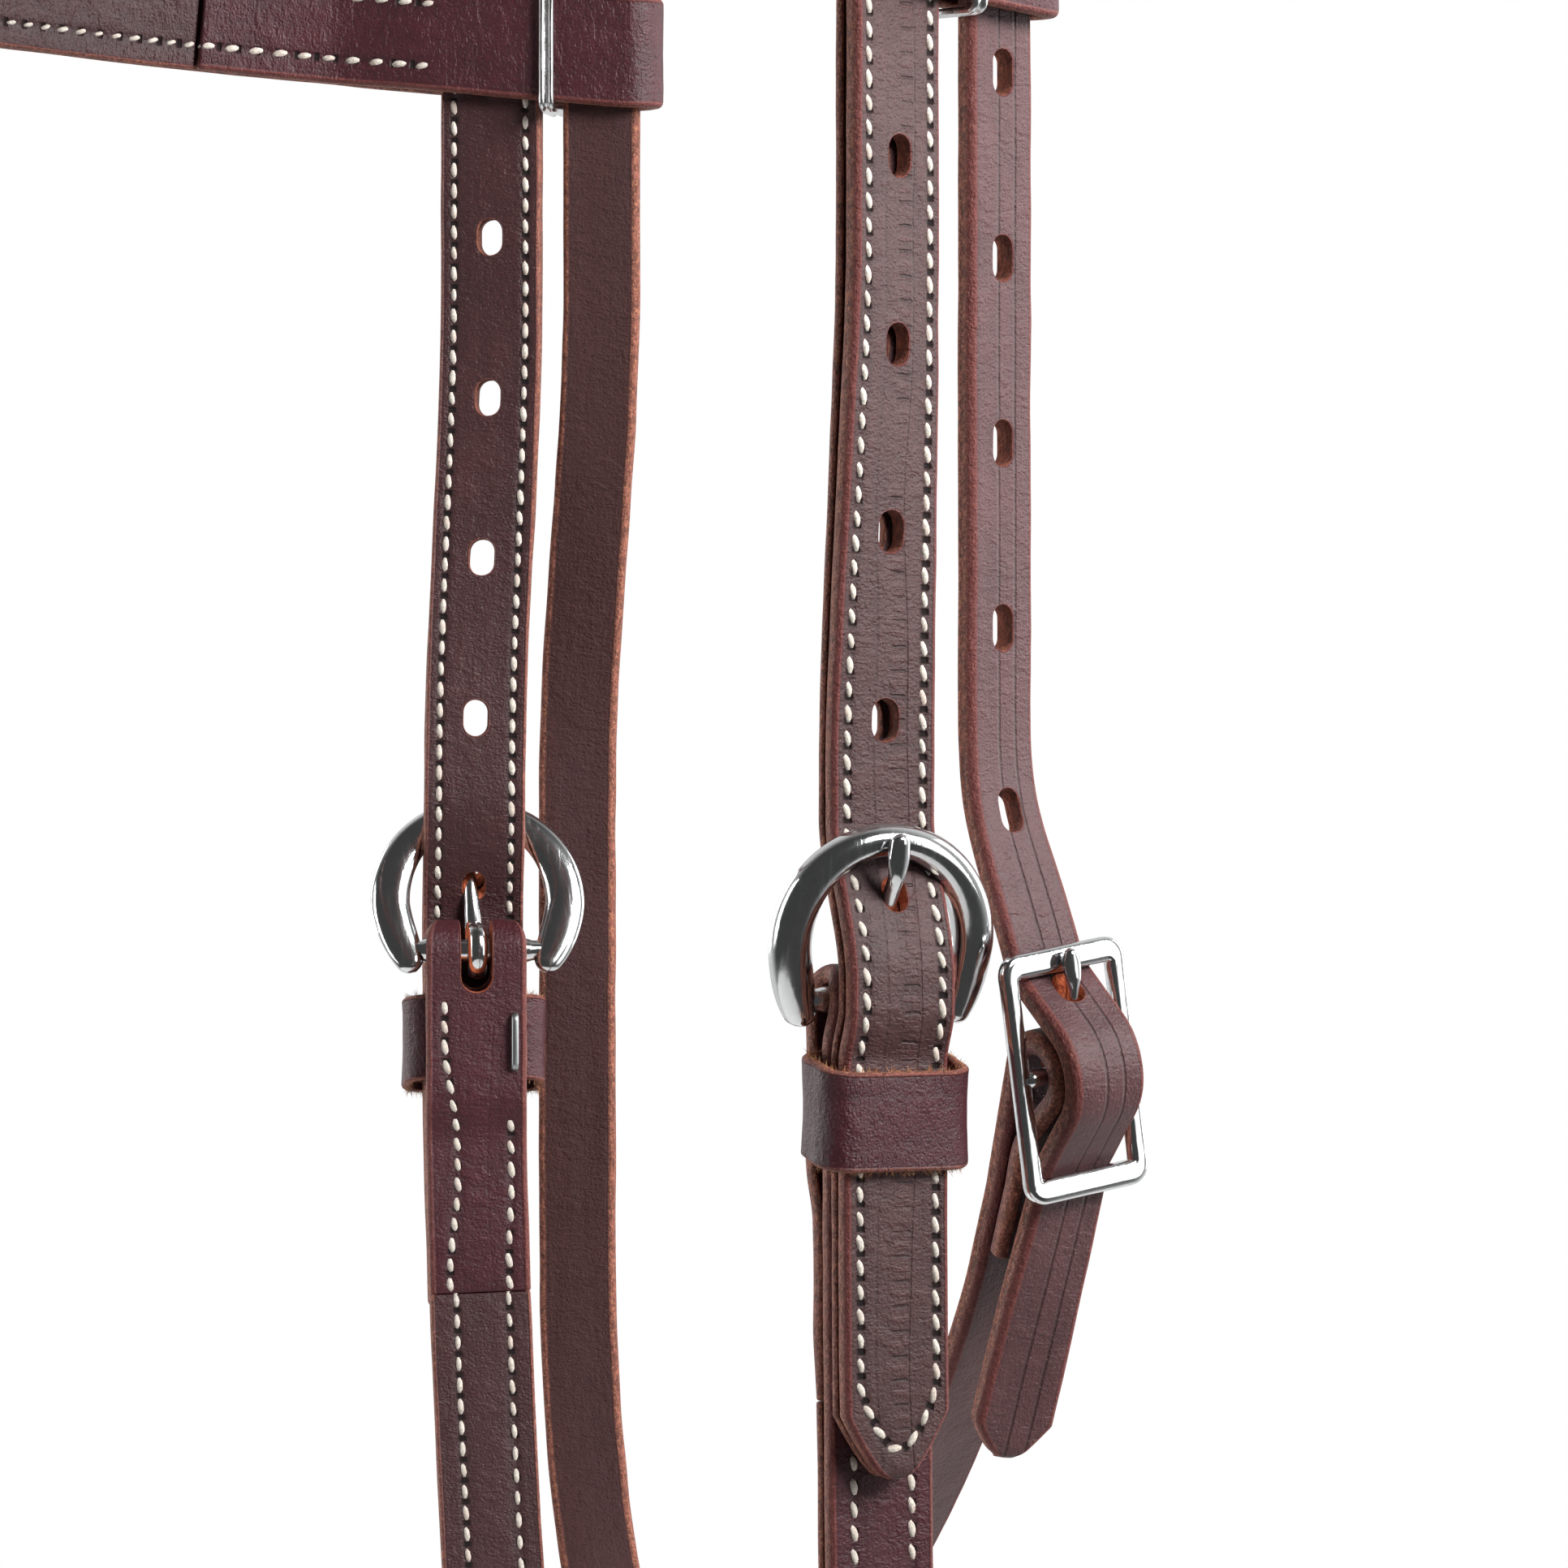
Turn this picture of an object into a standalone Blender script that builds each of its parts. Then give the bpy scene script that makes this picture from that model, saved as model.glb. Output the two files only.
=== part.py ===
"""Western browband headstall: doubled crown and cheek straps, horseshoe buckles, browband and throatlatch.

Metres, +Z up, nose towards -X, near side towards -Y. The origin is the middle of the crown's underside at the
poll, where the headstall rests on the horse or on its hook.
"""

import math

import bmesh
import bpy
import numpy as np
from mathutils import Matrix, Vector

# Crown strap: outer leather and lining, stitched together
CROWN_WIDTH = 0.0159
OUTER_THICKNESS = 0.0028
LINING_THICKNESS = 0.0015
LAYER_GAP = 0.0003
HALF_SPAN = 0.1
POLL_FLAT = 0.024
EDGE_ROUND = 0.0005
LOOP_YAW = math.radians(26.0)
NEAR_BUCKLE_YAW = math.radians(9.5)
FAR_BUCKLE_YAW = math.radians(12.0)
POLL_TWIST_START_SHARE = 0.15
YAW_HIGH = -0.160
YAW_LOW = -0.240
NEAR_LEAN = 0.0016
FAR_LEAN = 0.0029

# Billet ends and punched holes
TIP_LENGTH = 0.0095
TIP_BLUNT_SHARE = 0.2
BILLET_TIP_DROP = 0.0645
HOLE_WIDTH = 0.0048
HOLE_HEIGHT = 0.0060
HOLE_PITCH = 0.0254
USED_HOLE_RISE = 0.0125
CROWN_HOLES = 5

# Cheek strap and its buckle bar
BAR_HEIGHT = -0.2665
FAR_BAR_RISE = 0.0010
BAR_RADIUS = 0.0020
BAR_SET = 0.0016
BILLET_BEND_TOP = 0.0170
BILLET_BEND_LOW = 0.0050
CHEEK_WIDTH = 0.0159
CHEEK_THICKNESS = 0.0026
CHEEK_HUG = 0.0002
FRONT_SETTLE_SHARE = 0.85
TOP_TAIL_DROP = 0.054
BIT_EYE_DROP = 0.186
BIT_EYE_RADIUS = 0.0095
BIT_EYE_LIFT_SHARE = 0.42
BIT_NECK = 0.026
BIT_TAIL = 0.030
CHEEK_SWEEP = 0.012
CHEEK_DRIFT = 0.006
TONGUE_SLOT_WIDTH = 0.0052
TONGUE_SLOT_DROP = 0.0065

# Keeper loop and its staple
KEEPER_THICKNESS = 0.0016
KEEPER_SLANT = 0.0026
KEEPER_TOP_DROP = 0.0082
KEEPER_HEIGHT = 0.0134
KEEPER_SIDE_GAP = 0.0017
KEEPER_CORNER = 0.0025
STAPLE_WIRE = 0.00055
STAPLE_LENGTH = 0.0083
STAPLE_LEG = 0.0030
STAPLE_DROP = 0.0143
STAPLE_OFFSET = 0.0060
STAPLE_HOLE = 0.0009

# Horseshoe buckle
RING_HALF_WIDTH = 0.0170
RING_HEIGHT = 0.0251
RING_LEG_DROP = 0.0036
RING_CENTRE_RISE = 0.0080
RING_LEG_INSET = 0.0039
RING_SIDE_BAND = 0.0062
RING_TOP_BAND = 0.0046
RING_LEG_BAND = 0.0026
RING_BACK = 0.0006
RING_DOME = 0.0020
RING_TILT = math.radians(19.0)
RING_SLIP = 0.00025
TONGUE_RADIUS = 0.00115
TONGUE_LEAN = math.radians(4.0)
TONGUE_TIP_SHARE = 1.15
TONGUE_WAIST_SHARE = 0.85
RUNNING_GAP = 0.0003
TUNNEL_RADIUS = 0.0025
BORE_RISE = 0.0100
FRAME_SWING = math.radians(4.0)
TONGUE_SWING = math.radians(3.0)
WRAP_ANGLE = math.radians(250.0)

# Browband
BROW_WIDTH = 0.0175
BROW_OUTER = 0.0026
BROW_LINING = 0.0014
BROW_HEIGHT = -0.1234
BROW_RISE = 0.0160
BROW_RISE_POWER = 1.5
BROW_TURN = math.radians(116.0)
BROW_TURN_POWER = 0.9
BROW_STRAIGHT = 0.0090
BROW_CLOSE = 0.0180
BROW_TAIL = 0.0470
LOOP_CLEARANCE = 0.0005
LOOP_END_GAP = 0.0010

# Loop clip
CLIP_WIDTH = 0.0024
CLIP_THICKNESS = 0.0011
CLIP_CORNER = 0.0016
CLIP_SET = 0.0018

# Throatlatch strap
THROAT_WIDTH = 0.0122
THROAT_THICKNESS = 0.0034
NEAR_THROAT_STEP = 0.0210
FAR_THROAT_STEP = 0.0178
THROAT_LEG_LOW = -0.2270
FAR_LEG_LOW = -0.3090
FAR_LEG_OUTSET = 0.0140
FAR_LEG_YAW = math.radians(20.0)
NEAR_HANG = 0.052
FAR_HANG = 0.150
THROAT_HOLES = 5
THROAT_HOLE_RISE = 0.0096
THROAT_HOLE_WIDTH = 0.0050
THROAT_HOLE_HEIGHT = 0.0064

# Throatlatch buckle
THROAT_BAR_BACK = 0.0268
THROAT_BAR_INSET = 0.0006
THROAT_BAR_DROP = 0.0100
THROAT_YAW = math.radians(18.0)
THROAT_ROLL = math.radians(8.5)
THROAT_WIRE = 0.0012
THROAT_FRAME_HEIGHT = 0.0310
THROAT_FRAME_WIDTH = 0.0182
THROAT_FRAME_CORNER = 0.0028
THROAT_PLAY = 0.0007
THROAT_TONGUE = 0.0010
THROAT_TUNNEL = 0.0021
THROAT_SLOT_WIDTH = 0.0040
THROAT_SLOT_REACH = 0.0058
THROAT_TAIL_DROP = 0.0255
THROAT_SCREW_DROP = 0.0200
FREE_END = 0.0420
FREE_ANGLE = math.radians(19.0)
FREE_SWAY = math.radians(10.0)
FREE_TWIST = math.radians(12.0)
TOP_LEAN = math.radians(12.0)
MAIN_SWAY = math.radians(4.0)
SLACK_SHARE = 0.3

# Two-part strap screws
SCREW_HEAD_RADIUS = 0.0047
SCREW_HEAD_HEIGHT = 0.0013
SCREW_EDGE = 0.0005
POST_RADIUS = 0.0023
POST_BORE = 0.0016
SHANK_RADIUS = 0.0013
SCREW_SLOT_WIDTH = 0.0010
SCREW_SLOT_DEPTH = 0.0006
BIT_SCREW_FIRST = 0.0065
BIT_SCREW_PITCH = 0.0150
THROAT_HEAD_RADIUS = 0.0035

# Cutters and mesh fineness
OVERRUN = 0.004
CHORD_ERROR = 0.00010
PATH_STEP = 0.0012
LONGEST_RUN = 0.030
TWIST_STEP = math.radians(2.0)
SINGLE_TWIST_STEP = math.radians(6.0)
HOLE_SIDES = 12
ROUND_SIDES = 16
WELD = 0.00001

CROWN_THICKNESS = OUTER_THICKNESS + LAYER_GAP + LINING_THICKNESS
FOLD_INNER = BAR_RADIUS + RUNNING_GAP
FOLD_MID = FOLD_INNER + CHEEK_THICKNESS / 2
FOLD_OUTER = FOLD_INNER + CHEEK_THICKNESS
KEEPER_LOW_DROP = KEEPER_TOP_DROP + KEEPER_HEIGHT
BILLET_CIRCLE = THROAT_WIRE + THROAT_PLAY + THROAT_THICKNESS / 2
TAIL_CIRCLE = BILLET_CIRCLE + THROAT_THICKNESS + LAYER_GAP
FOLD_CIRCLE = THROAT_WIRE + RUNNING_GAP + THROAT_THICKNESS / 2
FOLD_SLACK = SLACK_SHARE * (THROAT_FRAME_HEIGHT / 2 - TAIL_CIRCLE - FOLD_CIRCLE)
THROAT_BAR = Vector((THROAT_BAR_BACK, THROAT_BAR_INSET - HALF_SPAN, BAR_HEIGHT - THROAT_BAR_DROP))
UP = Vector((0, 0, 1))
BACK = Vector((1, 0, 0))


def clear_scene():
    for thing in list(bpy.data.objects):
        bpy.data.objects.remove(thing, do_unlink=True)


def collection(name):
    group = bpy.data.collections.new(name)
    bpy.context.scene.collection.children.link(group)
    return group


def material(name, colour, roughness, metallic):
    made = bpy.data.materials.new(name)
    made.use_nodes = True
    shader = made.node_tree.nodes["Principled BSDF"]
    shader.inputs["Base Color"].default_value = (*colour, 1)
    shader.inputs["Roughness"].default_value = roughness
    shader.inputs["Metallic"].default_value = metallic
    return made


def leather(name):
    return material(name, (0.11, 0.035, 0.03), 0.5, 0)


def nickel(name):
    return material(name, (0.78, 0.77, 0.74), 0.12, 1)


def ease(value, start, end):
    """0 at start and 1 at end, level at both."""
    share = min(max((value - start) / (end - start), 0), 1)
    return share * share * (3 - 2 * share)


def unit(vector):
    return vector.normalized()


def thinned(path, twist=TWIST_STEP):
    """Keeps the stations that the path's bends and twists need. A station is (centre, across)."""
    kept = [0]
    last = len(path) - 1
    while kept[-1] < last:
        start = kept[-1]
        reach = start + 1
        while reach < last:
            trial = reach + 1
            chord = path[trial][0] - path[start][0]
            along = unit(chord)
            stray = 0
            for middle in range(start + 1, trial):
                off = path[middle][0] - path[start][0]
                stray = max(stray, (off - along * off.dot(along)).length)
            turn = path[trial][1].angle(path[start][1])
            if stray > CHORD_ERROR or chord.length > LONGEST_RUN or turn > twist:
                break
            reach = trial
        kept.append(reach)
    return [path[index] for index in kept]


def cleaned(path):
    """Drops stations that repeat a place."""
    kept = [path[0]]
    for station in path[1:]:
        if (station[0] - kept[-1][0]).length > PATH_STEP / 8:
            kept.append(station)
    return kept


def framed(path, closed=False):
    """Adds each station's direction along the strap and its face normal: (centre, across, along, normal)."""
    count = len(path)
    made = []
    for index, (centre, across) in enumerate(path):
        before = (index - 1) % count if closed else max(index - 1, 0)
        after = (index + 1) % count if closed else min(index + 1, count - 1)
        along = unit(path[after][0] - path[before][0])
        square = unit(across - along * across.dot(along))
        made.append((centre, square, along, along.cross(square)))
    return made


def run_lengths(path):
    """Distance of each station from the first."""
    total = 0
    lengths = [0]
    for before, after in zip(path, path[1:]):
        total += (after[0] - before[0]).length
        lengths.append(total)
    return lengths


def station_at(path, distance):
    """The station at a distance along a path, between its neighbours."""
    lengths = run_lengths(path)
    for index in range(1, len(path)):
        if lengths[index] >= distance:
            share = (distance - lengths[index - 1]) / (lengths[index] - lengths[index - 1])
            centre = path[index - 1][0].lerp(path[index][0], share)
            return centre, unit(path[index - 1][1].lerp(path[index][1], share))
    return path[-1]


def frame_at(path, distance):
    """The strap's frame at a distance along a path."""
    centre, across = station_at(path, distance)
    along = unit(station_at(path, distance + PATH_STEP)[0] - station_at(path, distance - PATH_STEP)[0])
    square = unit(across - along * across.dot(along))
    return centre, square, along, along.cross(square)


def distance_at_height(path, height, start=0):
    """Distance along a path where it first passes a height, from a given station on."""
    lengths = run_lengths(path)
    for index in range(start + 1, len(path)):
        low, high = path[index - 1][0].z, path[index][0].z
        if min(low, high) <= height <= max(low, high) and low != high:
            share = (height - low) / (high - low)
            return lengths[index - 1] + share * (lengths[index] - lengths[index - 1])
    return lengths[-1]


def with_tip(path, first, last):
    """Adds stations through the pointed tips at the ends that have one."""
    lengths = run_lengths(path)
    total = lengths[-1]
    shares = (0, 0.12, 0.35, 0.68, 1)
    wanted = [share * TIP_LENGTH for share in shares] if first else []
    wanted += [total - share * TIP_LENGTH for share in shares] if last else []
    low = TIP_LENGTH if first else 0
    high = total - TIP_LENGTH if last else total
    inner = [d for d in lengths if low < d < high and min(abs(d - low), abs(d - high)) > PATH_STEP / 2]
    if not first:
        wanted.append(0)
    if not last:
        wanted.append(total)
    return [station_at(path, distance) for distance in sorted(wanted + inner)]


def tip_share(distance):
    """Share of the full width at a distance from the tip."""
    share = min(max(distance / TIP_LENGTH, 0), 1)
    return TIP_BLUNT_SHARE + (1 - TIP_BLUNT_SHARE) * math.sin(share * math.pi / 2) ** 0.85


def add_object(name, mesh, look, home):
    made = bpy.data.objects.new(name, mesh)
    mesh.materials.clear()
    if look:
        mesh.materials.append(look)
    home.objects.link(made)
    return made


def grid_columns(shape, columns, rows):
    """The grid's vertices by row and column, read from where the grid put them."""
    ordered = sorted(shape.verts, key=lambda vert: (round(vert.co.y * rows), round(vert.co.x * columns)))
    width = columns + 1
    return [ordered[row * width : (row + 1) * width] for row in range(rows + 1)]


def ribbon(name, path, width, thickness, look, home, lift=0, tips=(False, False), closed=False):
    """A flat strap: a grid laid along the path, lifted off it, then thickened and rounded at its edges."""
    stations = framed(path, closed)
    lengths = run_lengths(path)
    rows = len(stations) - (0 if closed else 1)
    shape = bmesh.new()
    bmesh.ops.create_grid(shape, x_segments=1, y_segments=rows, size=1)
    shape.verts.ensure_lookup_table()
    for row, pair in enumerate(grid_columns(shape, 1, rows)):
        centre, across, along, normal = stations[row % len(stations)]
        share = 1
        if tips[0]:
            share = min(share, tip_share(lengths[row]))
        if tips[1]:
            share = min(share, tip_share(lengths[-1] - lengths[row]))
        for vert, side in zip(pair, (-1, 1)):
            vert.co = centre + normal * lift + across * (side * share * width / 2)
    if closed:
        bmesh.ops.remove_doubles(shape, verts=shape.verts, dist=WELD)
    bmesh.ops.recalc_face_normals(shape, faces=shape.faces)
    mesh = bpy.data.meshes.new(name)
    shape.to_mesh(mesh)
    shape.free()
    strap = add_object(name, mesh, look, home)
    solid = strap.modifiers.new("Thickness", "SOLIDIFY")
    solid.thickness = thickness
    solid.offset = 0
    solid.use_even_offset = True
    if thickness > LINING_THICKNESS:
        edge = strap.modifiers.new("Edges", "BEVEL")
        edge.width = EDGE_ROUND
        edge.segments = 1
        edge.limit_method = "ANGLE"
        edge.angle_limit = math.radians(60.0)
        edge.use_clamp_overlap = True
    return strap


def cutter(name, mesh, matrix, home):
    tool = add_object(name, mesh, None, home)
    tool.matrix_world = matrix
    tool.hide_render = True
    tool.display_type = "WIRE"
    return tool


def cut(target, tool, operation="DIFFERENCE"):
    change = target.modifiers.new(tool.name, "BOOLEAN")
    change.operation = operation
    change.object = tool
    change.solver = "EXACT"


def rod_mesh(name, radius, length, sides=HOLE_SIDES, top_radius=None):
    """A cylinder along Z, centred."""
    shape = bmesh.new()
    bmesh.ops.create_cone(
        shape,
        cap_ends=True,
        segments=sides,
        radius1=radius,
        radius2=radius if top_radius is None else top_radius,
        depth=length,
    )
    mesh = bpy.data.meshes.new(name)
    shape.to_mesh(mesh)
    shape.free()
    return mesh


def box_mesh(name, x, y, z, edge=0):
    shape = bmesh.new()
    bmesh.ops.create_cube(shape, size=1)
    for vert in shape.verts:
        vert.co = Vector((vert.co.x * x, vert.co.y * y, vert.co.z * z))
    if edge:
        bmesh.ops.bevel(shape, geom=shape.edges[:], offset=edge, segments=2, affect="EDGES", profile=0.5)
    mesh = bpy.data.meshes.new(name)
    shape.to_mesh(mesh)
    shape.free()
    return mesh


def axes(x, y, z, place):
    """A matrix whose columns are three directions and a place."""
    made = Matrix.Identity(4)
    for column, vector in enumerate((x, y, z, place)):
        for row in range(3):
            made[row][column] = vector[row]
    return made


def oval_hole(name, station, width, height, depth, home):
    """A cutter for one punched oval hole, its long way along the strap."""
    centre, across, along, normal = station
    mesh = rod_mesh(name, 1, 1)
    for vert in mesh.vertices:
        vert.co = Vector((vert.co.x * width / 2, vert.co.y * height / 2, vert.co.z * depth))
    return cutter(name, mesh, axes(across, along, across.cross(along), centre), home)


def wire(name, points, radius, look, home, shares=None, closed=False, fineness=2):
    """A round wire along points, made a mesh with its caps welded."""
    curve = bpy.data.curves.new(name + "_path", "CURVE")
    curve.dimensions = "3D"
    curve.bevel_depth = radius
    curve.bevel_resolution = fineness
    curve.use_fill_caps = True
    curve.twist_mode = "MINIMUM"
    spline = curve.splines.new("POLY")
    spline.points.add(len(points) - 1)
    for index, point in enumerate(points):
        spline.points[index].co = (*point, 1)
        spline.points[index].radius = shares[index] if shares else 1
    spline.use_cyclic_u = closed
    guide = bpy.data.objects.new(name + "_path", curve)
    home.objects.link(guide)
    graph = bpy.context.evaluated_depsgraph_get()
    mesh = bpy.data.meshes.new_from_object(guide.evaluated_get(graph))
    shape = bmesh.new()
    shape.from_mesh(mesh)
    bmesh.ops.remove_doubles(shape, verts=shape.verts, dist=WELD)
    bmesh.ops.recalc_face_normals(shape, faces=shape.faces)
    shape.to_mesh(mesh)
    shape.free()
    mesh.name = name
    made = add_object(name, mesh, look, home)
    made.matrix_world = guide.matrix_world
    bpy.data.objects.remove(guide, do_unlink=True)
    return made


def turned(name, profile, look, home, matrix):
    """A solid of revolution about Z. The profile runs from the axis down its outer side back to the axis."""
    mesh = bpy.data.meshes.new(name)
    edges = [(index, index + 1) for index in range(len(profile) - 1)]
    mesh.from_pydata([(radius, 0, height) for radius, height in profile], edges, [])
    made = add_object(name, mesh, look, home)
    made.matrix_world = matrix
    spin = made.modifiers.new("Turn", "SCREW")
    spin.steps = ROUND_SIDES
    spin.render_steps = ROUND_SIDES
    spin.use_merge_vertices = True
    spin.merge_threshold = WELD
    spin.use_smooth_shade = False
    return made


def buckle_yaw(side):
    return NEAR_BUCKLE_YAW if side < 0 else FAR_BUCKLE_YAW


def bar_height(side):
    return BAR_HEIGHT if side < 0 else BAR_HEIGHT + FAR_BAR_RISE


def crown_lean(side):
    return NEAR_LEAN if side < 0 else FAR_LEAN


def side_frame(side, yaw):
    """Outward normal and rearward across direction of a strap face on one side."""
    normal = Vector((math.sin(yaw), side * math.cos(yaw), 0))
    across = Vector((math.cos(yaw), -side * math.sin(yaw), 0))
    return normal, across


# Places that the straps share


def sweep_share(drop):
    """How far the cheek has swung inwards, as a share of its swing at the bit."""
    share = max(drop - KEEPER_LOW_DROP, 0) / (BIT_EYE_DROP - KEEPER_LOW_DROP)
    return share**1.5


def cheek_point(side, across, outward, drop):
    """A place on the cheek assembly: across the strap, outward from the bar, and down from the bar."""
    normal, rearward = side_frame(side, buckle_yaw(side))
    base = Vector((-crown_lean(side), side * HALF_SPAN, bar_height(side))) - normal * BAR_SET
    swung = Vector((CHEEK_DRIFT, -side * CHEEK_SWEEP, 0)) * sweep_share(drop)
    return base + rearward * across + normal * outward - UP * drop + swung


def billet_outward(drop):
    """How far the middle of the crown strap lies outward from the bar's axis."""
    over_bar = FOLD_OUTER + LAYER_GAP + CROWN_THICKNESS / 2
    over_cheek = cheek_front(KEEPER_TOP_DROP) + CHEEK_THICKNESS / 2 + LAYER_GAP + CROWN_THICKNESS / 2
    if drop < 0:
        return BAR_SET + (over_bar - BAR_SET) * ease(drop, -BILLET_BEND_TOP, -BILLET_BEND_LOW)
    return over_bar + (over_cheek - over_bar) * ease(drop, BAR_RADIUS / 2, KEEPER_TOP_DROP)


def cheek_front(drop):
    """How far the middle of the cheek strap's front lies outward from the bar's axis."""
    hugging = CHEEK_THICKNESS / 2 + CHEEK_HUG
    return FOLD_MID + (hugging - FOLD_MID) * ease(drop, 0, KEEPER_TOP_DROP * FRONT_SETTLE_SHARE)


def keeper_back():
    """How far the middle of the keeper's back lies outward from the bar's axis."""
    return cheek_front(KEEPER_TOP_DROP) - CHEEK_THICKNESS / 2 - LAYER_GAP - KEEPER_THICKNESS / 2


def cheek_tail(drop):
    """How far the middle of the top fold's tail lies outward from the bar's axis."""
    behind_keeper = keeper_back() - KEEPER_THICKNESS / 2 - LAYER_GAP - CHEEK_THICKNESS / 2
    behind_front = cheek_front(KEEPER_TOP_DROP) - CHEEK_THICKNESS - LAYER_GAP
    if drop < KEEPER_TOP_DROP:
        return -FOLD_MID + (behind_keeper + FOLD_MID) * ease(drop, 0, KEEPER_TOP_DROP)
    start = KEEPER_LOW_DROP + LAYER_GAP
    return behind_keeper + (behind_front - behind_keeper) * ease(drop, start, start + KEEPER_TOP_DROP)


# Crown strap


def arch_station(side, angle):
    """The crown's middle over the poll. The angle is 0 at the flat's edge and a right angle at the leg."""
    radius = HALF_SPAN - POLL_FLAT / 2
    outward = Vector((0, side * math.sin(angle), math.cos(angle)))
    yaw = LOOP_YAW * ease(angle, POLL_TWIST_START_SHARE * math.pi / 2, math.pi / 2)
    across = BACK * math.cos(yaw) - outward * math.sin(yaw)
    normal = outward * math.cos(yaw) + BACK * math.sin(yaw)
    centre = Vector((0, side * POLL_FLAT / 2, CROWN_THICKNESS / 2 - radius)) + outward * radius
    return centre, across, normal


def leg_station(side, height):
    """The crown's middle on the straight leg and down through the buckle and keeper."""
    yaw = LOOP_YAW + (buckle_yaw(side) - LOOP_YAW) * ease(height, YAW_HIGH, YAW_LOW)
    normal, across = side_frame(side, yaw)
    drop = bar_height(side) - height
    lean = -crown_lean(side) * ease(height, YAW_HIGH, YAW_LOW)
    centre = Vector((lean, side * HALF_SPAN, height))
    centre += normal * (billet_outward(drop) - BAR_SET)
    centre += Vector((CHEEK_DRIFT, -side * CHEEK_SWEEP, 0)) * sweep_share(drop)
    return centre, across


def crown_half(side):
    """Stations from one billet tip up to the edge of the flat at the poll."""
    leg_top = CROWN_THICKNESS / 2 - (HALF_SPAN - POLL_FLAT / 2)
    low = bar_height(side) - BILLET_TIP_DROP
    count = math.ceil((leg_top - low) / PATH_STEP)
    path = [leg_station(side, low + (leg_top - low) * index / count) for index in range(count)]
    turns = math.ceil((HALF_SPAN - POLL_FLAT / 2) * math.pi / 2 / PATH_STEP)
    for index in range(turns + 1):
        centre, across, normal = arch_station(side, math.pi / 2 * (1 - index / turns))
        path.append((centre, across))
    return path


def crown_path():
    return crown_half(-1) + list(reversed(crown_half(1)))


def crown_holes(path, home):
    """Cutters for the spare holes of both billets, and one slanted bore at each tongue."""
    tools = []
    middle = next(index for index, station in enumerate(path) if station[0].y > 0)
    for side, name in ((-1, "near"), (1, "far")):
        for index in range(CROWN_HOLES):
            height = BAR_HEIGHT + USED_HOLE_RISE + HOLE_PITCH * (index + 1)
            distance = distance_at_height(path, height, 0 if side < 0 else middle)
            station = frame_at(path, distance)
            depth = CROWN_THICKNESS + OVERRUN
            tools.append(oval_hole(f"{name}_crown_hole_{index + 1}", station, HOLE_WIDTH, HOLE_HEIGHT, depth, home))
        tools.append(tongue_bore(side, f"{name}_crown_bore", home))
    return tools


def tongue_line():
    """How far the tongue's straight middle lies in front of the bar's axis, square to the ring."""
    return BAR_RADIUS + RUNNING_GAP + TONGUE_RADIUS


def tongue_bore(side, name, home):
    """A slanted round cutter that gives the tongue room to lie and to lift in the used hole."""
    swing = FRAME_SWING + TONGUE_SWING
    lean = RING_TILT + swing / 2
    normal, across = side_frame(side, buckle_yaw(side))
    upright = UP * math.cos(lean) + normal * math.sin(lean)
    front = normal * math.cos(lean) - UP * math.sin(lean)
    along = unit(upright - across * math.tan(TONGUE_LEAN))
    centre = cheek_point(side, 0, 0, 0) + along * BORE_RISE + front * (tongue_line() * math.cos(swing / 2))
    length = USED_HOLE_RISE + TUNNEL_RADIUS
    mesh = rod_mesh(name, TUNNEL_RADIUS, length)
    square = unit(across - along * across.dot(along))
    return cutter(name, mesh, axes(square, along.cross(square), along, centre), home)


def build_crown(parts, cutters):
    path = with_tip(thinned(cleaned(crown_path())), True, True)
    outer_lift = (OUTER_THICKNESS - CROWN_THICKNESS) / 2
    lining_lift = (CROWN_THICKNESS - LINING_THICKNESS) / 2
    tips = (True, True)
    look = leather("crown leather")
    outer = ribbon("crown_outer", path, CROWN_WIDTH, OUTER_THICKNESS, look, parts, outer_lift, tips)
    look = leather("crown lining leather")
    lining = ribbon("crown_lining", path, CROWN_WIDTH, LINING_THICKNESS, look, parts, lining_lift, tips)
    for tool in crown_holes(path, cutters):
        cut(outer, tool)
        cut(lining, tool)


# Cheek straps, keepers and staples


def cheek_path(side):
    """Stations from the top fold's tail, round the bar, down the front, round the bit eye and up its tail."""
    made = []
    rearward = side_frame(side, buckle_yaw(side))[1]

    def add(outward, drop):
        made.append((cheek_point(side, 0, outward, drop), rearward))

    drops = np.arange(TOP_TAIL_DROP, 0, -PATH_STEP)
    for drop in drops:
        add(cheek_tail(drop), drop)
    turns = HOLE_SIDES
    for index in range(turns + 1):
        angle = math.pi * index / turns
        add(-FOLD_MID * math.cos(angle), -FOLD_MID * math.sin(angle))
    neck = BIT_EYE_DROP - BIT_NECK
    for drop in np.arange(PATH_STEP, neck, PATH_STEP):
        add(cheek_front(drop), drop)
    middle = bit_middle()
    shoulder = cheek_front(neck) - middle
    eye = BIT_EYE_RADIUS + CHEEK_THICKNESS / 2
    for outward, drop in bit_eye_side(shoulder, eye):
        add(middle + outward, drop)
    start = math.asin(BIT_EYE_LIFT_SHARE)
    span = math.pi + 2 * start
    for index in range(1, 2 * turns):
        angle = start - span * index / (2 * turns)
        add(middle + eye * math.cos(angle), BIT_EYE_DROP - eye * math.sin(angle))
    for outward, drop in reversed(bit_eye_side(shoulder, eye)):
        add(middle - outward, drop)
    add(middle - shoulder, neck - BIT_TAIL)
    return made


def bit_middle():
    """How far the middle between front and bit tail lies outward from the bar's axis."""
    return cheek_front(KEEPER_TOP_DROP) - (CHEEK_THICKNESS + LAYER_GAP) / 2


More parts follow.
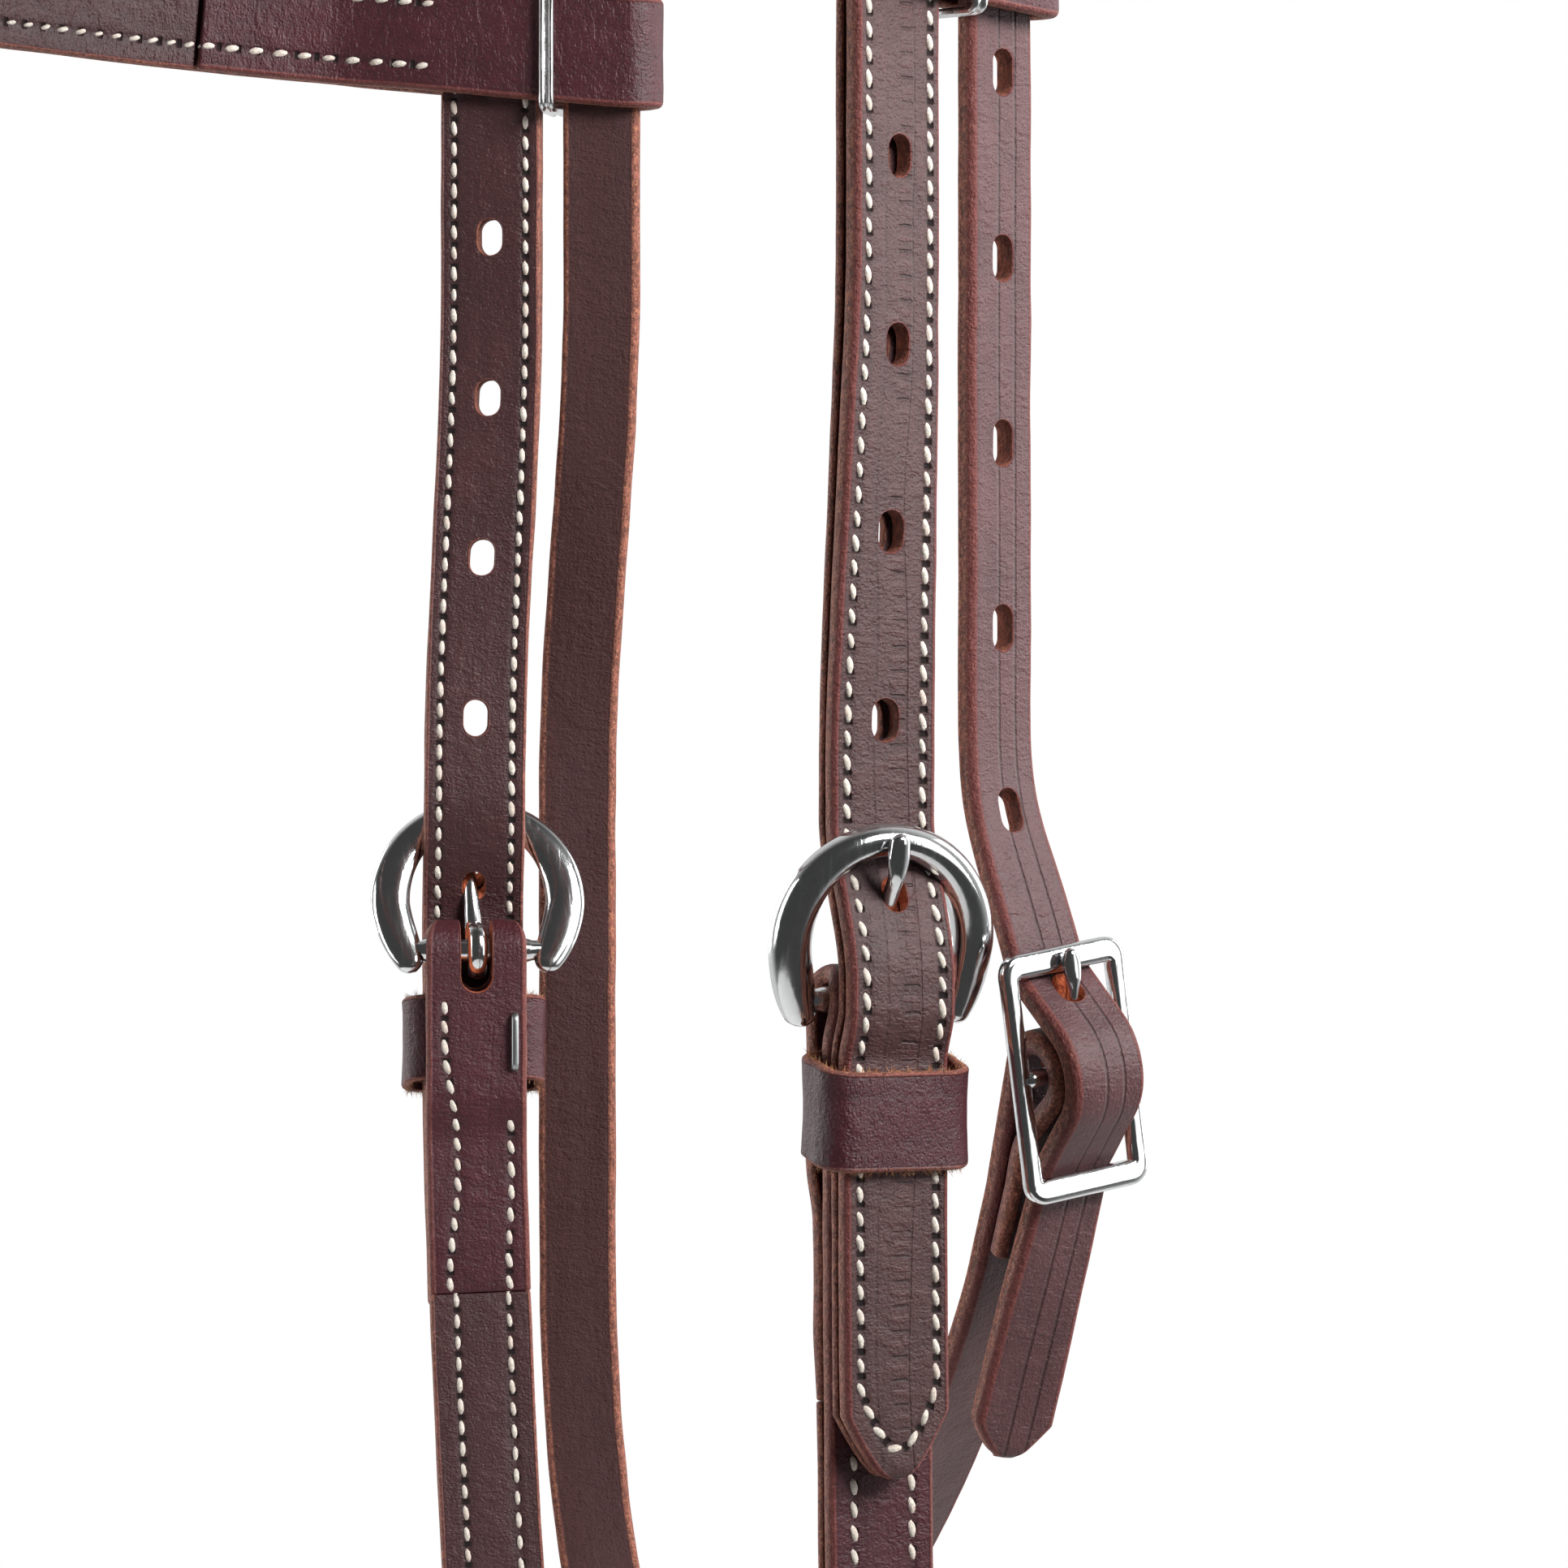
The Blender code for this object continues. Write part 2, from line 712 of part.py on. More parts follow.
def bit_eye_side(shoulder, eye):
    """The smooth run from the closed neck to the round of the bit eye, as (outward, drop)."""
    lift = BIT_EYE_LIFT_SHARE
    level = math.sqrt(1 - lift * lift)
    handle = BIT_NECK / 3
    first = Vector((shoulder, -BIT_NECK))
    second = first + Vector((0, handle))
    last = Vector((eye * level, -eye * lift))
    third = last - Vector((lift, level)) * handle
    run = []
    for index in range(HOLE_SIDES):
        t = index / HOLE_SIDES
        s = 1 - t
        point = first * s**3 + second * 3 * s * s * t + third * 3 * s * t * t + last * t**3
        run.append((point.x, BIT_EYE_DROP + point.y))
    return run


def build_cheek(side, name, parts, cutters):
    path = thinned(cleaned(cheek_path(side)))
    strap = ribbon(
        f"{name}_cheek_strap", path, CHEEK_WIDTH, CHEEK_THICKNESS, leather(f"{name} cheek leather"), parts
    )
    rearward = side_frame(side, buckle_yaw(side))[1]
    lining_out = cheek_front(KEEPER_TOP_DROP) - CHEEK_THICKNESS / 2 - LAYER_GAP - LINING_THICKNESS / 2
    top = TOP_TAIL_DROP + LAYER_GAP
    low = BIT_EYE_DROP - BIT_NECK - BIT_TAIL - LAYER_GAP
    drops = np.arange(top, low, PATH_STEP)
    lining_path = [(cheek_point(side, 0, lining_out, drop), rearward) for drop in (*drops, low)]
    ribbon(
        f"{name}_cheek_lining",
        thinned(cleaned(lining_path)),
        CHEEK_WIDTH,
        LINING_THICKNESS,
        leather(f"{name} cheek lining leather"),
        parts,
    )
    normal = side_frame(side, buckle_yaw(side))[0]
    mesh = box_mesh(
        f"{name}_tongue_slot",
        TONGUE_SLOT_WIDTH,
        4 * FOLD_OUTER,
        2 * TONGUE_SLOT_DROP,
        TONGUE_SLOT_WIDTH / 3,
    )
    slot = cutter(mesh.name, mesh, axes(rearward, normal, UP, cheek_point(side, 0, 0, 0)), cutters)
    cut(strap, slot)
    build_keeper(side, name, parts)
    build_staple(side, name, strap, parts, cutters)
    build_bit_screws(side, name, strap, parts, cutters)


def rounded_loop(width, depth, corner):
    """A rectangle with round corners about the origin, starting at the middle of its lower side."""
    points = [(0, -depth / 2)]
    corners = ((1, -1, -90), (1, 1, 0), (-1, 1, 90), (-1, -1, 180))
    for across, up, start in corners:
        for step in range(5):
            angle = math.radians(start + 22.5 * step)
            x = across * (width / 2 - corner) + corner * math.cos(angle)
            y = up * (depth / 2 - corner) + corner * math.sin(angle)
            points.append((x, y))
    return points


def build_keeper(side, name, parts):
    """One leather band round the cheek's front and the billet, its two ends meeting at the back. Its front sits
    lower than its back."""
    back = keeper_back()
    billet_front = billet_outward(KEEPER_TOP_DROP) + CROWN_THICKNESS / 2
    front = billet_front + LAYER_GAP + KEEPER_THICKNESS / 2
    width = CHEEK_WIDTH + 2 * KEEPER_SIDE_GAP + KEEPER_THICKNESS
    drop = KEEPER_TOP_DROP + KEEPER_HEIGHT / 2
    loop = rounded_loop(width, front - back, KEEPER_CORNER)
    loop[0] = (LAYER_GAP / 2, loop[0][1])
    loop.append((-LAYER_GAP / 2, loop[0][1]))
    middle = (front + back) / 2
    lower = KEEPER_SLANT / (front - back)
    path = [(cheek_point(side, x, middle + y, drop + y * lower), UP) for x, y in loop]
    ribbon(f"{name}_keeper", path, KEEPER_HEIGHT, KEEPER_THICKNESS, leather(f"{name} keeper leather"), parts)


def build_staple(side, name, strap, parts, cutters):
    """A wire staple on the back of the tail. Its legs stand in holes through the tail."""
    tail_back = cheek_tail(STAPLE_DROP) - CHEEK_THICKNESS / 2
    crown = tail_back - LAYER_GAP - STAPLE_WIRE
    across = side * STAPLE_OFFSET
    tip = crown + STAPLE_LEG
    half = STAPLE_LENGTH / 2
    corners = ((tip, -half), (crown, -half), (crown, half), (tip, half))
    points = [cheek_point(side, across, outward, STAPLE_DROP + down) for outward, down in corners]
    wire(f"{name}_keeper_staple", points, STAPLE_WIRE, nickel(f"{name} staple steel"), parts, fineness=1)
    normal, rearward = side_frame(side, buckle_yaw(side))
    for index, down in enumerate((-half, half)):
        mesh = rod_mesh(f"{name}_staple_hole_{index + 1}", STAPLE_HOLE, CHEEK_THICKNESS * 2)
        place = cheek_point(side, across, cheek_tail(STAPLE_DROP) - CHEEK_THICKNESS / 4, STAPLE_DROP + down)
        cut(strap, cutter(mesh.name, mesh, axes(rearward, normal.cross(rearward), normal, place), cutters))


# Buckles


def ring_path():
    """The horseshoe's middle line with the width of its band, from leg to leg: (across, up, band)."""
    half = RING_HALF_WIDTH - RING_SIDE_BAND / 2
    rise = RING_HEIGHT - RING_TOP_BAND / 2 - RING_CENTRE_RISE
    fall = RING_CENTRE_RISE + RING_LEG_DROP
    steps = 6
    leg = []
    for index in range(steps):
        share = 1 - index / steps
        band = RING_SIDE_BAND + (RING_LEG_BAND - RING_SIDE_BAND) * share * share
        leg.append((half - RING_LEG_INSET * share * share, RING_CENTRE_RISE - fall * share, band))
    arch = []
    turns = 16
    for index in range(turns + 1):
        angle = math.pi * index / turns
        band = RING_SIDE_BAND + (RING_TOP_BAND - RING_SIDE_BAND) * math.sin(angle) ** 2
        arch.append((half * math.cos(angle), RING_CENTRE_RISE + rise * math.sin(angle), band))
    mirrored = [(-across, up, band) for across, up, band in reversed(leg)]
    return leg + arch + mirrored


def build_ring(name, look, home):
    """A half-round band, flat at the back, laid along the horseshoe. Local: X across, -Y outward, Z up."""
    path = ring_path()
    half_shares = [(0.13, 1), (0.36, 0.72), (0.5, 0.25), (0.5, 0)]
    section_shares = [(-width, dome) for width, dome in reversed(half_shares)] + half_shares
    shape = bmesh.new()
    rows = len(path) - 1
    columns = len(section_shares)
    bmesh.ops.create_grid(shape, x_segments=columns, y_segments=rows, size=1)
    for row, line in enumerate(grid_columns(shape, columns, rows)):
        before = path[max(row - 1, 0)]
        after = path[min(row + 1, rows)]
        along = unit(Vector((after[0] - before[0], 0, after[1] - before[1])))
        inward = along.cross(Vector((0, -1, 0)))
        across, up, band = path[row]
        for column, vert in enumerate(line):
            width_share, dome_share = section_shares[column % columns]
            outward = -RING_BACK + (RING_BACK + RING_DOME) * dome_share
            vert.co = Vector((across, -outward, up)) + inward * (width_share * band)
    bmesh.ops.remove_doubles(shape, verts=shape.verts, dist=WELD)
    bmesh.ops.holes_fill(shape, edges=[edge for edge in shape.edges if edge.is_boundary])
    bmesh.ops.recalc_face_normals(shape, faces=shape.faces)
    mesh = bpy.data.meshes.new(name)
    shape.to_mesh(mesh)
    shape.free()
    return add_object(name, mesh, look, home)


def tongue_points(line, reach, steps=9):
    """A tongue's middle in its own plane: round the bar from below, then straight up: (outward, up)."""
    points = []
    for index in range(steps):
        angle = WRAP_ANGLE * (1 - index / (steps - 1))
        points.append((line * math.cos(angle), -line * math.sin(angle)))
    reach_shares = (0.25, 0.5, 0.7, 0.86, 1)
    for share in reach_shares:
        points.append((line, reach * share))
    return points


def tongue_wire(name, line, reach, radius, lean, look, home):
    points = [Vector((math.tan(lean) * max(up, 0), -outward, up)) for outward, up in tongue_points(line, reach)]
    shares = [0.8] + [1] * (len(points) - 6)
    shares += [TONGUE_WAIST_SHARE, TONGUE_WAIST_SHARE, 1, TONGUE_TIP_SHARE, 0.75]
    return wire(name, points, radius, look, home, shares)


def build_cheek_buckle(side, name, parts, cutters):
    """The frame and tongue stand on an empty on the bar's axis, leaning outward with the ring."""
    axis = bpy.data.objects.new(f"{name}_buckle_axis", None)
    parts.objects.link(axis)
    normal, rearward = side_frame(side, buckle_yaw(side))
    right = rearward if side < 0 else -rearward
    lean = UP * math.cos(RING_TILT) + normal * math.sin(RING_TILT)
    inward = UP * math.sin(RING_TILT) - normal * math.cos(RING_TILT)
    axis.matrix_world = axes(right, inward, lean, cheek_point(side, RING_SLIP, 0, 0))
    frame = build_ring(f"{name}_buckle_frame", nickel(f"{name} buckle nickel"), parts)
    half = RING_HALF_WIDTH - RING_SIDE_BAND / 2 - RING_LEG_INSET
    mesh = rod_mesh(f"{name}_heel_bar", BAR_RADIUS, 2 * half + RING_LEG_BAND / 2)
    bar = cutter(mesh.name, mesh, axes(UP, Vector((0, 1, 0)), -BACK, Vector((0, 0, 0))), cutters)
    tongue = tongue_wire(
        f"{name}_buckle_tongue",
        tongue_line(),
        RING_HEIGHT,
        TONGUE_RADIUS,
        TONGUE_LEAN * side,
        nickel(f"{name} tongue nickel"),
        parts,
    )
    for piece in (frame, bar, tongue):
        piece.parent = axis
    cut(frame, bar, "UNION")


def screw_pair(post_name, screw_name, matrix, grip, radius, looks, parts, cutters):
    """A two-part strap screw along Z: the post's head below, the screw's head above, grip between the heads."""
    half = grip / 2
    edge = SCREW_EDGE
    height = SCREW_HEAD_HEIGHT
    rim = half - RUNNING_GAP
    post = [
        (0, RUNNING_GAP - half),
        (POST_BORE, RUNNING_GAP - half),
        (POST_BORE, rim),
        (POST_RADIUS, rim),
        (POST_RADIUS, -half),
        (radius, -half),
        (radius, edge - half - height),
        (radius - edge, -half - height),
        (0, -half - height),
    ]
    turned(post_name, post, looks[0], parts, matrix)
    screw = [
        (0, half + height),
        (radius - edge, half + height),
        (radius, half + height - edge),
        (radius, half),
        (SHANK_RADIUS, half),
        (SHANK_RADIUS, 2 * RUNNING_GAP - half),
        (0, 2 * RUNNING_GAP - half),
    ]
    made = turned(screw_name, screw, looks[1], parts, matrix)
    mesh = box_mesh(f"{screw_name}_slot", SCREW_SLOT_WIDTH, 2 * radius + OVERRUN, 2 * SCREW_SLOT_DEPTH)
    place = matrix @ Matrix.Translation(Vector((0, 0, half + height)))
    cut(made, cutter(mesh.name, mesh, place, cutters))


def post_hole(target, name, matrix, grip, home):
    mesh = rod_mesh(name, POST_RADIUS + RUNNING_GAP, grip + OVERRUN, ROUND_SIDES)
    cut(target, cutter(name, mesh, matrix, home))


def build_bit_screws(side, name, strap, parts, cutters):
    """Two strap screws through the front and the tail above each bit eye."""
    normal, rearward = side_frame(side, buckle_yaw(side))
    for index, label in enumerate(("lower", "upper")):
        drop = BIT_EYE_DROP - BIT_NECK - BIT_SCREW_FIRST - BIT_SCREW_PITCH * index
        place = cheek_point(side, 0, bit_middle(), drop)
        below = cheek_point(side, 0, bit_middle(), drop + PATH_STEP)
        along = unit(place - below)
        inward = unit(rearward.cross(along)) * side
        matrix = axes(rearward, inward.cross(rearward), inward, place)
        grip = 2 * CHEEK_THICKNESS + 3 * LAYER_GAP
        looks = (nickel(f"{name} {label} post nickel"), nickel(f"{name} {label} screw nickel"))
        post_name = f"{name}_bit_post_{label}"
        screw_name = f"{name}_bit_screw_{label}"
        screw_pair(post_name, screw_name, matrix, grip, SCREW_HEAD_RADIUS, looks, parts, cutters)
        post_hole(strap, f"{name}_bit_hole_{label}", matrix, grip, cutters)


# Browband


def brow_angle(distance):
    """How far the browband heads outward from straight ahead, at a distance forward of the crown's middle."""
    share = max(distance - BROW_STRAIGHT, 0) / (brow_half_length() - BROW_STRAIGHT)
    return LOOP_YAW - BROW_TURN * share**BROW_TURN_POWER


def brow_half_length():
    """The half length that brings the bend back to the middle plane at the front."""
    shares = (np.arange(200) + 0.5) / 200
    inward = -np.sin(LOOP_YAW - BROW_TURN * shares**BROW_TURN_POWER).mean()
    widened = HALF_SPAN + BROW_STRAIGHT * math.sin(LOOP_YAW)
    return BROW_STRAIGHT + widened / inward


def brow_line():
    """Places on the browband's plan line in front of the loops: (distance, forward, outward) from the crown."""
    total = brow_half_length()
    count = math.ceil(total / PATH_STEP)
    step = total / count
    line = [(0, 0, 0)]
    forward = 0
    outward = 0
    for index in range(count):
        angle = brow_angle((index + 0.5) * step)
        forward += math.cos(angle) * step
        outward += math.sin(angle) * step
        line.append(((index + 1) * step, forward, outward))
    return line


def brow_opening(distance):
    """How far each leaf's middle stands from the plan line, beyond where the leaves touch."""
    return 1 - ease(distance, BROW_STRAIGHT, BROW_STRAIGHT + BROW_CLOSE)


def brow_place(side, distance, forward, outward, offset):
    """A place beside the plan line, at the browband's height there."""
    angle = brow_angle(distance)
    normal = Vector((math.sin(angle), side * math.cos(angle), 0))
    centre = Vector((-forward, side * (HALF_SPAN + outward), 0)) + normal * offset
    back = loop_back(side)
    share = (distance + back) / (brow_half_length() + back)
    centre.z = BROW_HEIGHT + BROW_RISE * (1 - (1 - share) ** BROW_RISE_POWER)
    return centre


def throat_step(side):
    return NEAR_THROAT_STEP if side < 0 else FAR_THROAT_STEP


def loop_back(side):
    """Distance from the crown's middle back to where the browband starts its turn round the throat strap."""
    return throat_step(side) + THROAT_WIDTH / 2 + LOOP_END_GAP - loop_offset() + BROW_OUTER / 2


def loop_offset():
    """How far a leaf's middle stands from the straps' middle inside the loop."""
    return CROWN_THICKNESS / 2 + LOOP_CLEARANCE + BROW_OUTER / 2


def brow_end(side, tail):
    """Stations of one looped end, from the tail on the inside round the throat strap and forward outside."""
    touch = (BROW_OUTER + LAYER_GAP) / 2
    line = brow_line()
    back = loop_back(side)
    path = []

    def offset(distance):
        return touch + (loop_offset() - touch) * brow_opening(distance)

    for distance, forward, outward in reversed(line):
        if distance <= tail:
            path.append((brow_place(side, distance, forward, outward, -offset(distance)), UP))
    rear = (-back, -back * math.cos(LOOP_YAW), -back * math.sin(LOOP_YAW))
    path.append((brow_place(side, *rear, -loop_offset()), UP))
    normal, rearward = side_frame(side, LOOP_YAW)
    hub = brow_place(side, *rear, 0)
    for index in range(1, HOLE_SIDES):
        angle = math.pi * index / HOLE_SIDES
        reach = rearward * math.sin(angle) - normal * math.cos(angle)
        path.append((hub + reach * loop_offset(), UP))
    path.append((brow_place(side, *rear, loop_offset()), UP))
    for distance, forward, outward in line:
        path.append((brow_place(side, distance, forward, outward, offset(distance)), UP))
    return path


def build_browband(parts):
    near = brow_end(-1, BROW_TAIL)
    far = brow_end(1, BROW_TAIL)
    path = thinned(cleaned(near + list(reversed(far))))
    ribbon("browband_outer", path, BROW_WIDTH, BROW_OUTER, leather("browband leather"), parts)
    touch = -(BROW_LINING + LAYER_GAP) / 2
    halves = []
    for side in (-1, 1):
        halves.append(
            [
                (brow_place(side, distance, forward, outward, touch), UP)
                for distance, forward, outward in brow_line()
                if distance > BROW_TAIL + LAYER_GAP
            ]
        )
    path = thinned(cleaned(halves[0] + list(reversed(halves[1]))))
    look = leather("browband lining leather")
    ribbon("browband_lining", path, BROW_WIDTH, BROW_LINING, look, parts)


def build_clip(side, name, parts):
    """A metal band round both leaves, in the gap between the crown and the throat strap."""
    gap = throat_step(side) - CROWN_WIDTH / 2 - THROAT_WIDTH / 2
    back = CROWN_WIDTH / 2 + gap / 2
    rear = (-back, -back * math.cos(LOOP_YAW), -back * math.sin(LOOP_YAW))
    hub = brow_place(side, *rear, 0)
    normal, rearward = side_frame(side, LOOP_YAW)
    depth = 2 * (loop_offset() + BROW_OUTER / 2 + LAYER_GAP) + CLIP_THICKNESS
    height = BROW_WIDTH + CLIP_SET + CLIP_THICKNESS
    path = [(hub + normal * x + UP * y, rearward) for x, y in rounded_loop(depth, height, CLIP_CORNER)]
    look = nickel(f"{name} clip nickel")
    ribbon(f"{name}_browband_clip", path, CLIP_WIDTH, CLIP_THICKNESS, look, parts, closed=True)


# Throatlatch


def throat_axes():
    """Across, outward and up directions of the throat buckle, which hangs rolled and turned."""
    normal, rearward = side_frame(-1, THROAT_YAW)
    up = UP * math.cos(THROAT_ROLL) - rearward * math.sin(THROAT_ROLL)
    across = rearward * math.cos(THROAT_ROLL) + UP * math.sin(THROAT_ROLL)
    return across, normal, up


def throat_point(across, outward, up):
    x, n, z = throat_axes()
    return THROAT_BAR + x * across + n * outward + z * up


def throat_leg(side):
    """The throat strap's middle where it hangs beside the crown in the browband's loop."""
    normal, rearward = side_frame(side, LOOP_YAW)
    lift = (THROAT_THICKNESS - CROWN_THICKNESS) / 2
    return Vector((0, side * HALF_SPAN, 0)) + rearward * throat_step(side) + normal * lift


def belt_path():
    """The billet's weave in the buckle's plane, (outward, up): behind the top bar, over the centre bar and
    its fold, and behind the bottom bar. Straight runs join arcs about the three bars."""
    reach = THROAT_FRAME_HEIGHT / 2
    outer = BILLET_CIRCLE
    middle = loop_radius() + THROAT_THICKNESS + LAYER_GAP
    lean = loop_lean(outer + middle)
    steps = 7
    path = []
    for index in range(steps):
        angle = TOP_LEAN + (lean - TOP_LEAN) * index / (steps - 1)
        path.append((-outer * math.cos(angle), reach - outer * math.sin(angle)))
    for index in range(2 * steps):
        angle = lean * (1 - 2 * index / (2 * steps - 1))
        path.append((middle * math.cos(angle) - FOLD_SLACK, middle * math.sin(angle)))
    for index in range(steps):
        angle = lean + (FREE_ANGLE - lean) * index / (steps - 1)
        path.append((-outer * math.cos(angle), outer * math.sin(angle) - reach))
    return path


def tail_circle():
    """How far behind the bottom bar's axis the tail's middle passes."""
    return TAIL_CIRCLE + FOLD_SLACK


def loop_radius():
    """The lower strap's slack loop round the centre bar, whose middle lies inward of the bar."""
    return FOLD_CIRCLE + FOLD_SLACK


def loop_lean(offset):
    """Angle from straight down to a line that touches the slack loop and passes the bottom bar at a distance."""
    reach = THROAT_FRAME_HEIGHT / 2
    return math.asin(offset / math.hypot(FOLD_SLACK, reach)) - math.atan(FOLD_SLACK / reach)


def main_angle():
    """How steeply the strap below the buckle heads inward, so that tail and billet lie in front of it."""
    behind = tail_circle() + THROAT_THICKNESS + LAYER_GAP
    return loop_lean(behind - loop_radius())


def main_outward(up):
    """How far outward the straight strap below the fold lies at a height."""
    inward = main_angle()
    return -FOLD_SLACK - loop_radius() / math.cos(inward) + up * math.tan(inward)


def sway(up, angle):
    """How far a piece below the bottom bar has drifted forward."""
    return -math.tan(angle) * max(-up - THROAT_FRAME_HEIGHT / 2, 0)


def fold_run():
    """The lower strap from below, up behind the centre bar, over it, and down to the tail's end:
    (across, outward, up)."""
    reach = THROAT_FRAME_HEIGHT / 2
    middle = loop_radius()
    inward = main_angle()
    path = []
    count = 12
    top = middle * math.sin(inward)
    for index in range(count):
        up = top - (THROAT_TAIL_DROP + PATH_STEP + top) * (1 - index / (count - 1))
        path.append((sway(up, MAIN_SWAY), main_outward(up), up))
    outer = tail_circle()
    lean = loop_lean(outer + middle)
    turns = 12
    first = math.pi - inward
    last = -lean
    for index in range(1, turns + 1):
        angle = first + (last - first) * index / turns
        path.append((0, middle * math.cos(angle) - FOLD_SLACK, middle * math.sin(angle)))
    for index in range(5):
        angle = lean + (inward - lean) * index / 4
        up = outer * math.sin(angle) - reach
        path.append((sway(up, MAIN_SWAY), -outer * math.cos(angle), up))
    start = path[-1]
    fall = THROAT_TAIL_DROP + start[2]
    up = -THROAT_TAIL_DROP
    path.append((sway(up, MAIN_SWAY), start[1] - fall * math.tan(inward), up))
    return path


def hang_run(first, first_along, last):
    """The free loop under the jaw, from the near strap's end to the far leg."""
    second = first + first_along * NEAR_HANG
    third = last - UP * FAR_HANG
    count = 90
    run = []
    for index in range(1, count):
        t = index / count
        s = 1 - t
        run.append(first * s**3 + second * 3 * s * s * t + third * 3 * s * t * t + last * t**3)
    return run


def throat_path():
    """Stations from the near free tip, through the buckle, up, over the poll, down and back to the fold."""
    across, normal, up = throat_axes()
    belt = [throat_point(0, n, z) for n, z in belt_path()]
    bottom = throat_point(0, *belt_path()[-1])
    down = unit(-up * math.cos(FREE_ANGLE) - normal * math.sin(FREE_ANGLE) - across * math.sin(FREE_SWAY))
    path = []
    for index in range(12):
        share = 1 - index / 12
        turn = FREE_TWIST * ease(share, 0, 0.7)
        path.append((bottom + down * FREE_END * share, across * math.cos(turn) + normal * math.sin(turn)))
    path += [(place, across) for place in reversed(belt)]
    near = throat_leg(-1)
    leg_across = side_frame(-1, LOOP_YAW)[1]
    start = belt[0]
    end = Vector((near.x, near.y, THROAT_LEG_LOW))
    rise = (end.z - start.z) / 2
    leaving = up * math.cos(TOP_LEAN) - normal * math.sin(TOP_LEAN)
    for index in range(1, 13):
        t = index / 12
        s = 1 - t
        place = start * s**3 + (start + leaving * rise) * 3 * s * s * t
        place += (end - UP * rise) * 3 * s * t * t + end * t**3
        turn = ease(t, 0, 1)
        path.append((place, unit(across.lerp(leg_across, turn))))
    path += throat_over()
    path += far_leg_run()
    run = fold_run()
    lower = [throat_point(*place) for place in run]
    along = unit(lower[0] - lower[1])
    far_end = path[-1][0]
    hang = hang_run(lower[0], along, far_end)
    far_across = path[-1][1]
    total = len(hang)
    for index, place in enumerate(reversed(hang)):
        turn = ease(index, 0, total)
        path.append((place, unit(far_across.lerp(across, turn))))
    path += [(place, across) for place in lower]
    return path


def throat_over():
    """Up the near leg, over the poll behind the crown, and down to the far loop."""
    path = []
    lift = (THROAT_THICKNESS - CROWN_THICKNESS) / 2
    poll_step = (NEAR_THROAT_STEP + FAR_THROAT_STEP) / 2
    leg_top = CROWN_THICKNESS / 2 - (HALF_SPAN - POLL_FLAT / 2)
    legs = 40
    near = throat_leg(-1)
    across = side_frame(-1, LOOP_YAW)[1]
    for index in range(legs):
        height = THROAT_LEG_LOW + (leg_top - THROAT_LEG_LOW) * index / legs
        path.append((Vector((near.x, near.y, height)), across))
    turns = math.ceil((HALF_SPAN - POLL_FLAT / 2) * math.pi / 2 / PATH_STEP)
    for side in (-1, 1):
        arch = []
        for index in range(turns + 1):
            angle = math.pi / 2 * (1 - index / turns)
            centre, across, normal = arch_station(side, angle)
            step = poll_step + (throat_step(side) - poll_step) * ease(angle, 0, math.pi / 2)
            arch.append((centre + across * step + normal * lift, across))
        path += arch if side < 0 else list(reversed(arch))
    return path


def far_leg_run():
    """Down the far leg, which turns and passes outside the cheek buckle below the browband."""
    path = []
    top = CROWN_THICKNESS / 2 - (HALF_SPAN - POLL_FLAT / 2)
    far = throat_leg(1)
    steps = 90
    for index in range(1, steps + 1):
        height = top + (FAR_LEG_LOW - top) * index / steps
        turn = ease(height, YAW_HIGH, YAW_LOW)
        yaw = LOOP_YAW + (FAR_LEG_YAW - LOOP_YAW) * turn
        normal, across = side_frame(1, yaw)
        path.append((Vector((far.x, far.y + FAR_LEG_OUTSET * turn, height)), across))
    return path


def build_throat(parts, cutters):
    path = throat_path()
    path = with_tip(thinned(cleaned(path), SINGLE_TWIST_STEP), True, False)
    look = leather("throat strap leather")
    strap = ribbon("throat_strap", path, THROAT_WIDTH, THROAT_THICKNESS, look, parts, 0, (True, False))
    across, normal, up = throat_axes()
    used = THROAT_BAR.z + THROAT_HOLE_RISE
    for index in range(THROAT_HOLES):
        height = used + HOLE_PITCH * (index + 1)
        station = hole_station(path, height)
        name = f"throat_hole_{index + 1}"
        depth = THROAT_THICKNESS + OVERRUN
        cut(strap, oval_hole(name, station, THROAT_HOLE_WIDTH, THROAT_HOLE_HEIGHT, depth, cutters))
    reach = THROAT_FRAME_HEIGHT / 2
    line = THROAT_WIRE + RUNNING_GAP + THROAT_TONGUE
    swing = TONGUE_SWING
    along = up * math.cos(swing / 2) + normal * math.sin(swing / 2)
    front = normal * math.cos(swing / 2) - up * math.sin(swing / 2)
    mesh = rod_mesh("throat_bore", THROAT_TUNNEL, reach - THROAT_WIRE)
    place = throat_point(0, 0, 0) + along * (reach / 2 + THROAT_WIRE) + front * line
    cut(strap, cutter(mesh.name, mesh, axes(across, along.cross(across), along, place), cutters))
    mesh = box_mesh(
        "throat_slot",
        THROAT_SLOT_WIDTH,
        2 * loop_radius() + THROAT_THICKNESS + LAYER_GAP,
        2 * THROAT_SLOT_REACH,
        THROAT_SLOT_WIDTH / 4,
    )
    cut(strap, cutter(mesh.name, mesh, axes(across, normal, up, throat_point(0, -FOLD_SLACK, 0)), cutters))
    build_throat_screw(strap, parts, cutters)


def hole_station(path, height):
    """The near leg's frame at a height above the buckle."""
    start = next(index for index, station in enumerate(path) if station[0].z > THROAT_BAR.z + THROAT_FRAME_HEIGHT / 2)
    return frame_at(path, distance_at_height(path, height, start))


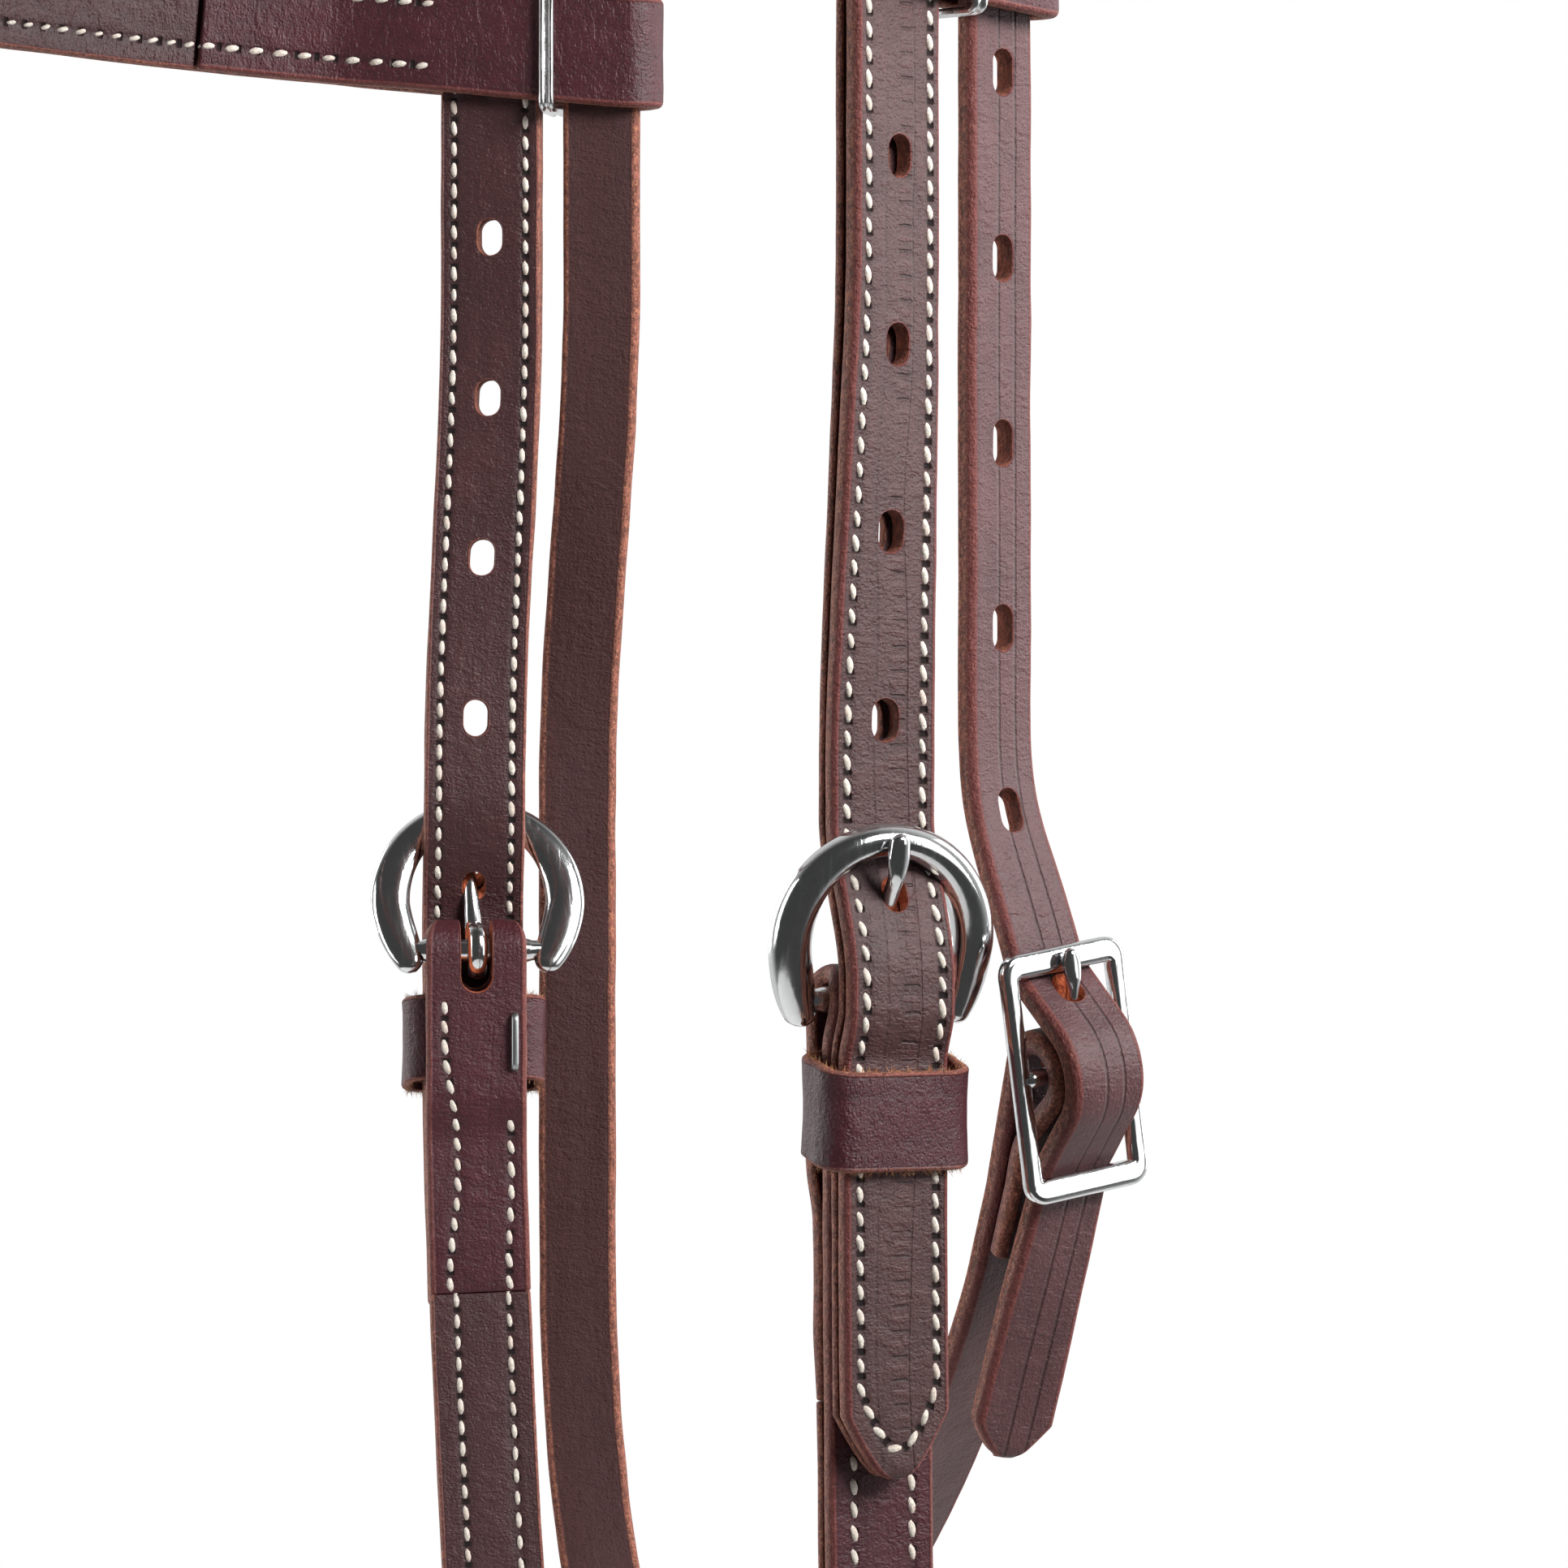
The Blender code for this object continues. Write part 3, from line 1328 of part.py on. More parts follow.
def build_throat_screw(strap, parts, cutters):
    """One small strap screw holds the tail to the strap behind it."""
    across, normal, up = throat_axes()
    inward = main_angle()
    direction = normal * math.cos(inward) - up * math.sin(inward)
    half_stack = (THROAT_THICKNESS + LAYER_GAP) / 2
    height = -THROAT_SCREW_DROP
    place = throat_point(sway(height, MAIN_SWAY), main_outward(height), height) + direction * half_stack
    matrix = axes(across, direction.cross(across), direction, place)
    grip = 2 * THROAT_THICKNESS + 3 * LAYER_GAP
    looks = (nickel("throat post nickel"), nickel("throat screw nickel"))
    screw_pair("throat_fold_post", "throat_fold_screw", matrix, grip, THROAT_HEAD_RADIUS, looks, parts, cutters)
    post_hole(strap, "throat_screw_hole", matrix, grip, cutters)


def build_throat_buckle(parts, cutters):
    axis = bpy.data.objects.new("throat_buckle_axis", None)
    parts.objects.link(axis)
    across, normal, up = throat_axes()
    axis.matrix_world = axes(across, -normal, up, throat_point(0, 0, 0))
    loop = rounded_loop(THROAT_FRAME_WIDTH, THROAT_FRAME_HEIGHT, THROAT_FRAME_CORNER)[1:]
    points = [Vector((x, 0, z)) for x, z in loop]
    look = nickel("throat buckle nickel")
    frame = wire("throat_buckle_frame", points, THROAT_WIRE, look, parts, closed=True)
    mesh = rod_mesh("throat_centre_bar", THROAT_WIRE, THROAT_FRAME_WIDTH)
    bar = cutter(mesh.name, mesh, axes(UP, Vector((0, 1, 0)), -BACK, Vector((0, 0, 0))), cutters)
    line = THROAT_WIRE + RUNNING_GAP + THROAT_TONGUE
    reach = THROAT_FRAME_HEIGHT / 2 + THROAT_WIRE
    look = nickel("throat tongue nickel")
    tongue = tongue_wire("throat_buckle_tongue", line, reach, THROAT_TONGUE, 0, look, parts)
    for piece in (frame, bar, tongue):
        piece.parent = axis
    cut(frame, bar, "UNION")


def main():
    clear_scene()
    parts = collection("western_headstall")
    cutters = collection("cutters")
    build_crown(parts, cutters)
    for side, name in ((-1, "near"), (1, "far")):
        build_cheek(side, name, parts, cutters)
        build_cheek_buckle(side, name, parts, cutters)
        build_clip(side, name, parts)
    build_browband(parts)
    build_throat(parts, cutters)
    build_throat_buckle(parts, cutters)
    bpy.context.view_layer.update()


main()
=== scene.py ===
"""The looks of a western browband headstall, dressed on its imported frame.

Metres, +Z up, the nose towards -X and the near side towards -Y, as in the frame. A strap is first a flat
blank, x across and y along, and is then laid along its route, as the leather is.
"""
import math

import bmesh
import bpy
import numpy as np
from mathutils import Matrix, Vector, kdtree, noise


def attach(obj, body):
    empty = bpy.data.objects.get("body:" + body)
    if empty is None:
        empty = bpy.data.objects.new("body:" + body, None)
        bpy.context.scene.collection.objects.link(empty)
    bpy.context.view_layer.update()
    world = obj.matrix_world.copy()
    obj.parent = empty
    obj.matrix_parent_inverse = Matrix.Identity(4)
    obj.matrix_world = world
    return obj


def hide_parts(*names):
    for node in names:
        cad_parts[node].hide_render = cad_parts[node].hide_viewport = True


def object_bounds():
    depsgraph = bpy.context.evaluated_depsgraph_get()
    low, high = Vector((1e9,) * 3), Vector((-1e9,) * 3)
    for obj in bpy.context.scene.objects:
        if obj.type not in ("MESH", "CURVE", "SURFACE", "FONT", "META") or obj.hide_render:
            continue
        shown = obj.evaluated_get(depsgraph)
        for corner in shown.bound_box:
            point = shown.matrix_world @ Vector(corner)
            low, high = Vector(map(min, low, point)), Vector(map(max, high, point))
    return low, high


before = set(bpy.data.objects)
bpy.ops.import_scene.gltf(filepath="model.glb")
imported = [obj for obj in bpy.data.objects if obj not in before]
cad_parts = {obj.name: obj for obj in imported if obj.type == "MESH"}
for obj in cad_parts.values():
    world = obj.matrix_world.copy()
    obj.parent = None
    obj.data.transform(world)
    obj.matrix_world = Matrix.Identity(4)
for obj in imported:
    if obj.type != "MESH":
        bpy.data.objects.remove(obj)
CAD_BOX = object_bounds()

bl_info = {
    "name": "Western headstall",
    "version": (1, 0, 0),
    "blender": (4, 5, 0),
    "location": "3D View > Sidebar > Headstall",
    "description": "Dresses the frame of a browband headstall in stitched leather and nickel",
    "category": "Object",
}

# Places of the straps, as the frame has them
CROWN_WIDTH = 0.0159
OUTER = 0.0028
LINING = 0.0015
GAP = 0.0003
HALF_SPAN = 0.1
POLL_FLAT = 0.024
LOOP_YAW = math.radians(26.0)
BUCKLE_YAW = {-1: math.radians(9.5), 1: math.radians(12.0)}
YAW_HIGH = -0.160
YAW_LOW = -0.240
LEAN = {-1: 0.0016, 1: 0.0029}
POLL_TWIST_START = 0.15
TIP_BLUNT = 0.2
BILLET_TIP_DROP = 0.0645
HOLE_WIDTH = 0.0040
HOLE_HEIGHT = 0.0058
HOLE_PITCH = 0.0254
USED_HOLE_RISE = 0.0125
SPARE_HOLES = 5
BAR_HEIGHT = {-1: -0.2665, 1: -0.2655}
BAR_RADIUS = 0.0020
BAR_SET = 0.0016
CHEEK = 0.0026
CHEEK_HUG = 0.0002
TOP_TAIL_DROP = 0.054
BIT_EYE_DROP = 0.186
BIT_EYE_RADIUS = 0.0095
BIT_EYE_LIFT = 0.42
BIT_NECK = 0.026
BIT_TAIL = 0.030
CHEEK_SWEEP = 0.012
CHEEK_DRIFT = 0.006
KEEPER = 0.0016
KEEPER_SLANT = 0.0026
KEEPER_TOP_DROP = 0.0082
KEEPER_HEIGHT = 0.0134
KEEPER_SIDE_GAP = 0.0017
KEEPER_CORNER = 0.0034
STAPLE_DROP = 0.0143
STAPLE_LENGTH = 0.0083
STAPLE_OFFSET = 0.0060
RING_HALF_WIDTH = 0.0170
RING_HEIGHT = 0.0251
RING_LEG_DROP = 0.0036
RING_CENTRE_RISE = 0.0080
RING_SIDE_BAND = 0.0062
RING_TOP_BAND = 0.0046
RING_BACK = 0.0006
RING_DOME = 0.0020
RING_TILT = math.radians(19.0)
RING_SLIP = 0.00025
TONGUE_RADIUS = 0.00115
TONGUE_LEAN = math.radians(4.0)
RUNNING_GAP = 0.0003
WRAP_ANGLE = math.radians(250.0)
BROW_WIDTH = 0.0175
BROW_OUTER = 0.0026
BROW_LINING = 0.0014
BROW_HEIGHT = -0.1234
BROW_RISE = 0.0160
BROW_RISE_POWER = 1.5
BROW_TURN = math.radians(116.0)
BROW_TURN_POWER = 0.9
BROW_STRAIGHT = 0.0090
BROW_CLOSE = 0.0180
BROW_TAIL = 0.0470
LOOP_CLEARANCE = 0.0005
LOOP_END_GAP = 0.0010
CLIP_WIDTH = 0.0024
CLIP_THICKNESS = 0.0011
CLIP_CORNER = 0.0016
CLIP_SET = 0.0018
THROAT_WIDTH = 0.0122
THROAT = 0.0034
THROAT_STEP = {-1: 0.0210, 1: 0.0178}
THROAT_LEG_LOW = -0.2270
FAR_LEG_LOW = -0.3090
FAR_LEG_OUTSET = 0.0140
FAR_LEG_YAW = math.radians(20.0)
NEAR_HANG = 0.052
FAR_HANG = 0.150
THROAT_HOLE_RISE = 0.0096
THROAT_HOLE_WIDTH = 0.0037
THROAT_HOLE_HEIGHT = 0.0064
THROAT_BAR = Vector((0.0268, -0.0994, -0.2765))
THROAT_YAW = math.radians(18.0)
THROAT_ROLL = math.radians(8.5)
THROAT_WIRE = 0.0012
THROAT_FRAME_HEIGHT = 0.0310
THROAT_FRAME_WIDTH = 0.0182
THROAT_PLAY = 0.0007
THROAT_TONGUE = 0.0010
THROAT_TAIL_DROP = 0.0255
THROAT_SCREW_DROP = 0.0200
FREE_END = 0.0420
FREE_ANGLE = math.radians(19.0)
FREE_SWAY = math.radians(10.0)
FREE_TWIST = math.radians(12.0)
TOP_LEAN = math.radians(12.0)
MAIN_SWAY = math.radians(4.0)
SLACK_SHARE = 0.3
SCREW_HEIGHT = 0.0013
BIT_SCREW_FIRST = 0.0065
BIT_SCREW_PITCH = 0.0150

# Sizes of the finished pieces. A drop is measured down from the buckle bar
BEND_TOP = 0.0250
BEND_LOW = 0.0030
HOLE_FIELD = 0.0032
HOLE_MARGIN = 0.0012
HOLE_TAPER = 0.0004
HOLE_SKEW = 0.0006
INNER_COLUMNS = (0, 0.0011, 0.0022, 0.0032, 0.0040)
COLUMN_STEP = 0.00046
LEAST_HALF_WIDTH = 0.0002
SEAM_FREE = 0.0018
TIP_SEAM = 0.013
TIP_ROW = (0.0040, 0.0125)
GROOVE_HALF = 0.0006
THROAT_CREASES = ((-0.0009, 0.00022), (0.0022, 0.00022))
THROAT_USED_SHIFT = 0.0016
FRONT_ROW_SHORT = 0.002
FORE_ROW = -0.0051
FORE_IN = 0.0020
FORE_IN_DROPS = (0.014, 0.030)
FORE_OUT = 0.0017
FORE_OUT_DROPS = (0.036, 0.052)
REAR_ROW = 0.0054
REAR_IN = 0.0008
REAR_IN_DROPS = (0.036, 0.050)
FRINGE_ROOT = 0.0001
FIBRES = {"Spacing": 0.00011, "Length": 0.0015, "Thickness": 0.00007}
STAPLE_RADIUS = 0.00055
STAPLE_SECTION = (0.00058, 0.00048)
FRAME_STEP = 0.0010
SCREW_SLOT = 0.0010
SCREW_SHANK = 0.0013
POST_SLOT = 0.00002
POST_SHANK = 0.0023
CAMERA_SIDE = 0.0141
CROWN_TIP = 0.0088
THROAT_TIP = 0.0052
USED_HOLE_CENTRE = 0.0122
USED_HOLE_SLANT = 0.0008
USED_HOLE_SHIFT = 0.0006
USED_HOLE = (0.0036, 0.0050)
NEAR_LINING_HOLE_SET = -0.0009
SCREW_HOLE = 0.0050
WIDE_FIELD = 0.0040
SLOT_WIDTH = 0.0050
SLOT_EXTRA = 0.0130
FOLD_PINCH = 0.0012
FOLD_PINCH_SPREAD = 0.0024
TAIL_SKIVE = (0.0011, 0.009)
TAIL_ROW_START = 0.0015
FORE_ROW_DROP = 0.0088
REAR_ROW_DROP = 0.0275
FRONT_ROW = 0.0044
FRONT_ROW_DROP = 0.0245
LINING_ROWS = (-0.0039, 0.0044)
ROW_END = 0.001
KEEPER_BULGE = 0.0004
FRINGE_STEP = 0.0008
STAPLE_REACH = 0.0028
STAPLE_BEND = 0.0008
BAR_HALF = 0.0116
BAR_PLACES = (-BAR_HALF, -0.0105, -0.0088, -0.0080, 0.0080, 0.0088, 0.0105, BAR_HALF)
BAR_SIZES = (0.0012, 0.0015, 0.0016, 0.0019, 0.0019, 0.0016, 0.0015, 0.0012)
RING_INSET = {-1: 0.0028, 1: 0.0039}
RING_ASKEW = {-1: 0.10, 1: 0}
RING_PIVOT = 0.009
RING_SHIFT = {-1: 0, 1: 0.0003}
RING_END_BAND = 0.0034
RING_UNDERSIDE = 0.0012
TONGUE_SHORT = 0.0014
TONGUE_BOW = 0.0022
BROW_ROW_INSET = 0.0038
BROW_ROW_GAP = 0.0185
BROW_TAIL_ROW = (0.0012, 0.0365)
THROAT_USED_HOLE = (0.0040, 0.0052)
THROAT_USED_PLACE = (0.0020, 0.0092)
THROAT_SLOT = (0.0040, 0.0225)
THROAT_SLOT_SET = 0.0032
END_HALF_WIDTH = 0.00175
SIDE_HALF_WIDTH = 0.00125
FRAME_HALF_DEPTH = 0.00112
FRAME_CORNER = 0.0017
THROAT_TONGUE_PAST = 0.0006
THROAT_TONGUE_BOW = 0.0012
BIT_SCREW_RADIUS = 0.0047
THROAT_SCREW_RADIUS = 0.0035

STITCH_SINK = 0.0003
END_ROUND = 0.0003
RIM_FIELD = 0.0005
CAMERA_AWAY = 1.1
CAMERA_HEIGHT = -0.227
PHOTO_SIZE = 1932
PHOTO_FOCUS = 10010
PHOTO_LEVEL = 872
SENSOR = 36

# The edge attribute: 0 on the faces, then rubbed edge and raw hole wall; a fresh hole adds 1
RUBBED = 1
RAW = 2

# Fineness
STEP = 0.0006
ARC_STEPS = 48

CROWN = OUTER + GAP + LINING
FOLD_MID = BAR_RADIUS + RUNNING_GAP + CHEEK / 2
FOLD_OUTER = FOLD_MID + CHEEK / 2
KEEPER_LOW_DROP = KEEPER_TOP_DROP + KEEPER_HEIGHT
BILLET_CIRCLE = THROAT_WIRE + THROAT_PLAY + THROAT / 2
FOLD_CIRCLE = THROAT_WIRE + RUNNING_GAP + THROAT / 2
TAIL_CIRCLE = BILLET_CIRCLE + THROAT + GAP
SLACK = SLACK_SHARE * (THROAT_FRAME_HEIGHT / 2 - TAIL_CIRCLE - FOLD_CIRCLE)
UP = Vector((0, 0, 1))
BACK = Vector((1, 0, 0))
VIEW_TURN = math.radians(-17.6)
RIGHT = Vector((math.cos(VIEW_TURN), math.sin(VIEW_TURN), 0))
AHEAD = Vector((-math.sin(VIEW_TURN), math.cos(VIEW_TURN), 0))
NEAR, FAR = -1, 1
SIDES = ((NEAR, "near"), (FAR, "far"))


# Sizes and finishes that a user would change


def length(label, text, default, low=0.0001, high=0.1):
    limits = dict(default=default, min=low, max=high, precision=5)
    return bpy.props.FloatProperty(name=label, description=text, unit="LENGTH", subtype="DISTANCE", **limits)


def colour(label, text, red, green, blue):
    """A colour property whose default is given in display values from 0 to 255."""
    linear = [((value / 255 + 0.055) / 1.055) ** 2.4 for value in (red, green, blue)]
    return bpy.props.FloatVectorProperty(
        name=label, description=text, default=linear, size=3, min=0, max=1, subtype="COLOR"
    )


def share(label, text, default):
    limits = dict(default=default, min=0, max=1)
    return bpy.props.FloatProperty(name=label, description=text, subtype="FACTOR", **limits)


class StrapSettings(bpy.types.PropertyGroup):
    edge: length("Edge rounding", "Radius to which the cut edges are rubbed round", 0.0010)
    rim: length("Hole rim", "Radius of the rim of a punched hole", 0.00025)
    groove: length("Stitch groove", "Depth of the channel in which the stitches lie", 0.00022)
    ripple: length("Unevenness", "How far the faces rise and fall", 0.00012)
    row: length("Row spacing", "Distance between the rows of the strap's mesh", 0.0009)


class StitchSettings(bpy.types.PropertyGroup):
    pitch: length("Pitch", "Distance from stitch to stitch", 0.00330)
    length: length("Length", "Length of one stitch, with the ends that sink in", 0.0028)
    width: length("Width", "Width of the thread at the middle of a stitch", 0.00118)
    rise: length("Rise", "How far a stitch stands out of the leather", 0.0004)
    slant: length("Slant", "How far a stitch's ends are offset sideways", 0.0007, low=-0.01)
    inset: length("Inset", "Distance of the stitch row from the strap's edge", 0.0022)


class LeatherSettings(bpy.types.PropertyGroup):
    face: colour("Face", "Grain side of the crown and cheek straps", 62, 36, 36)
    lining: colour("Lining", "Grain side of the linings", 55, 25, 27)
    keeper: colour("Keeper", "Smooth burgundy of the keepers and browband", 58, 16, 24)
    throat: colour("Throat strap", "Grain side of the throatlatch", 72, 42, 44)
    flesh: colour("Flesh side", "Unfinished inside of the throatlatch", 63, 32, 30)
    edge: colour("Cut edge", "Rubbed edge of the leather, towards the back", 136, 82, 69)
    dyed: colour("Dyed edge", "Cut edge next to the grain side", 92, 37, 36)
    fibre: colour("Fibres", "Light fibres that show in a cut edge", 176, 118, 88)
    thread: colour("Thread", "Waxed off-white thread", 222, 212, 200)


class MetalSettings(bpy.types.PropertyGroup):
    nickel: colour("Nickel", "Polished nickel plate", 217, 218, 219)
    wire: colour("Staple wire", "Plain steel wire", 168, 172, 172)
    polish: share("Polish", "Roughness of the plate", 0.09)


def group(kind, label, text):
    return bpy.props.PointerProperty(type=kind, name=label, description=text)


class HeadstallSettings(bpy.types.PropertyGroup):
    strap: group(StrapSettings, "Straps", "Sizes of the leather")
    stitch: group(StitchSettings, "Stitches", "Sizes of the stitches")
    leather: group(LeatherSettings, "Leather", "Colours of the leather")
    metal: group(MetalSettings, "Metal", "Finish of the metal")


def settings():
    return bpy.context.scene.headstall


# Routes of the straps: lists of (centre, direction across the strap)


def ease(value, start, end):
    part = min(max((value - start) / (end - start), 0), 1)
    return part * part * (3 - 2 * part)


def side_frame(side, yaw):
    """Outward normal and rearward across direction of a strap face on one side."""
    return (
        Vector((math.sin(yaw), side * math.cos(yaw), 0)),
        Vector((math.cos(yaw), -side * math.sin(yaw), 0)),
    )


def swept(side, drop):
    """How far the cheek has swung inwards below the keeper."""
    part = max(drop - KEEPER_LOW_DROP, 0) / (BIT_EYE_DROP - KEEPER_LOW_DROP)
    return Vector((CHEEK_DRIFT, -side * CHEEK_SWEEP, 0)) * part**1.5


def cheek_point(side, across, outward, drop):
    """A place on the cheek assembly: across the strap, outward from the buckle bar, and down from it."""
    normal, rearward = side_frame(side, BUCKLE_YAW[side])
    base = Vector((-LEAN[side], side * HALF_SPAN, BAR_HEIGHT[side])) - normal * BAR_SET
    return base + rearward * across + normal * outward - UP * drop + swept(side, drop)


def cheek_front(drop):
    hugging = CHEEK / 2 + CHEEK_HUG
    return FOLD_MID + (hugging - FOLD_MID) * ease(drop, 0, KEEPER_TOP_DROP * 0.85)


def keeper_back():
    return cheek_front(KEEPER_TOP_DROP) - CHEEK / 2 - GAP - KEEPER / 2


def cheek_tail(drop):
    behind_keeper = keeper_back() - KEEPER / 2 - GAP - CHEEK / 2
    behind_front = cheek_front(KEEPER_TOP_DROP) - CHEEK - GAP
    if drop < KEEPER_TOP_DROP:
        return -FOLD_MID + (behind_keeper + FOLD_MID) * ease(drop, 0, KEEPER_TOP_DROP)
    start = KEEPER_LOW_DROP + GAP
    return behind_keeper + (behind_front - behind_keeper) * ease(drop, start, start + KEEPER_TOP_DROP)


def billet_outward(drop):
    over_bar = FOLD_OUTER + GAP + CROWN / 2
    over_cheek = cheek_front(KEEPER_TOP_DROP) + CHEEK / 2 + GAP + CROWN / 2
    if drop < 0:
        return BAR_SET + (over_bar - BAR_SET) * ease(drop, -BEND_TOP, -BEND_LOW)
    return over_bar + (over_cheek - over_bar) * ease(drop, BAR_RADIUS / 2, KEEPER_TOP_DROP)


def arch_station(side, angle):
    """The crown's middle over the poll, from 0 at the flat's edge to a right angle at the leg."""
    radius = HALF_SPAN - POLL_FLAT / 2
    outward = Vector((0, side * math.sin(angle), math.cos(angle)))
    yaw = LOOP_YAW * ease(angle, POLL_TWIST_START * math.pi / 2, math.pi / 2)
    across = BACK * math.cos(yaw) - outward * math.sin(yaw)
    normal = outward * math.cos(yaw) + BACK * math.sin(yaw)
    return Vector((0, side * POLL_FLAT / 2, CROWN / 2 - radius)) + outward * radius, across, normal


def leg_top():
    return CROWN / 2 - (HALF_SPAN - POLL_FLAT / 2)


def crown_half(side):
    """From one billet tip up to the edge of the flat at the poll."""
    low = BAR_HEIGHT[side] - BILLET_TIP_DROP
    route = []
    for height in np.linspace(low, leg_top(), math.ceil((leg_top() - low) / STEP), endpoint=False):
        turn = ease(height, YAW_HIGH, YAW_LOW)
        normal, across = side_frame(side, LOOP_YAW + (BUCKLE_YAW[side] - LOOP_YAW) * turn)
        drop = BAR_HEIGHT[side] - height
        centre = Vector((-LEAN[side] * turn, side * HALF_SPAN, height)) + swept(side, drop)
        route.append((centre + normal * (billet_outward(drop) - BAR_SET), across))
    for angle in np.linspace(math.pi / 2, 0, 200):
        route.append(arch_station(side, angle)[:2])
    return route


def crown_route():
    return crown_half(NEAR) + crown_half(FAR)[::-1]


def bit_middle():
    return cheek_front(KEEPER_TOP_DROP) - (CHEEK + GAP) / 2


def bit_eye_side(shoulder, eye):
    """The smooth run from the closed neck to the round of the bit eye, as (outward, drop)."""
    level = math.sqrt(1 - BIT_EYE_LIFT**2)
    handle = BIT_NECK / 3
    first = Vector((shoulder, -BIT_NECK))
    last = Vector((eye * level, -eye * BIT_EYE_LIFT))
    knots = (first, first + Vector((0, handle)), last - Vector((BIT_EYE_LIFT, level)) * handle, last)
    run = [bezier(knots, t) for t in np.linspace(0, 1, 40, endpoint=False)]
    return [(x, BIT_EYE_DROP + y) for x, y in run]


def bezier(knots, t):
    s = 1 - t
    return knots[0] * s**3 + knots[1] * (3 * s * s * t) + knots[2] * (3 * s * t * t) + knots[3] * t**3


def cheek_route(side):
    """From the top fold's tail round the bar, down the front, round the bit eye and up its tail. Also the
    numbers of the stations where the fold and the front begin and where the neck ends."""
    rearward = side_frame(side, BUCKLE_YAW[side])[1]
    route = []
    marks = {}

    def add(outward, drop):
        route.append((cheek_point(side, 0, outward, drop), rearward))

    for drop in np.arange(TOP_TAIL_DROP, 0, -STEP):
        add(cheek_tail(drop), drop)
    marks["fold"] = len(route)
    for turn in np.linspace(0, math.pi, ARC_STEPS):
        add(-FOLD_MID * math.cos(turn), -FOLD_MID * math.sin(turn))
    marks["front"] = len(route) - 1
    neck = BIT_EYE_DROP - BIT_NECK
    for drop in np.arange(STEP, neck, STEP):
        add(cheek_front(drop), drop)
    marks["neck"] = len(route)
    shoulder = cheek_front(neck) - bit_middle()
    eye = BIT_EYE_RADIUS + CHEEK / 2
    run = bit_eye_side(shoulder, eye)
    for outward, drop in run:
        add(bit_middle() + outward, drop)
    start = math.asin(BIT_EYE_LIFT)
    for turn in np.linspace(start, -math.pi - start, 2 * ARC_STEPS)[1:-1]:
        add(bit_middle() + eye * math.cos(turn), BIT_EYE_DROP - eye * math.sin(turn))
    for outward, drop in run[::-1]:
        add(bit_middle() - outward, drop)
    marks["tail"] = len(route)
    for drop in np.linspace(neck, neck - BIT_TAIL, 50)[1:]:
        add(bit_middle() - shoulder, drop)
    return route, marks


def brow_half_length():
    shares = (np.arange(200) + 0.5) / 200
    inward = -np.sin(LOOP_YAW - BROW_TURN * shares**BROW_TURN_POWER).mean()
    return BROW_STRAIGHT + (HALF_SPAN + BROW_STRAIGHT * math.sin(LOOP_YAW)) / inward


def brow_angle(distance):
    part = max(distance - BROW_STRAIGHT, 0) / (brow_half_length() - BROW_STRAIGHT)
    return LOOP_YAW - BROW_TURN * part**BROW_TURN_POWER


def brow_line():
    """The browband's plan line in front of the loops: (distance, forward, outward) from the crown."""
    total = brow_half_length()
    count = math.ceil(total / STEP)
    line = [(0, 0, 0)]
    forward = outward = 0
    for index in range(count):
        heading = brow_angle((index + 0.5) * total / count)
        forward += math.cos(heading) * total / count
        outward += math.sin(heading) * total / count
        line.append(((index + 1) * total / count, forward, outward))
    return line


def loop_offset():
    return CROWN / 2 + LOOP_CLEARANCE + BROW_OUTER / 2


def loop_back(side):
    return THROAT_STEP[side] + THROAT_WIDTH / 2 + LOOP_END_GAP - loop_offset() + BROW_OUTER / 2


def brow_place(side, distance, forward, outward, offset):
    """A place beside the plan line, at the browband's height there."""
    heading = brow_angle(distance)
    normal = Vector((math.sin(heading), side * math.cos(heading), 0))
    centre = Vector((-forward, side * (HALF_SPAN + outward), 0)) + normal * offset
    part = (distance + loop_back(side)) / (brow_half_length() + loop_back(side))
    centre.z = BROW_HEIGHT + BROW_RISE * (1 - (1 - part) ** BROW_RISE_POWER)
    return centre


def brow_end(side):
    """One looped end, from the tail on the inside round the throat strap and forward outside."""
    touch = (BROW_OUTER + GAP) / 2
    line = brow_line()
    back = loop_back(side)

    def offset(distance):
        opening = 1 - ease(distance, BROW_STRAIGHT, BROW_STRAIGHT + BROW_CLOSE)
        return touch + (loop_offset() - touch) * opening

    tail = [place for place in line[::-1] if place[0] <= BROW_TAIL]
    route = [(brow_place(side, *place, -offset(place[0])), UP) for place in tail]
    normal, rearward = side_frame(side, LOOP_YAW)
    rear = (-back, -back * math.cos(LOOP_YAW), -back * math.sin(LOOP_YAW))
    hub = brow_place(side, *rear, 0)
    for turn in np.linspace(0, math.pi, ARC_STEPS):
        reach = rearward * math.sin(turn) - normal * math.cos(turn)
        route.append((hub + reach * loop_offset(), UP))
    return route + [(brow_place(side, *place, offset(place[0])), UP) for place in line]


def throat_axes():
    normal, rearward = side_frame(NEAR, THROAT_YAW)
    up = UP * math.cos(THROAT_ROLL) - rearward * math.sin(THROAT_ROLL)
    return rearward * math.cos(THROAT_ROLL) + UP * math.sin(THROAT_ROLL), normal, up


def throat_point(across, outward, up):
    x, n, z = throat_axes()
    return THROAT_BAR + x * across + n * outward + z * up


def throat_leg(side):
    normal, rearward = side_frame(side, LOOP_YAW)
    return Vector((0, side * HALF_SPAN, 0)) + rearward * THROAT_STEP[side] + normal * ((THROAT - CROWN) / 2)


def loop_radius():
    return FOLD_CIRCLE + SLACK


def loop_lean(offset):
    reach = THROAT_FRAME_HEIGHT / 2
    return math.asin(offset / math.hypot(SLACK, reach)) - math.atan(SLACK / reach)


def main_angle():
    return loop_lean(TAIL_CIRCLE + SLACK + THROAT + GAP - loop_radius())


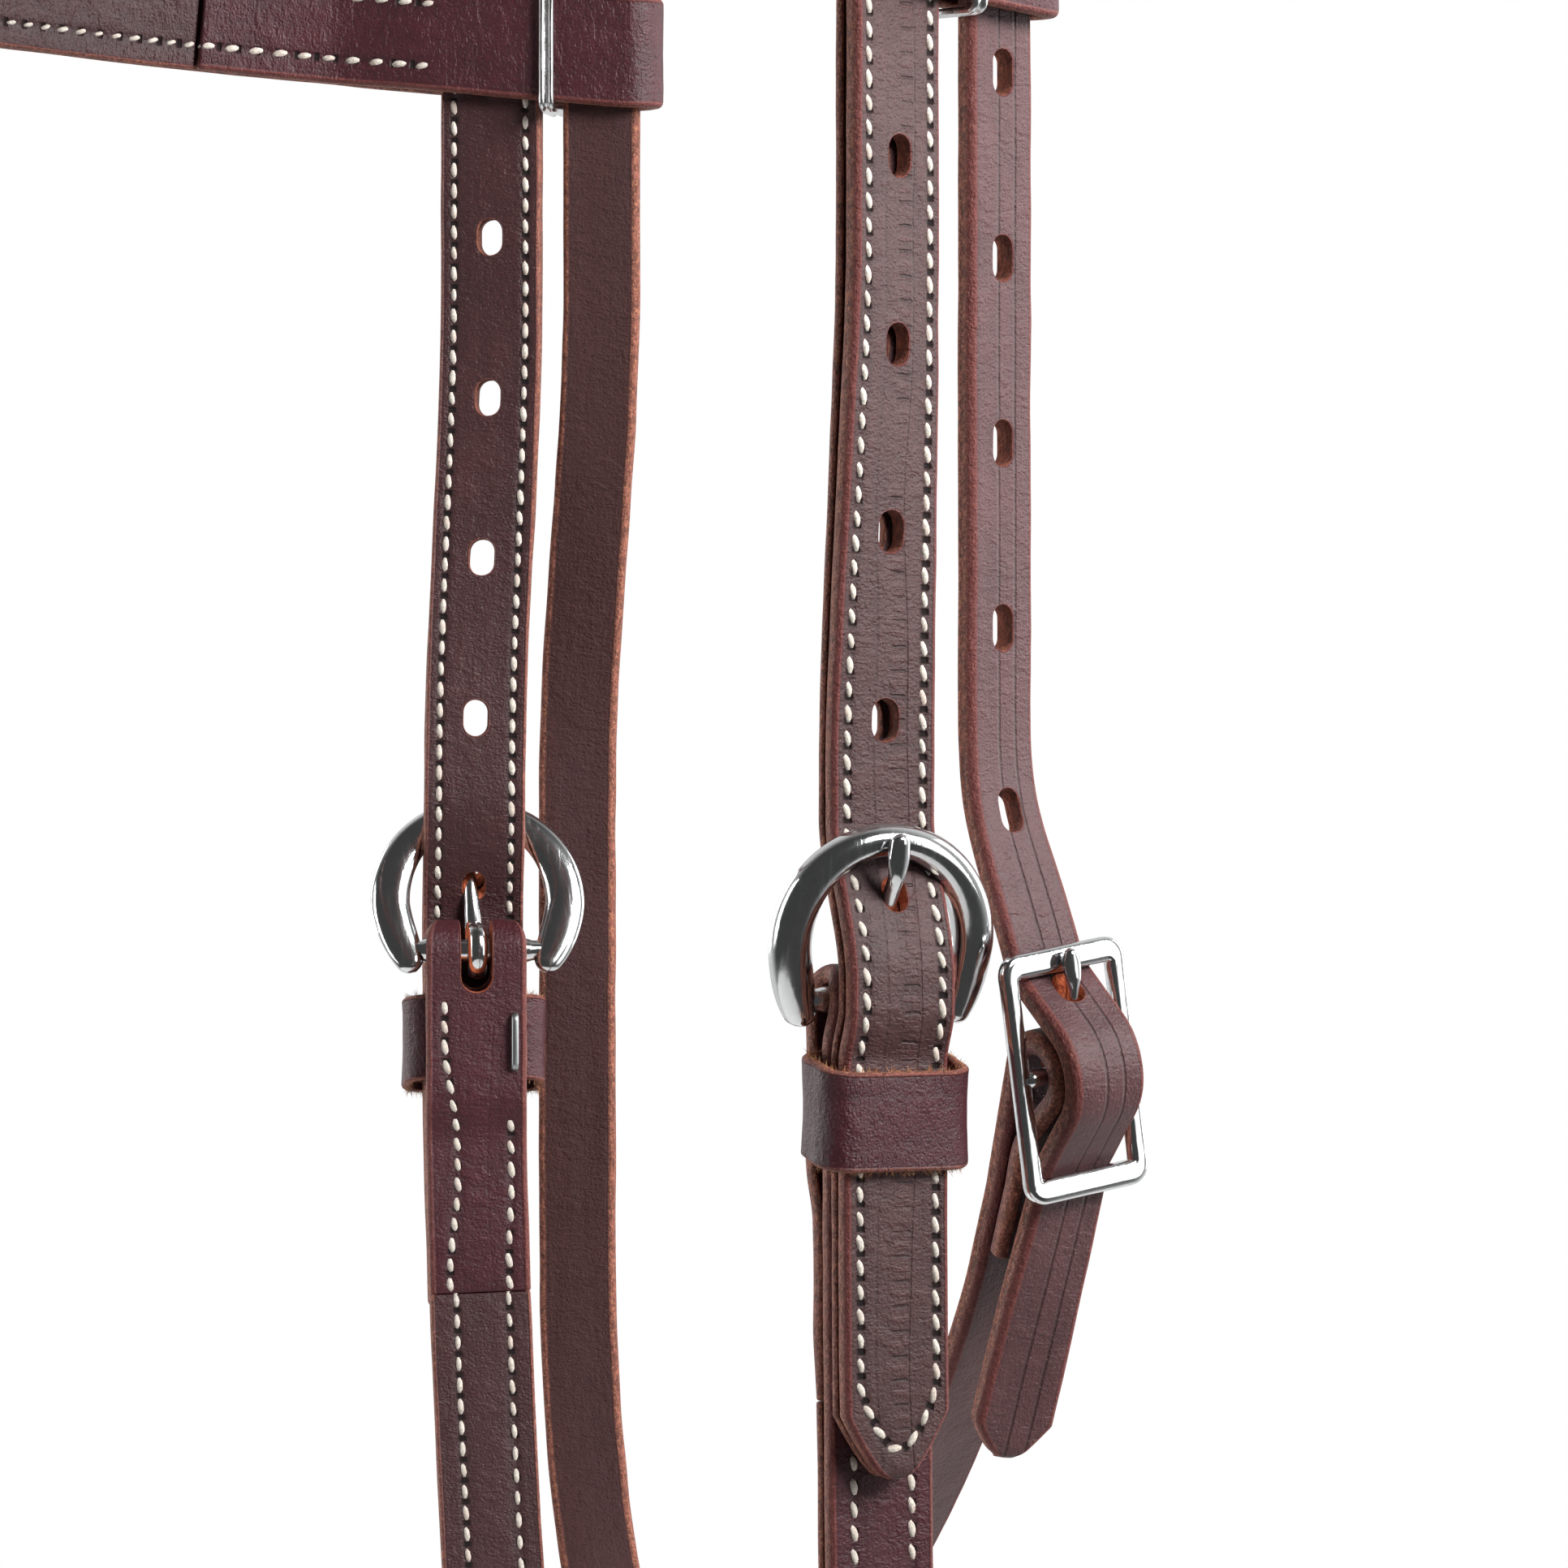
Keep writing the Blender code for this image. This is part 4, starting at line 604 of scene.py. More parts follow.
def main_outward(up):
    return -SLACK - loop_radius() / math.cos(main_angle()) + up * math.tan(main_angle())


def sway(up):
    return -math.tan(MAIN_SWAY) * max(-up - THROAT_FRAME_HEIGHT / 2, 0)


def belt_run():
    """The billet's weave through the buckle, (outward, up), from above it to below."""
    reach = THROAT_FRAME_HEIGHT / 2
    middle = loop_radius() + THROAT + GAP
    lean = loop_lean(BILLET_CIRCLE + middle)
    size = BILLET_CIRCLE
    run = [(-size * math.cos(a), reach - size * math.sin(a)) for a in np.linspace(TOP_LEAN, lean, 24)]
    run += [(middle * math.cos(a) - SLACK, middle * math.sin(a)) for a in np.linspace(lean, -lean, 50)]
    run += [(-size * math.cos(a), size * math.sin(a) - reach) for a in np.linspace(lean, FREE_ANGLE, 18)]
    return run


def fold_run():
    """The lower strap from below, up behind the centre bar, over it, and down to the tail's end."""
    reach = THROAT_FRAME_HEIGHT / 2
    middle = loop_radius()
    inward = main_angle()
    top = middle * math.sin(inward)
    run = []
    for up in np.linspace(-THROAT_TAIL_DROP - STEP, top, 40):
        run.append((sway(up), main_outward(up), up))
    outer = TAIL_CIRCLE + SLACK
    lean = loop_lean(outer + middle)
    for a in np.linspace(math.pi - inward, -lean, 60)[1:]:
        run.append((0, middle * math.cos(a) - SLACK, middle * math.sin(a)))
    for a in np.linspace(lean, inward, 12):
        up = outer * math.sin(a) - reach
        run.append((sway(up), -outer * math.cos(a), up))
    start = run[-1]
    fall = THROAT_TAIL_DROP + start[2]
    for part in np.linspace(0, 1, 12)[1:]:
        up = start[2] - fall * part
        run.append((sway(up), start[1] - fall * part * math.tan(inward), up))
    return run


def throat_route():
    """From the near free tip, through the buckle, up, over the poll, down and back to the fold."""
    across, normal, up = throat_axes()
    belt = [throat_point(0, n, z) for n, z in belt_run()]
    bottom = belt[-1]
    down = -up * math.cos(FREE_ANGLE) - normal * math.sin(FREE_ANGLE) - across * math.sin(FREE_SWAY)
    down.normalize()
    route = []
    marks = {}
    for part in np.linspace(1, 0, 60, endpoint=False):
        turn = FREE_TWIST * ease(part, 0, 0.7)
        route.append((bottom + down * FREE_END * part, across * math.cos(turn) + normal * math.sin(turn)))
    route += [(place, across) for place in belt[::-1]]
    marks["leg"] = len(route)
    near = throat_leg(NEAR)
    leg_across = side_frame(NEAR, LOOP_YAW)[1]
    end = Vector((near.x, near.y, THROAT_LEG_LOW))
    rise = (end.z - belt[0].z) / 2
    leaving = up * math.cos(TOP_LEAN) - normal * math.sin(TOP_LEAN)
    for t in np.linspace(0, 1, 60)[1:]:
        place = bezier((belt[0], belt[0] + leaving * rise, end - UP * rise, end), t)
        route.append((place, across.lerp(leg_across, ease(t, 0, 1)).normalized()))
    for height in np.linspace(THROAT_LEG_LOW, leg_top(), 160, endpoint=False)[1:]:
        route.append((Vector((near.x, near.y, height)), leg_across))
    poll_step = (THROAT_STEP[NEAR] + THROAT_STEP[FAR]) / 2
    for side in (NEAR, FAR):
        arch = []
        for a in np.linspace(math.pi / 2, 0, 200):
            centre, over, face = arch_station(side, a)
            step = poll_step + (THROAT_STEP[side] - poll_step) * ease(a, 0, math.pi / 2)
            arch.append((centre + over * step + face * ((THROAT - CROWN) / 2), over))
        route += arch if side == NEAR else arch[::-1]
    far = throat_leg(FAR)
    for height in np.linspace(leg_top(), FAR_LEG_LOW, 300)[1:]:
        turn = ease(height, YAW_HIGH, YAW_LOW)
        over = side_frame(FAR, LOOP_YAW + (FAR_LEG_YAW - LOOP_YAW) * turn)[1]
        route.append((Vector((far.x, far.y + FAR_LEG_OUTSET * turn, height)), over))
    last, over = route[-1]
    lower = [throat_point(*place) for place in fold_run()]
    along = (lower[0] - lower[1]).normalized()
    knots = (last, last - UP * FAR_HANG, lower[0] + along * NEAR_HANG, lower[0])
    for t in np.linspace(0, 1, 400, endpoint=False)[1:]:
        route.append((bezier(knots, t), over.lerp(across, ease(t, 0, 1)).normalized()))
    marks["fold"] = len(route)
    return route + [(place, across) for place in lower], marks


class Lay:
    """Where a flat strap lies: the frames along its route. face is 1 or -1, the grain side's normal."""

    def __init__(self, route, face=1, lift=0):
        keep = [route[0]]
        for station in route[1:]:
            if (station[0] - keep[-1][0]).length > STEP / 50:
                keep.append(station)
        self.centre = np.array([station[0] for station in keep])
        steps = np.linalg.norm(np.diff(self.centre, axis=0), axis=1)
        self.run = np.concatenate(([0], np.cumsum(steps)))
        self.along = self.unit(np.gradient(self.centre, self.run, axis=0))
        across = np.array([station[1] for station in keep])
        self.across = self.unit(across - self.along * (across * self.along).sum(1)[:, None])
        self.normal = np.cross(self.along, self.across) * face
        self.face = face
        self.lift = lift
        self.total = self.run[-1]

    @staticmethod
    def unit(vectors):
        return vectors / np.linalg.norm(vectors, axis=-1)[..., None]

    def blend(self, values, y):
        return np.stack([np.interp(y, self.run, values[:, axis]) for axis in range(3)], axis=1)

    def frames(self, y):
        """Centre, across, along and outward normal at distances along the strap."""
        across = self.unit(self.blend(self.across, y))
        along = self.unit(self.blend(self.along, y))
        return self.blend(self.centre, y), across, along, self.unit(self.blend(self.normal, y))

    def place(self, flat):
        """Flat places (x across, y along, z out of the grain side) in the world."""
        flat = np.asarray(flat, float)
        centre, across, along, normal = self.frames(flat[:, 1])
        over = np.maximum(flat[:, 1] - self.total, 0) + np.minimum(flat[:, 1], 0)
        return centre + across * flat[:, :1] + normal * (flat[:, 2:3] + self.lift) + along * over[:, None]

    def bend(self, y):
        """How sharply the route turns at a distance, in radians a metre."""
        ahead = self.blend(self.along, np.array([y - STEP, y + STEP]))
        return np.linalg.norm(ahead[1] - ahead[0]) / (2 * STEP)

    def at_height(self, height, low=0, high=None):
        """Distance along the strap where it passes a height, between two distances."""
        high = self.total if high is None else high
        y = np.arange(low, high, STEP / 4)
        z = self.blend(self.centre, y)[:, 2]
        return y[np.argmin(np.abs(z - height))]


# Flat blanks with punched holes


class Hole:
    """A punched oval, slot or round hole. Its middle may differ between the grain side and the back."""

    def __init__(self, y, width, height, shift=0, x=0, field=HOLE_FIELD, taper=0, skew=0, fresh=0):
        self.y, self.x = y, x
        self.taper = taper
        self.skew = skew
        self.fresh = fresh
        self.half = width / 2
        self.straight = max(height - width, 0) / 2
        self.shift = shift
        self.field = field
        self.reach = self.straight + self.half + abs(shift) + HOLE_MARGIN

    def border(self, ring, outset, top):
        """The border of the hole, set out by a distance, point by point as the ring's places lie round it."""
        middle = np.array([self.x + (0 if top else self.skew), self.y + (self.shift if top else -self.shift)])
        off = ring - middle
        cap = np.clip(off[:, 1], -self.straight, self.straight)
        spoke = off - np.stack([np.zeros(len(cap)), cap], axis=1)
        inside = np.abs(off[:, 1]) < self.straight
        spoke[inside, 1] = 0
        spoke /= np.linalg.norm(spoke, axis=1)[:, None]
        half = self.half + outset - (0 if top else self.taper)
        return middle + np.stack([np.zeros(len(cap)), cap], axis=1) + spoke * half


def tip_share(distance, reach):
    return TIP_BLUNT + (1 - TIP_BLUNT) * np.clip(distance / reach, 0, 1) ** 0.72


class Blank:
    """A flat strap of leather with rounded edges, punched holes and stitch rows, laid along a route."""

    def __init__(
        self, name, lay, width, thickness, holes=(), tips=(0, 0), seams=(), ripple=1.0, edge=1.0, pinch=None,
        skive=None,
    ):
        self.name, self.lay = name, lay
        self.width, self.thickness = width, thickness
        self.holes, self.tips, self.seams = list(holes), tips, list(seams)
        self.ripple = ripple
        sizes = settings().strap
        self.edge = min(sizes.edge * edge, thickness * 0.42)
        self.end = END_ROUND
        self.pinch = pinch
        self.skive = skive
        self.rim = sizes.rim
        self.groove = sizes.groove
        self.row = sizes.row
        self.points, self.faces = [], []
        self.edge_share = []

    def columns(self):
        half = self.width / 2 - self.edge
        wanted = [x for x in INNER_COLUMNS if x < half - HOLE_MARGIN]
        count = math.ceil((half - wanted[-1]) / COLUMN_STEP)
        wanted += list(np.linspace(wanted[-1], half, count + 1)[1:-1])
        wanted = sorted(wanted) + [half]
        return np.array([-x for x in wanted[:0:-1]] + wanted)

    def rows(self):
        total = self.lay.total
        stops = {0.0, total}
        for hole in self.holes:
            stops |= {hole.y - hole.reach, hole.y + hole.reach}
        for end, tip in zip((0, total), self.tips):
            inward = 1 if end == 0 else -1
            reach = self.edge if tip else self.end
            stops |= {end + inward * reach * part for part in (0.134, 0.5, 1)}
            if tip:
                stops |= {end + inward * tip * part for part in (0.18, 0.3, 0.45, 0.6, 0.8, 0.94, 1, 1.06)}
        stops = sorted(stops)
        rows = [stops[0]]
        for start, stop in zip(stops, stops[1:]):
            y = start
            while y < stop:
                turn = self.lay.bend(y)
                y += min(self.row, max(self.row / 3, 0.16 / max(turn, 1)))
                if y < stop - self.row / 4:
                    rows.append(y)
            rows.append(stop)
        return np.array(rows)

    def section(self, columns):
        """One row's loop, grain side, right edge, back, left edge: (column, set beyond it, height, edge)."""
        top = self.thickness / 2
        low = self.edge * 0.85
        half = columns[-1]
        right = []
        for a in (22.5, 45, 67.5, 90):
            s, c = math.sin(math.radians(a)), math.cos(math.radians(a))
            right.append((self.edge * s, top - self.edge * (1 - c)))
        right.append((self.edge * 1.05, 0))
        for a in (90, 60, 30):
            s, c = math.sin(math.radians(a)), math.cos(math.radians(a))
            right.append((self.edge * s, -top + low * (1 - c)))
        loop = [(x, 0, top, 0) for x in columns]
        loop += [(half, out, z, 1) for out, z in right]
        loop += [(x, 0, -top, 0) for x in columns[::-1]]
        loop += [(-half, -out, z, 1) for out, z in right[::-1]]
        return np.array(loop)

    def build(self):
        columns = self.columns()
        rows = self.rows()
        loop = self.section(columns)
        count, around = len(rows), len(loop)
        total = self.lay.total
        share_of = np.ones(count)
        inset = np.zeros(count)
        for end, tip in zip((0, total), self.tips):
            away = np.abs(rows - end)
            if tip:
                share_of = np.minimum(share_of, tip_share(away, tip))
            round_ = self.edge if tip else self.end
            part = np.clip(away / round_, 0, 1)
            inset = np.maximum(inset, round_ * (1 - np.sqrt(1 - (1 - part) ** 2)))
        half = columns[-1]
        reach = share_of * self.width / 2 - self.edge - inset
        if self.pinch:
            place, depth, spread = self.pinch
            reach = reach - depth * np.exp(-(((rows - place) / spread) ** 2))
        reach = np.maximum(reach, LEAST_HALF_WIDTH)
        x = loop[None, :, 0] / half * reach[:, None] + loop[None, :, 1]
        squash = 1 - inset / (self.thickness / 2)
        z = loop[None, :, 2] * squash[:, None]
        y = np.broadcast_to(rows[:, None], x.shape)
        grid = np.stack([x, y, z], axis=2).reshape(-1, 3)
        self.points = [grid]
        self.edge_share = [np.broadcast_to(loop[None, :, 3], x.shape).reshape(-1)]
        ids = np.arange(count * around).reshape(count, around)
        wide = len(columns)
        skip = np.zeros((count - 1, around), bool)
        back = wide + (around - 2 * wide) // 2
        patches = []
        for hole in self.holes:
            i0, i1 = (int(np.argmin(np.abs(rows - hole.y - step))) for step in (-hole.reach, hole.reach))
            k0, k1 = (int(np.argmin(np.abs(columns - hole.x - step))) for step in (-hole.field, hole.field))
            skip[i0:i1, k0:k1] = True
            skip[i0:i1, back + wide - 1 - k1 : back + wide - 1 - k0] = True
            bounds = [(i0, k) for k in range(k0, k1)] + [(i, k1) for i in range(i0, i1)]
            bounds += [(i1, k) for k in range(k1, k0, -1)] + [(i, k0) for i in range(i1, i0, -1)]
            top = [ids[i, k] for i, k in bounds]
            low = [ids[i, back + wide - 1 - k] for i, k in bounds]
            patches.append((hole, top, low))
        k = np.arange(around)
        nxt = (k + 1) % around
        quads = np.stack([ids[:-1][:, k], ids[:-1][:, nxt], ids[1:][:, nxt], ids[1:][:, k]], axis=2)
        self.faces = [quads[~skip].tolist(), [ids[0, ::-1].tolist()], [ids[-1].tolist()]]
        self.total_points = len(grid)
        for hole, top, low in patches:
            self.punch(hole, grid, top, low)
        flat = np.concatenate(self.points)
        edges = np.concatenate(self.edge_share)
        return self.finish(flat, edges)

    def punch(self, hole, grid, top, low):
        """Walls and rims of one hole, from the grain side's opening to the back's."""
        ring = grid[top][:, :2]
        height = self.thickness / 2
        rim = self.rim
        levels = []
        for upper in (True, False):
            sign = 1 if upper else -1
            side = []
            for outset, drop, cut in (
                (rim + RIM_FIELD, 0, 0), (rim, 0, 0.15), (rim * 0.3, rim * 0.3, RUBBED), (0, rim, RAW)
            ):
                flat = hole.border(ring, outset, upper)
                side.append((flat, sign * (height - drop), cut + (hole.fresh if cut == RAW else 0)))
            levels += side if upper else side[::-1]
        previous = top
        for flat, z, cut in levels:
            start = self.total_points
            here = list(range(start, start + len(top)))
            self.points.append(np.column_stack([flat, np.full(len(flat), z)]))
            self.edge_share.append(np.full(len(flat), cut))
            self.total_points += len(flat)
            self.join(previous, here)
            previous = here
        self.join(previous, low)

    def join(self, first, second):
        count = len(first)
        self.faces.append(
            [[first[i], first[(i + 1) % count], second[(i + 1) % count], second[i]] for i in range(count)]
        )

    def seam_field(self, flat):
        """Distance from the nearest stitch row, and the run along it."""
        field = np.zeros((len(flat), 3))
        field[:, 0] = 1
        if not self.seams:
            return field
        dots = []
        for seam in self.seams:
            dots += [(point, run) for point, run in seam.dots()]
        tree = kdtree.KDTree(len(dots))
        for index, (point, run) in enumerate(dots):
            tree.insert((*point, 0), index)
        tree.balance()
        for index, (x, y, z) in enumerate(flat):
            if z > 0 and (abs(x) > SEAM_FREE or self.near_tip(y)):
                found = tree.find((x, y, 0))
                field[index] = (found[2], dots[found[1]][1], 1)
        return field

    def thinned(self, y):
        """How much of the grain side is pared away towards the first end."""
        if not self.skive:
            return 0 * y
        depth, reach = self.skive
        return depth * np.clip(1 - y / reach, 0, 1) ** 1.3

    def near_tip(self, y):
        first, last = self.tips
        return first and y < TIP_SEAM or last and y > self.lay.total - TIP_SEAM

    def finish(self, flat, edges):
        seam = self.seam_field(flat)
        moved = flat.copy()
        grain = flat[:, 2] > self.thickness * 0.3
        moved[:, 2] -= np.where(grain, self.groove * np.exp(-((seam[:, 0] / GROOVE_HALF) ** 2)), 0)
        amount = settings().strap.ripple * self.ripple
        seed = sum(map(ord, self.name)) * 0.37
        for index, (x, y, z) in enumerate(flat):
            wave = noise.noise((x * 180 + seed, y * 90, seed))
            wave += 0.5 * noise.noise((x * 500, y * 260, seed + 5))
            moved[index, 2] += amount * wave * (0.7 if z > 0 else 0.3)
            drift = noise.noise((seed, y * 120, 0.5 if x > 0 else 9.5))
            moved[index, 0] += amount * 0.8 * drift * abs(x) / self.width * 2
        moved[:, 2] -= self.thinned(flat[:, 1]) * (flat[:, 2] / self.thickness + 0.5)
        mesh = bpy.data.meshes.new(self.name)
        mesh.from_pydata(self.lay.place(moved).tolist(), [], [face for group in self.faces for face in group])
        add_field(mesh, "flat", flat)
        add_field(mesh, "seam", seam)
        add_field(mesh, "edge", edges)
        add_field(mesh, "back", (flat[:, 2] < 0).astype(float))
        outward(mesh)
        mesh.polygons.foreach_set("use_smooth", [True] * len(mesh.polygons))
        return mesh


def add_field(mesh, name, values):
    """Stores a number or a vector on every vertex, for the materials and the node trees."""
    values = np.asarray(values, np.float32)
    kind = "FLOAT" if values.ndim == 1 else "FLOAT_VECTOR"
    field = mesh.attributes.new(name, kind, "POINT")
    field.data.foreach_set("value" if kind == "FLOAT" else "vector", values.ravel())


def outward(mesh):
    shape = bmesh.new()
    shape.from_mesh(mesh)
    bmesh.ops.recalc_face_normals(shape, faces=shape.faces)
    shape.to_mesh(mesh)
    shape.free()
    mesh.update()


def show(name, mesh, *looks):
    """Links a finished mesh into the scene as a piece at the origin."""
    piece = bpy.data.objects.new(name, mesh)
    bpy.context.scene.collection.objects.link(piece)
    for look in looks:
        mesh.materials.append(look)
    return piece


class Seam:
    """A row of stitches, as flat places along the strap."""

    def __init__(self, places, closed=False):
        self.closed = closed
        places = np.array(places, float)
        if closed:
            places = np.vstack([places, places[:1]])
        steps = np.linalg.norm(np.diff(places, axis=0), axis=1)
        run = np.concatenate(([0], np.cumsum(steps)))
        fine = np.linspace(0, run[-1], max(int(run[-1] / (STEP / 2)), 2))
        self.run = fine
        self.flat = np.stack([np.interp(fine, run, places[:, axis]) for axis in (0, 1)], axis=1)
        self.total = run[-1]
        pitch = settings().stitch.pitch
        self.pitch = self.total / max(round(self.total / pitch), 1)

    def dots(self):
        return [(point, run / self.pitch) for point, run in zip(self.flat, self.run)]


def tip_curve(half, end, inward):
    """The stitch row round a pointed tip, from the negative side to the positive."""
    first, last = TIP_ROW
    places = []
    for a in np.linspace(0, math.pi, 25):
        c, s = math.cos(a), math.sin(a)
        x = -half * math.copysign(abs(c) ** 1.15, c)
        places.append((x, end + inward * (last - (last - first) * s**1.8)))
    return places


# Node trees: one wrapper for shader and geometry nodes


class Line:
    """An output of a node, on which Python's operators add Math nodes."""

    def __init__(self, sheet, socket):
        self.sheet = sheet
        self.socket = socket

    def other(self, name):
        return Line(self.sheet, self.socket.node.outputs[name])

    def maths(self, operation, *values, first=None):
        terms = (self, *values) if first is None else (first, self)
        return self.sheet.node("ShaderNodeMath", {"operation": operation}, terms)

    def __add__(self, value):
        return self.maths("ADD", value)

    def __sub__(self, value):
        return self.maths("SUBTRACT", value)

    def __rsub__(self, value):
        return self.maths("SUBTRACT", first=value)

    def __mul__(self, value):
        return self.maths("MULTIPLY", value)

    __radd__ = __add__
    __rmul__ = __mul__

    def above(self, edge, soft):
        """0 below an edge and 1 above it, smoothly over a width."""
        return self.sheet.node(
            "ShaderNodeMapRange",
            {"interpolation_type": "SMOOTHSTEP"},
            {"Value": self, "From Min": edge - soft, "From Max": edge + soft},
        )

    def below(self, edge, soft):
        return 1 - self.above(edge, soft)


class Sheet:
    """A node tree that is being filled."""

    def __init__(self, tree):
        self.tree = tree

    def node(self, kind, choices=(), values=(), output=0):
        made = self.tree.nodes.new(kind)
        for key, value in dict(choices).items():
            setattr(made, key, value)
        pairs = values.items() if isinstance(values, dict) else enumerate(values)
        for key, value in pairs:
            socket = made.inputs[key]
            if isinstance(value, Line):
                self.tree.links.new(value.socket, socket)
            else:
                socket.default_value = value
        return Line(self, made.outputs[output])

    def vector(self, x, y, z):
        return self.node("ShaderNodeCombineXYZ", {}, (x, y, z))

    def parts(self, vector):
        made = self.node("ShaderNodeSeparateXYZ", {}, (vector,))
        return made, made.other("Y"), made.other("Z")

    def noise(self, place, scale, detail=2.0, roughness=0.5, stretch=None):
        if stretch:
            place = self.node("ShaderNodeVectorMath", {"operation": "MULTIPLY"}, (place, stretch))
        values = {"Vector": place, "Scale": scale, "Detail": detail, "Roughness": roughness}
        return self.node("ShaderNodeTexNoise", {}, values)

    def spot(self):
        """The place in the piece's own space."""
        return self.node("ShaderNodeTexCoord", {}, (), "Object")

    def mix(self, factor, first, second, blend="MIX"):
        """Colours mixed by a factor."""
        return self.node(
            "ShaderNodeMix",
            {"data_type": "RGBA", "blend_type": blend},
            {0: factor, 6: as_colour(first), 7: as_colour(second)},
            2,
        )


def as_colour(value):
    return value if isinstance(value, Line) else (*tuple(value)[:3], 1)


def shade(value, factor):
    """A colour made darker or lighter by a plain factor."""
    return tuple(min(part * factor, 1) for part in tuple(value)[:3])


class Look(Sheet):
    """A material with one Principled shader."""

    def __init__(self, name, **plain):
        self.material = bpy.data.materials.new(name)
        self.material.use_nodes = True
        super().__init__(self.material.node_tree)
        self.shader = self.tree.nodes["Principled BSDF"]
        for key, value in plain.items():
            self.shader.inputs[key.replace("_", " ")].default_value = value

    def feed(self, name, value):
        self.tree.links.new(value.socket, self.shader.inputs[name])

    def field(self, name, output="Vector"):
        return self.node("ShaderNodeAttribute", {"attribute_name": name}, (), output)

    def bump(self, height):
        """Height in metres."""
        values = {"Strength": 1.0, "Distance": 1.0, "Height": height}
        self.feed("Normal", self.node("ShaderNodeBump", {}, values))


def leather_look(name, face, back=None, creases=(), ladder=0.0, worn=0.35, sheen=0.47, coarse=1.0):
    """Leather with grain, long stretch marks, worn borders and fibrous cut edges. Painted shade darkens the
    stretch-mark lines, the creases, the stitch channels and the stitch holes; painted highlight lightens the
    stretch-mark ridges and the wrinkle crests.

    Noise scales are per metre, heights and distances on the strap are in metres, the rest are shares.
    """
    colours = settings().leather
    look = Look(name, Specular_IOR_Level=0.42)
    flat = look.field("flat")
    across, along, out = look.parts(flat)
    edge = look.field("edge", "Fac")
    behind = look.field("back", "Fac")
    seam, run, sewn = look.parts(look.field("seam"))
    spot = look.spot()

    mottle = look.noise(flat, 110, 4, 0.6)
    streak = look.noise(flat, 420, 3, 0.6, stretch=(1.0, 0.09, 1.0))
    grain = look.node("ShaderNodeTexVoronoi", {}, {"Vector": flat, "Scale": 1700 * coarse}, "Distance")
    pores = look.noise(flat, 2700 * coarse, 3, 0.7)
    tone = (mottle.above(0.5, 0.28) * 0.6 + streak.above(0.5, 0.22) * 0.4).maths("MINIMUM", 1.0)
    skin = look.mix(tone, shade(face, 0.68), shade(face, 1.30))
    skin = look.mix(pores.above(0.58, 0.10) * 0.55, skin, shade(face, 2.1))
    skin = look.mix(pores.below(0.42, 0.08) * 0.45, skin, shade(face, 0.45))
    height = pores * 0.00012 + grain.maths("MINIMUM", 0.5) * 0.00012 + streak * 0.00014 + mottle * 0.00022

    if ladder:
        steps = look.node(
            "ShaderNodeTexWave",
            {"wave_type": "BANDS", "bands_direction": "Y", "wave_profile": "SIN"},
            {"Vector": flat, "Scale": 94.0, "Distortion": 0.9, "Detail": 2.0, "Detail Scale": 3.0},
            "Fac",
        )
        wander = across - 0.0012 - (look.noise(flat, 16, 1) - 0.5) * 0.009
        patchy = look.noise(flat, 60, 1).above(0.42, 0.10)
        line = steps.below(0.035, 0.035) * wander.maths("ABSOLUTE").below(0.0012, 0.0003) * patchy
        rail = (wander - 0.0013).maths("ABSOLUTE").below(0.00016, 0.00012) * 0.55
        far_rail = (wander + 0.0036).maths("ABSOLUTE").below(0.00025, 0.0002) * 0.35
        line = line.maths("MAXIMUM", rail).maths("MAXIMUM", far_rail) * ladder
        ridge_highlight = steps.above(0.90, 0.06) * wander.maths("ABSOLUTE").below(0.0012, 0.0003) * patchy * ladder
        # Painted shade: the crease lines and rails of the stretch marks are darkened.
        skin = look.mix(line * 0.75, skin, shade(face, 0.28))
        # Painted highlight: the ridges between the stretch marks are lightened.
        skin = look.mix(ridge_highlight * 0.25, skin, shade(face, 2.2))
        height = height - line * 0.00016 + ridge_highlight * 0.00006
    wrinkle = look.noise(flat, 330, 4, 0.6, stretch=(0.55, 1.0, 1.0))
    fine = look.noise(flat, 1100, 2, 0.6, stretch=(0.5, 1.0, 1.0))
    folds = wrinkle.above(0.56, 0.05) + fine.above(0.55, 0.05) * 0.6
    height = height + folds * 0.00007
    # Painted highlight: the raised wrinkle crests are lightened.
    skin = look.mix(folds * 0.16, skin, shade(face, 1.7))

    for place, wide in creases:
        groove = (across - place).maths("ABSOLUTE").below(wide, wide * 0.8)
        groove = groove * (1 - behind) * along.below(0.30, 0.05)
        broken = look.noise(flat, 60, 2).above(0.36, 0.10)
        # Painted shade: the crease grooves are darkened.
        skin = look.mix(groove * broken * 0.65, skin, shade(face, 0.35))
        height = height - groove * 0.00018

    # Painted shade: a darker band along each stitch row, in its channel.
    near = seam.below(0.0008, 0.0007) * sewn
    phase = (run + 0.5).maths("FRACT")
    gap = (phase - 0.5).maths("ABSOLUTE").below(0.38, 0.06)
    shaded_prick = seam.below(0.00060, 0.00022) * (1 - gap) * sewn
    skin = look.mix(near * 0.35, skin, shade(face, 0.45))
    # Painted shadow: the stitch holes between the stitches are made nearly black.
    skin = look.mix(shaded_prick * 0.92, skin, (0.006, 0.003, 0.003))
    height = height - shaded_prick * 0.0003
    rubbed = mottle.above(0.42, 0.2) * worn * seam.above(0.0018, 0.0012)
    skin = look.mix(rubbed * 0.5, skin, shade(face, 1.45))

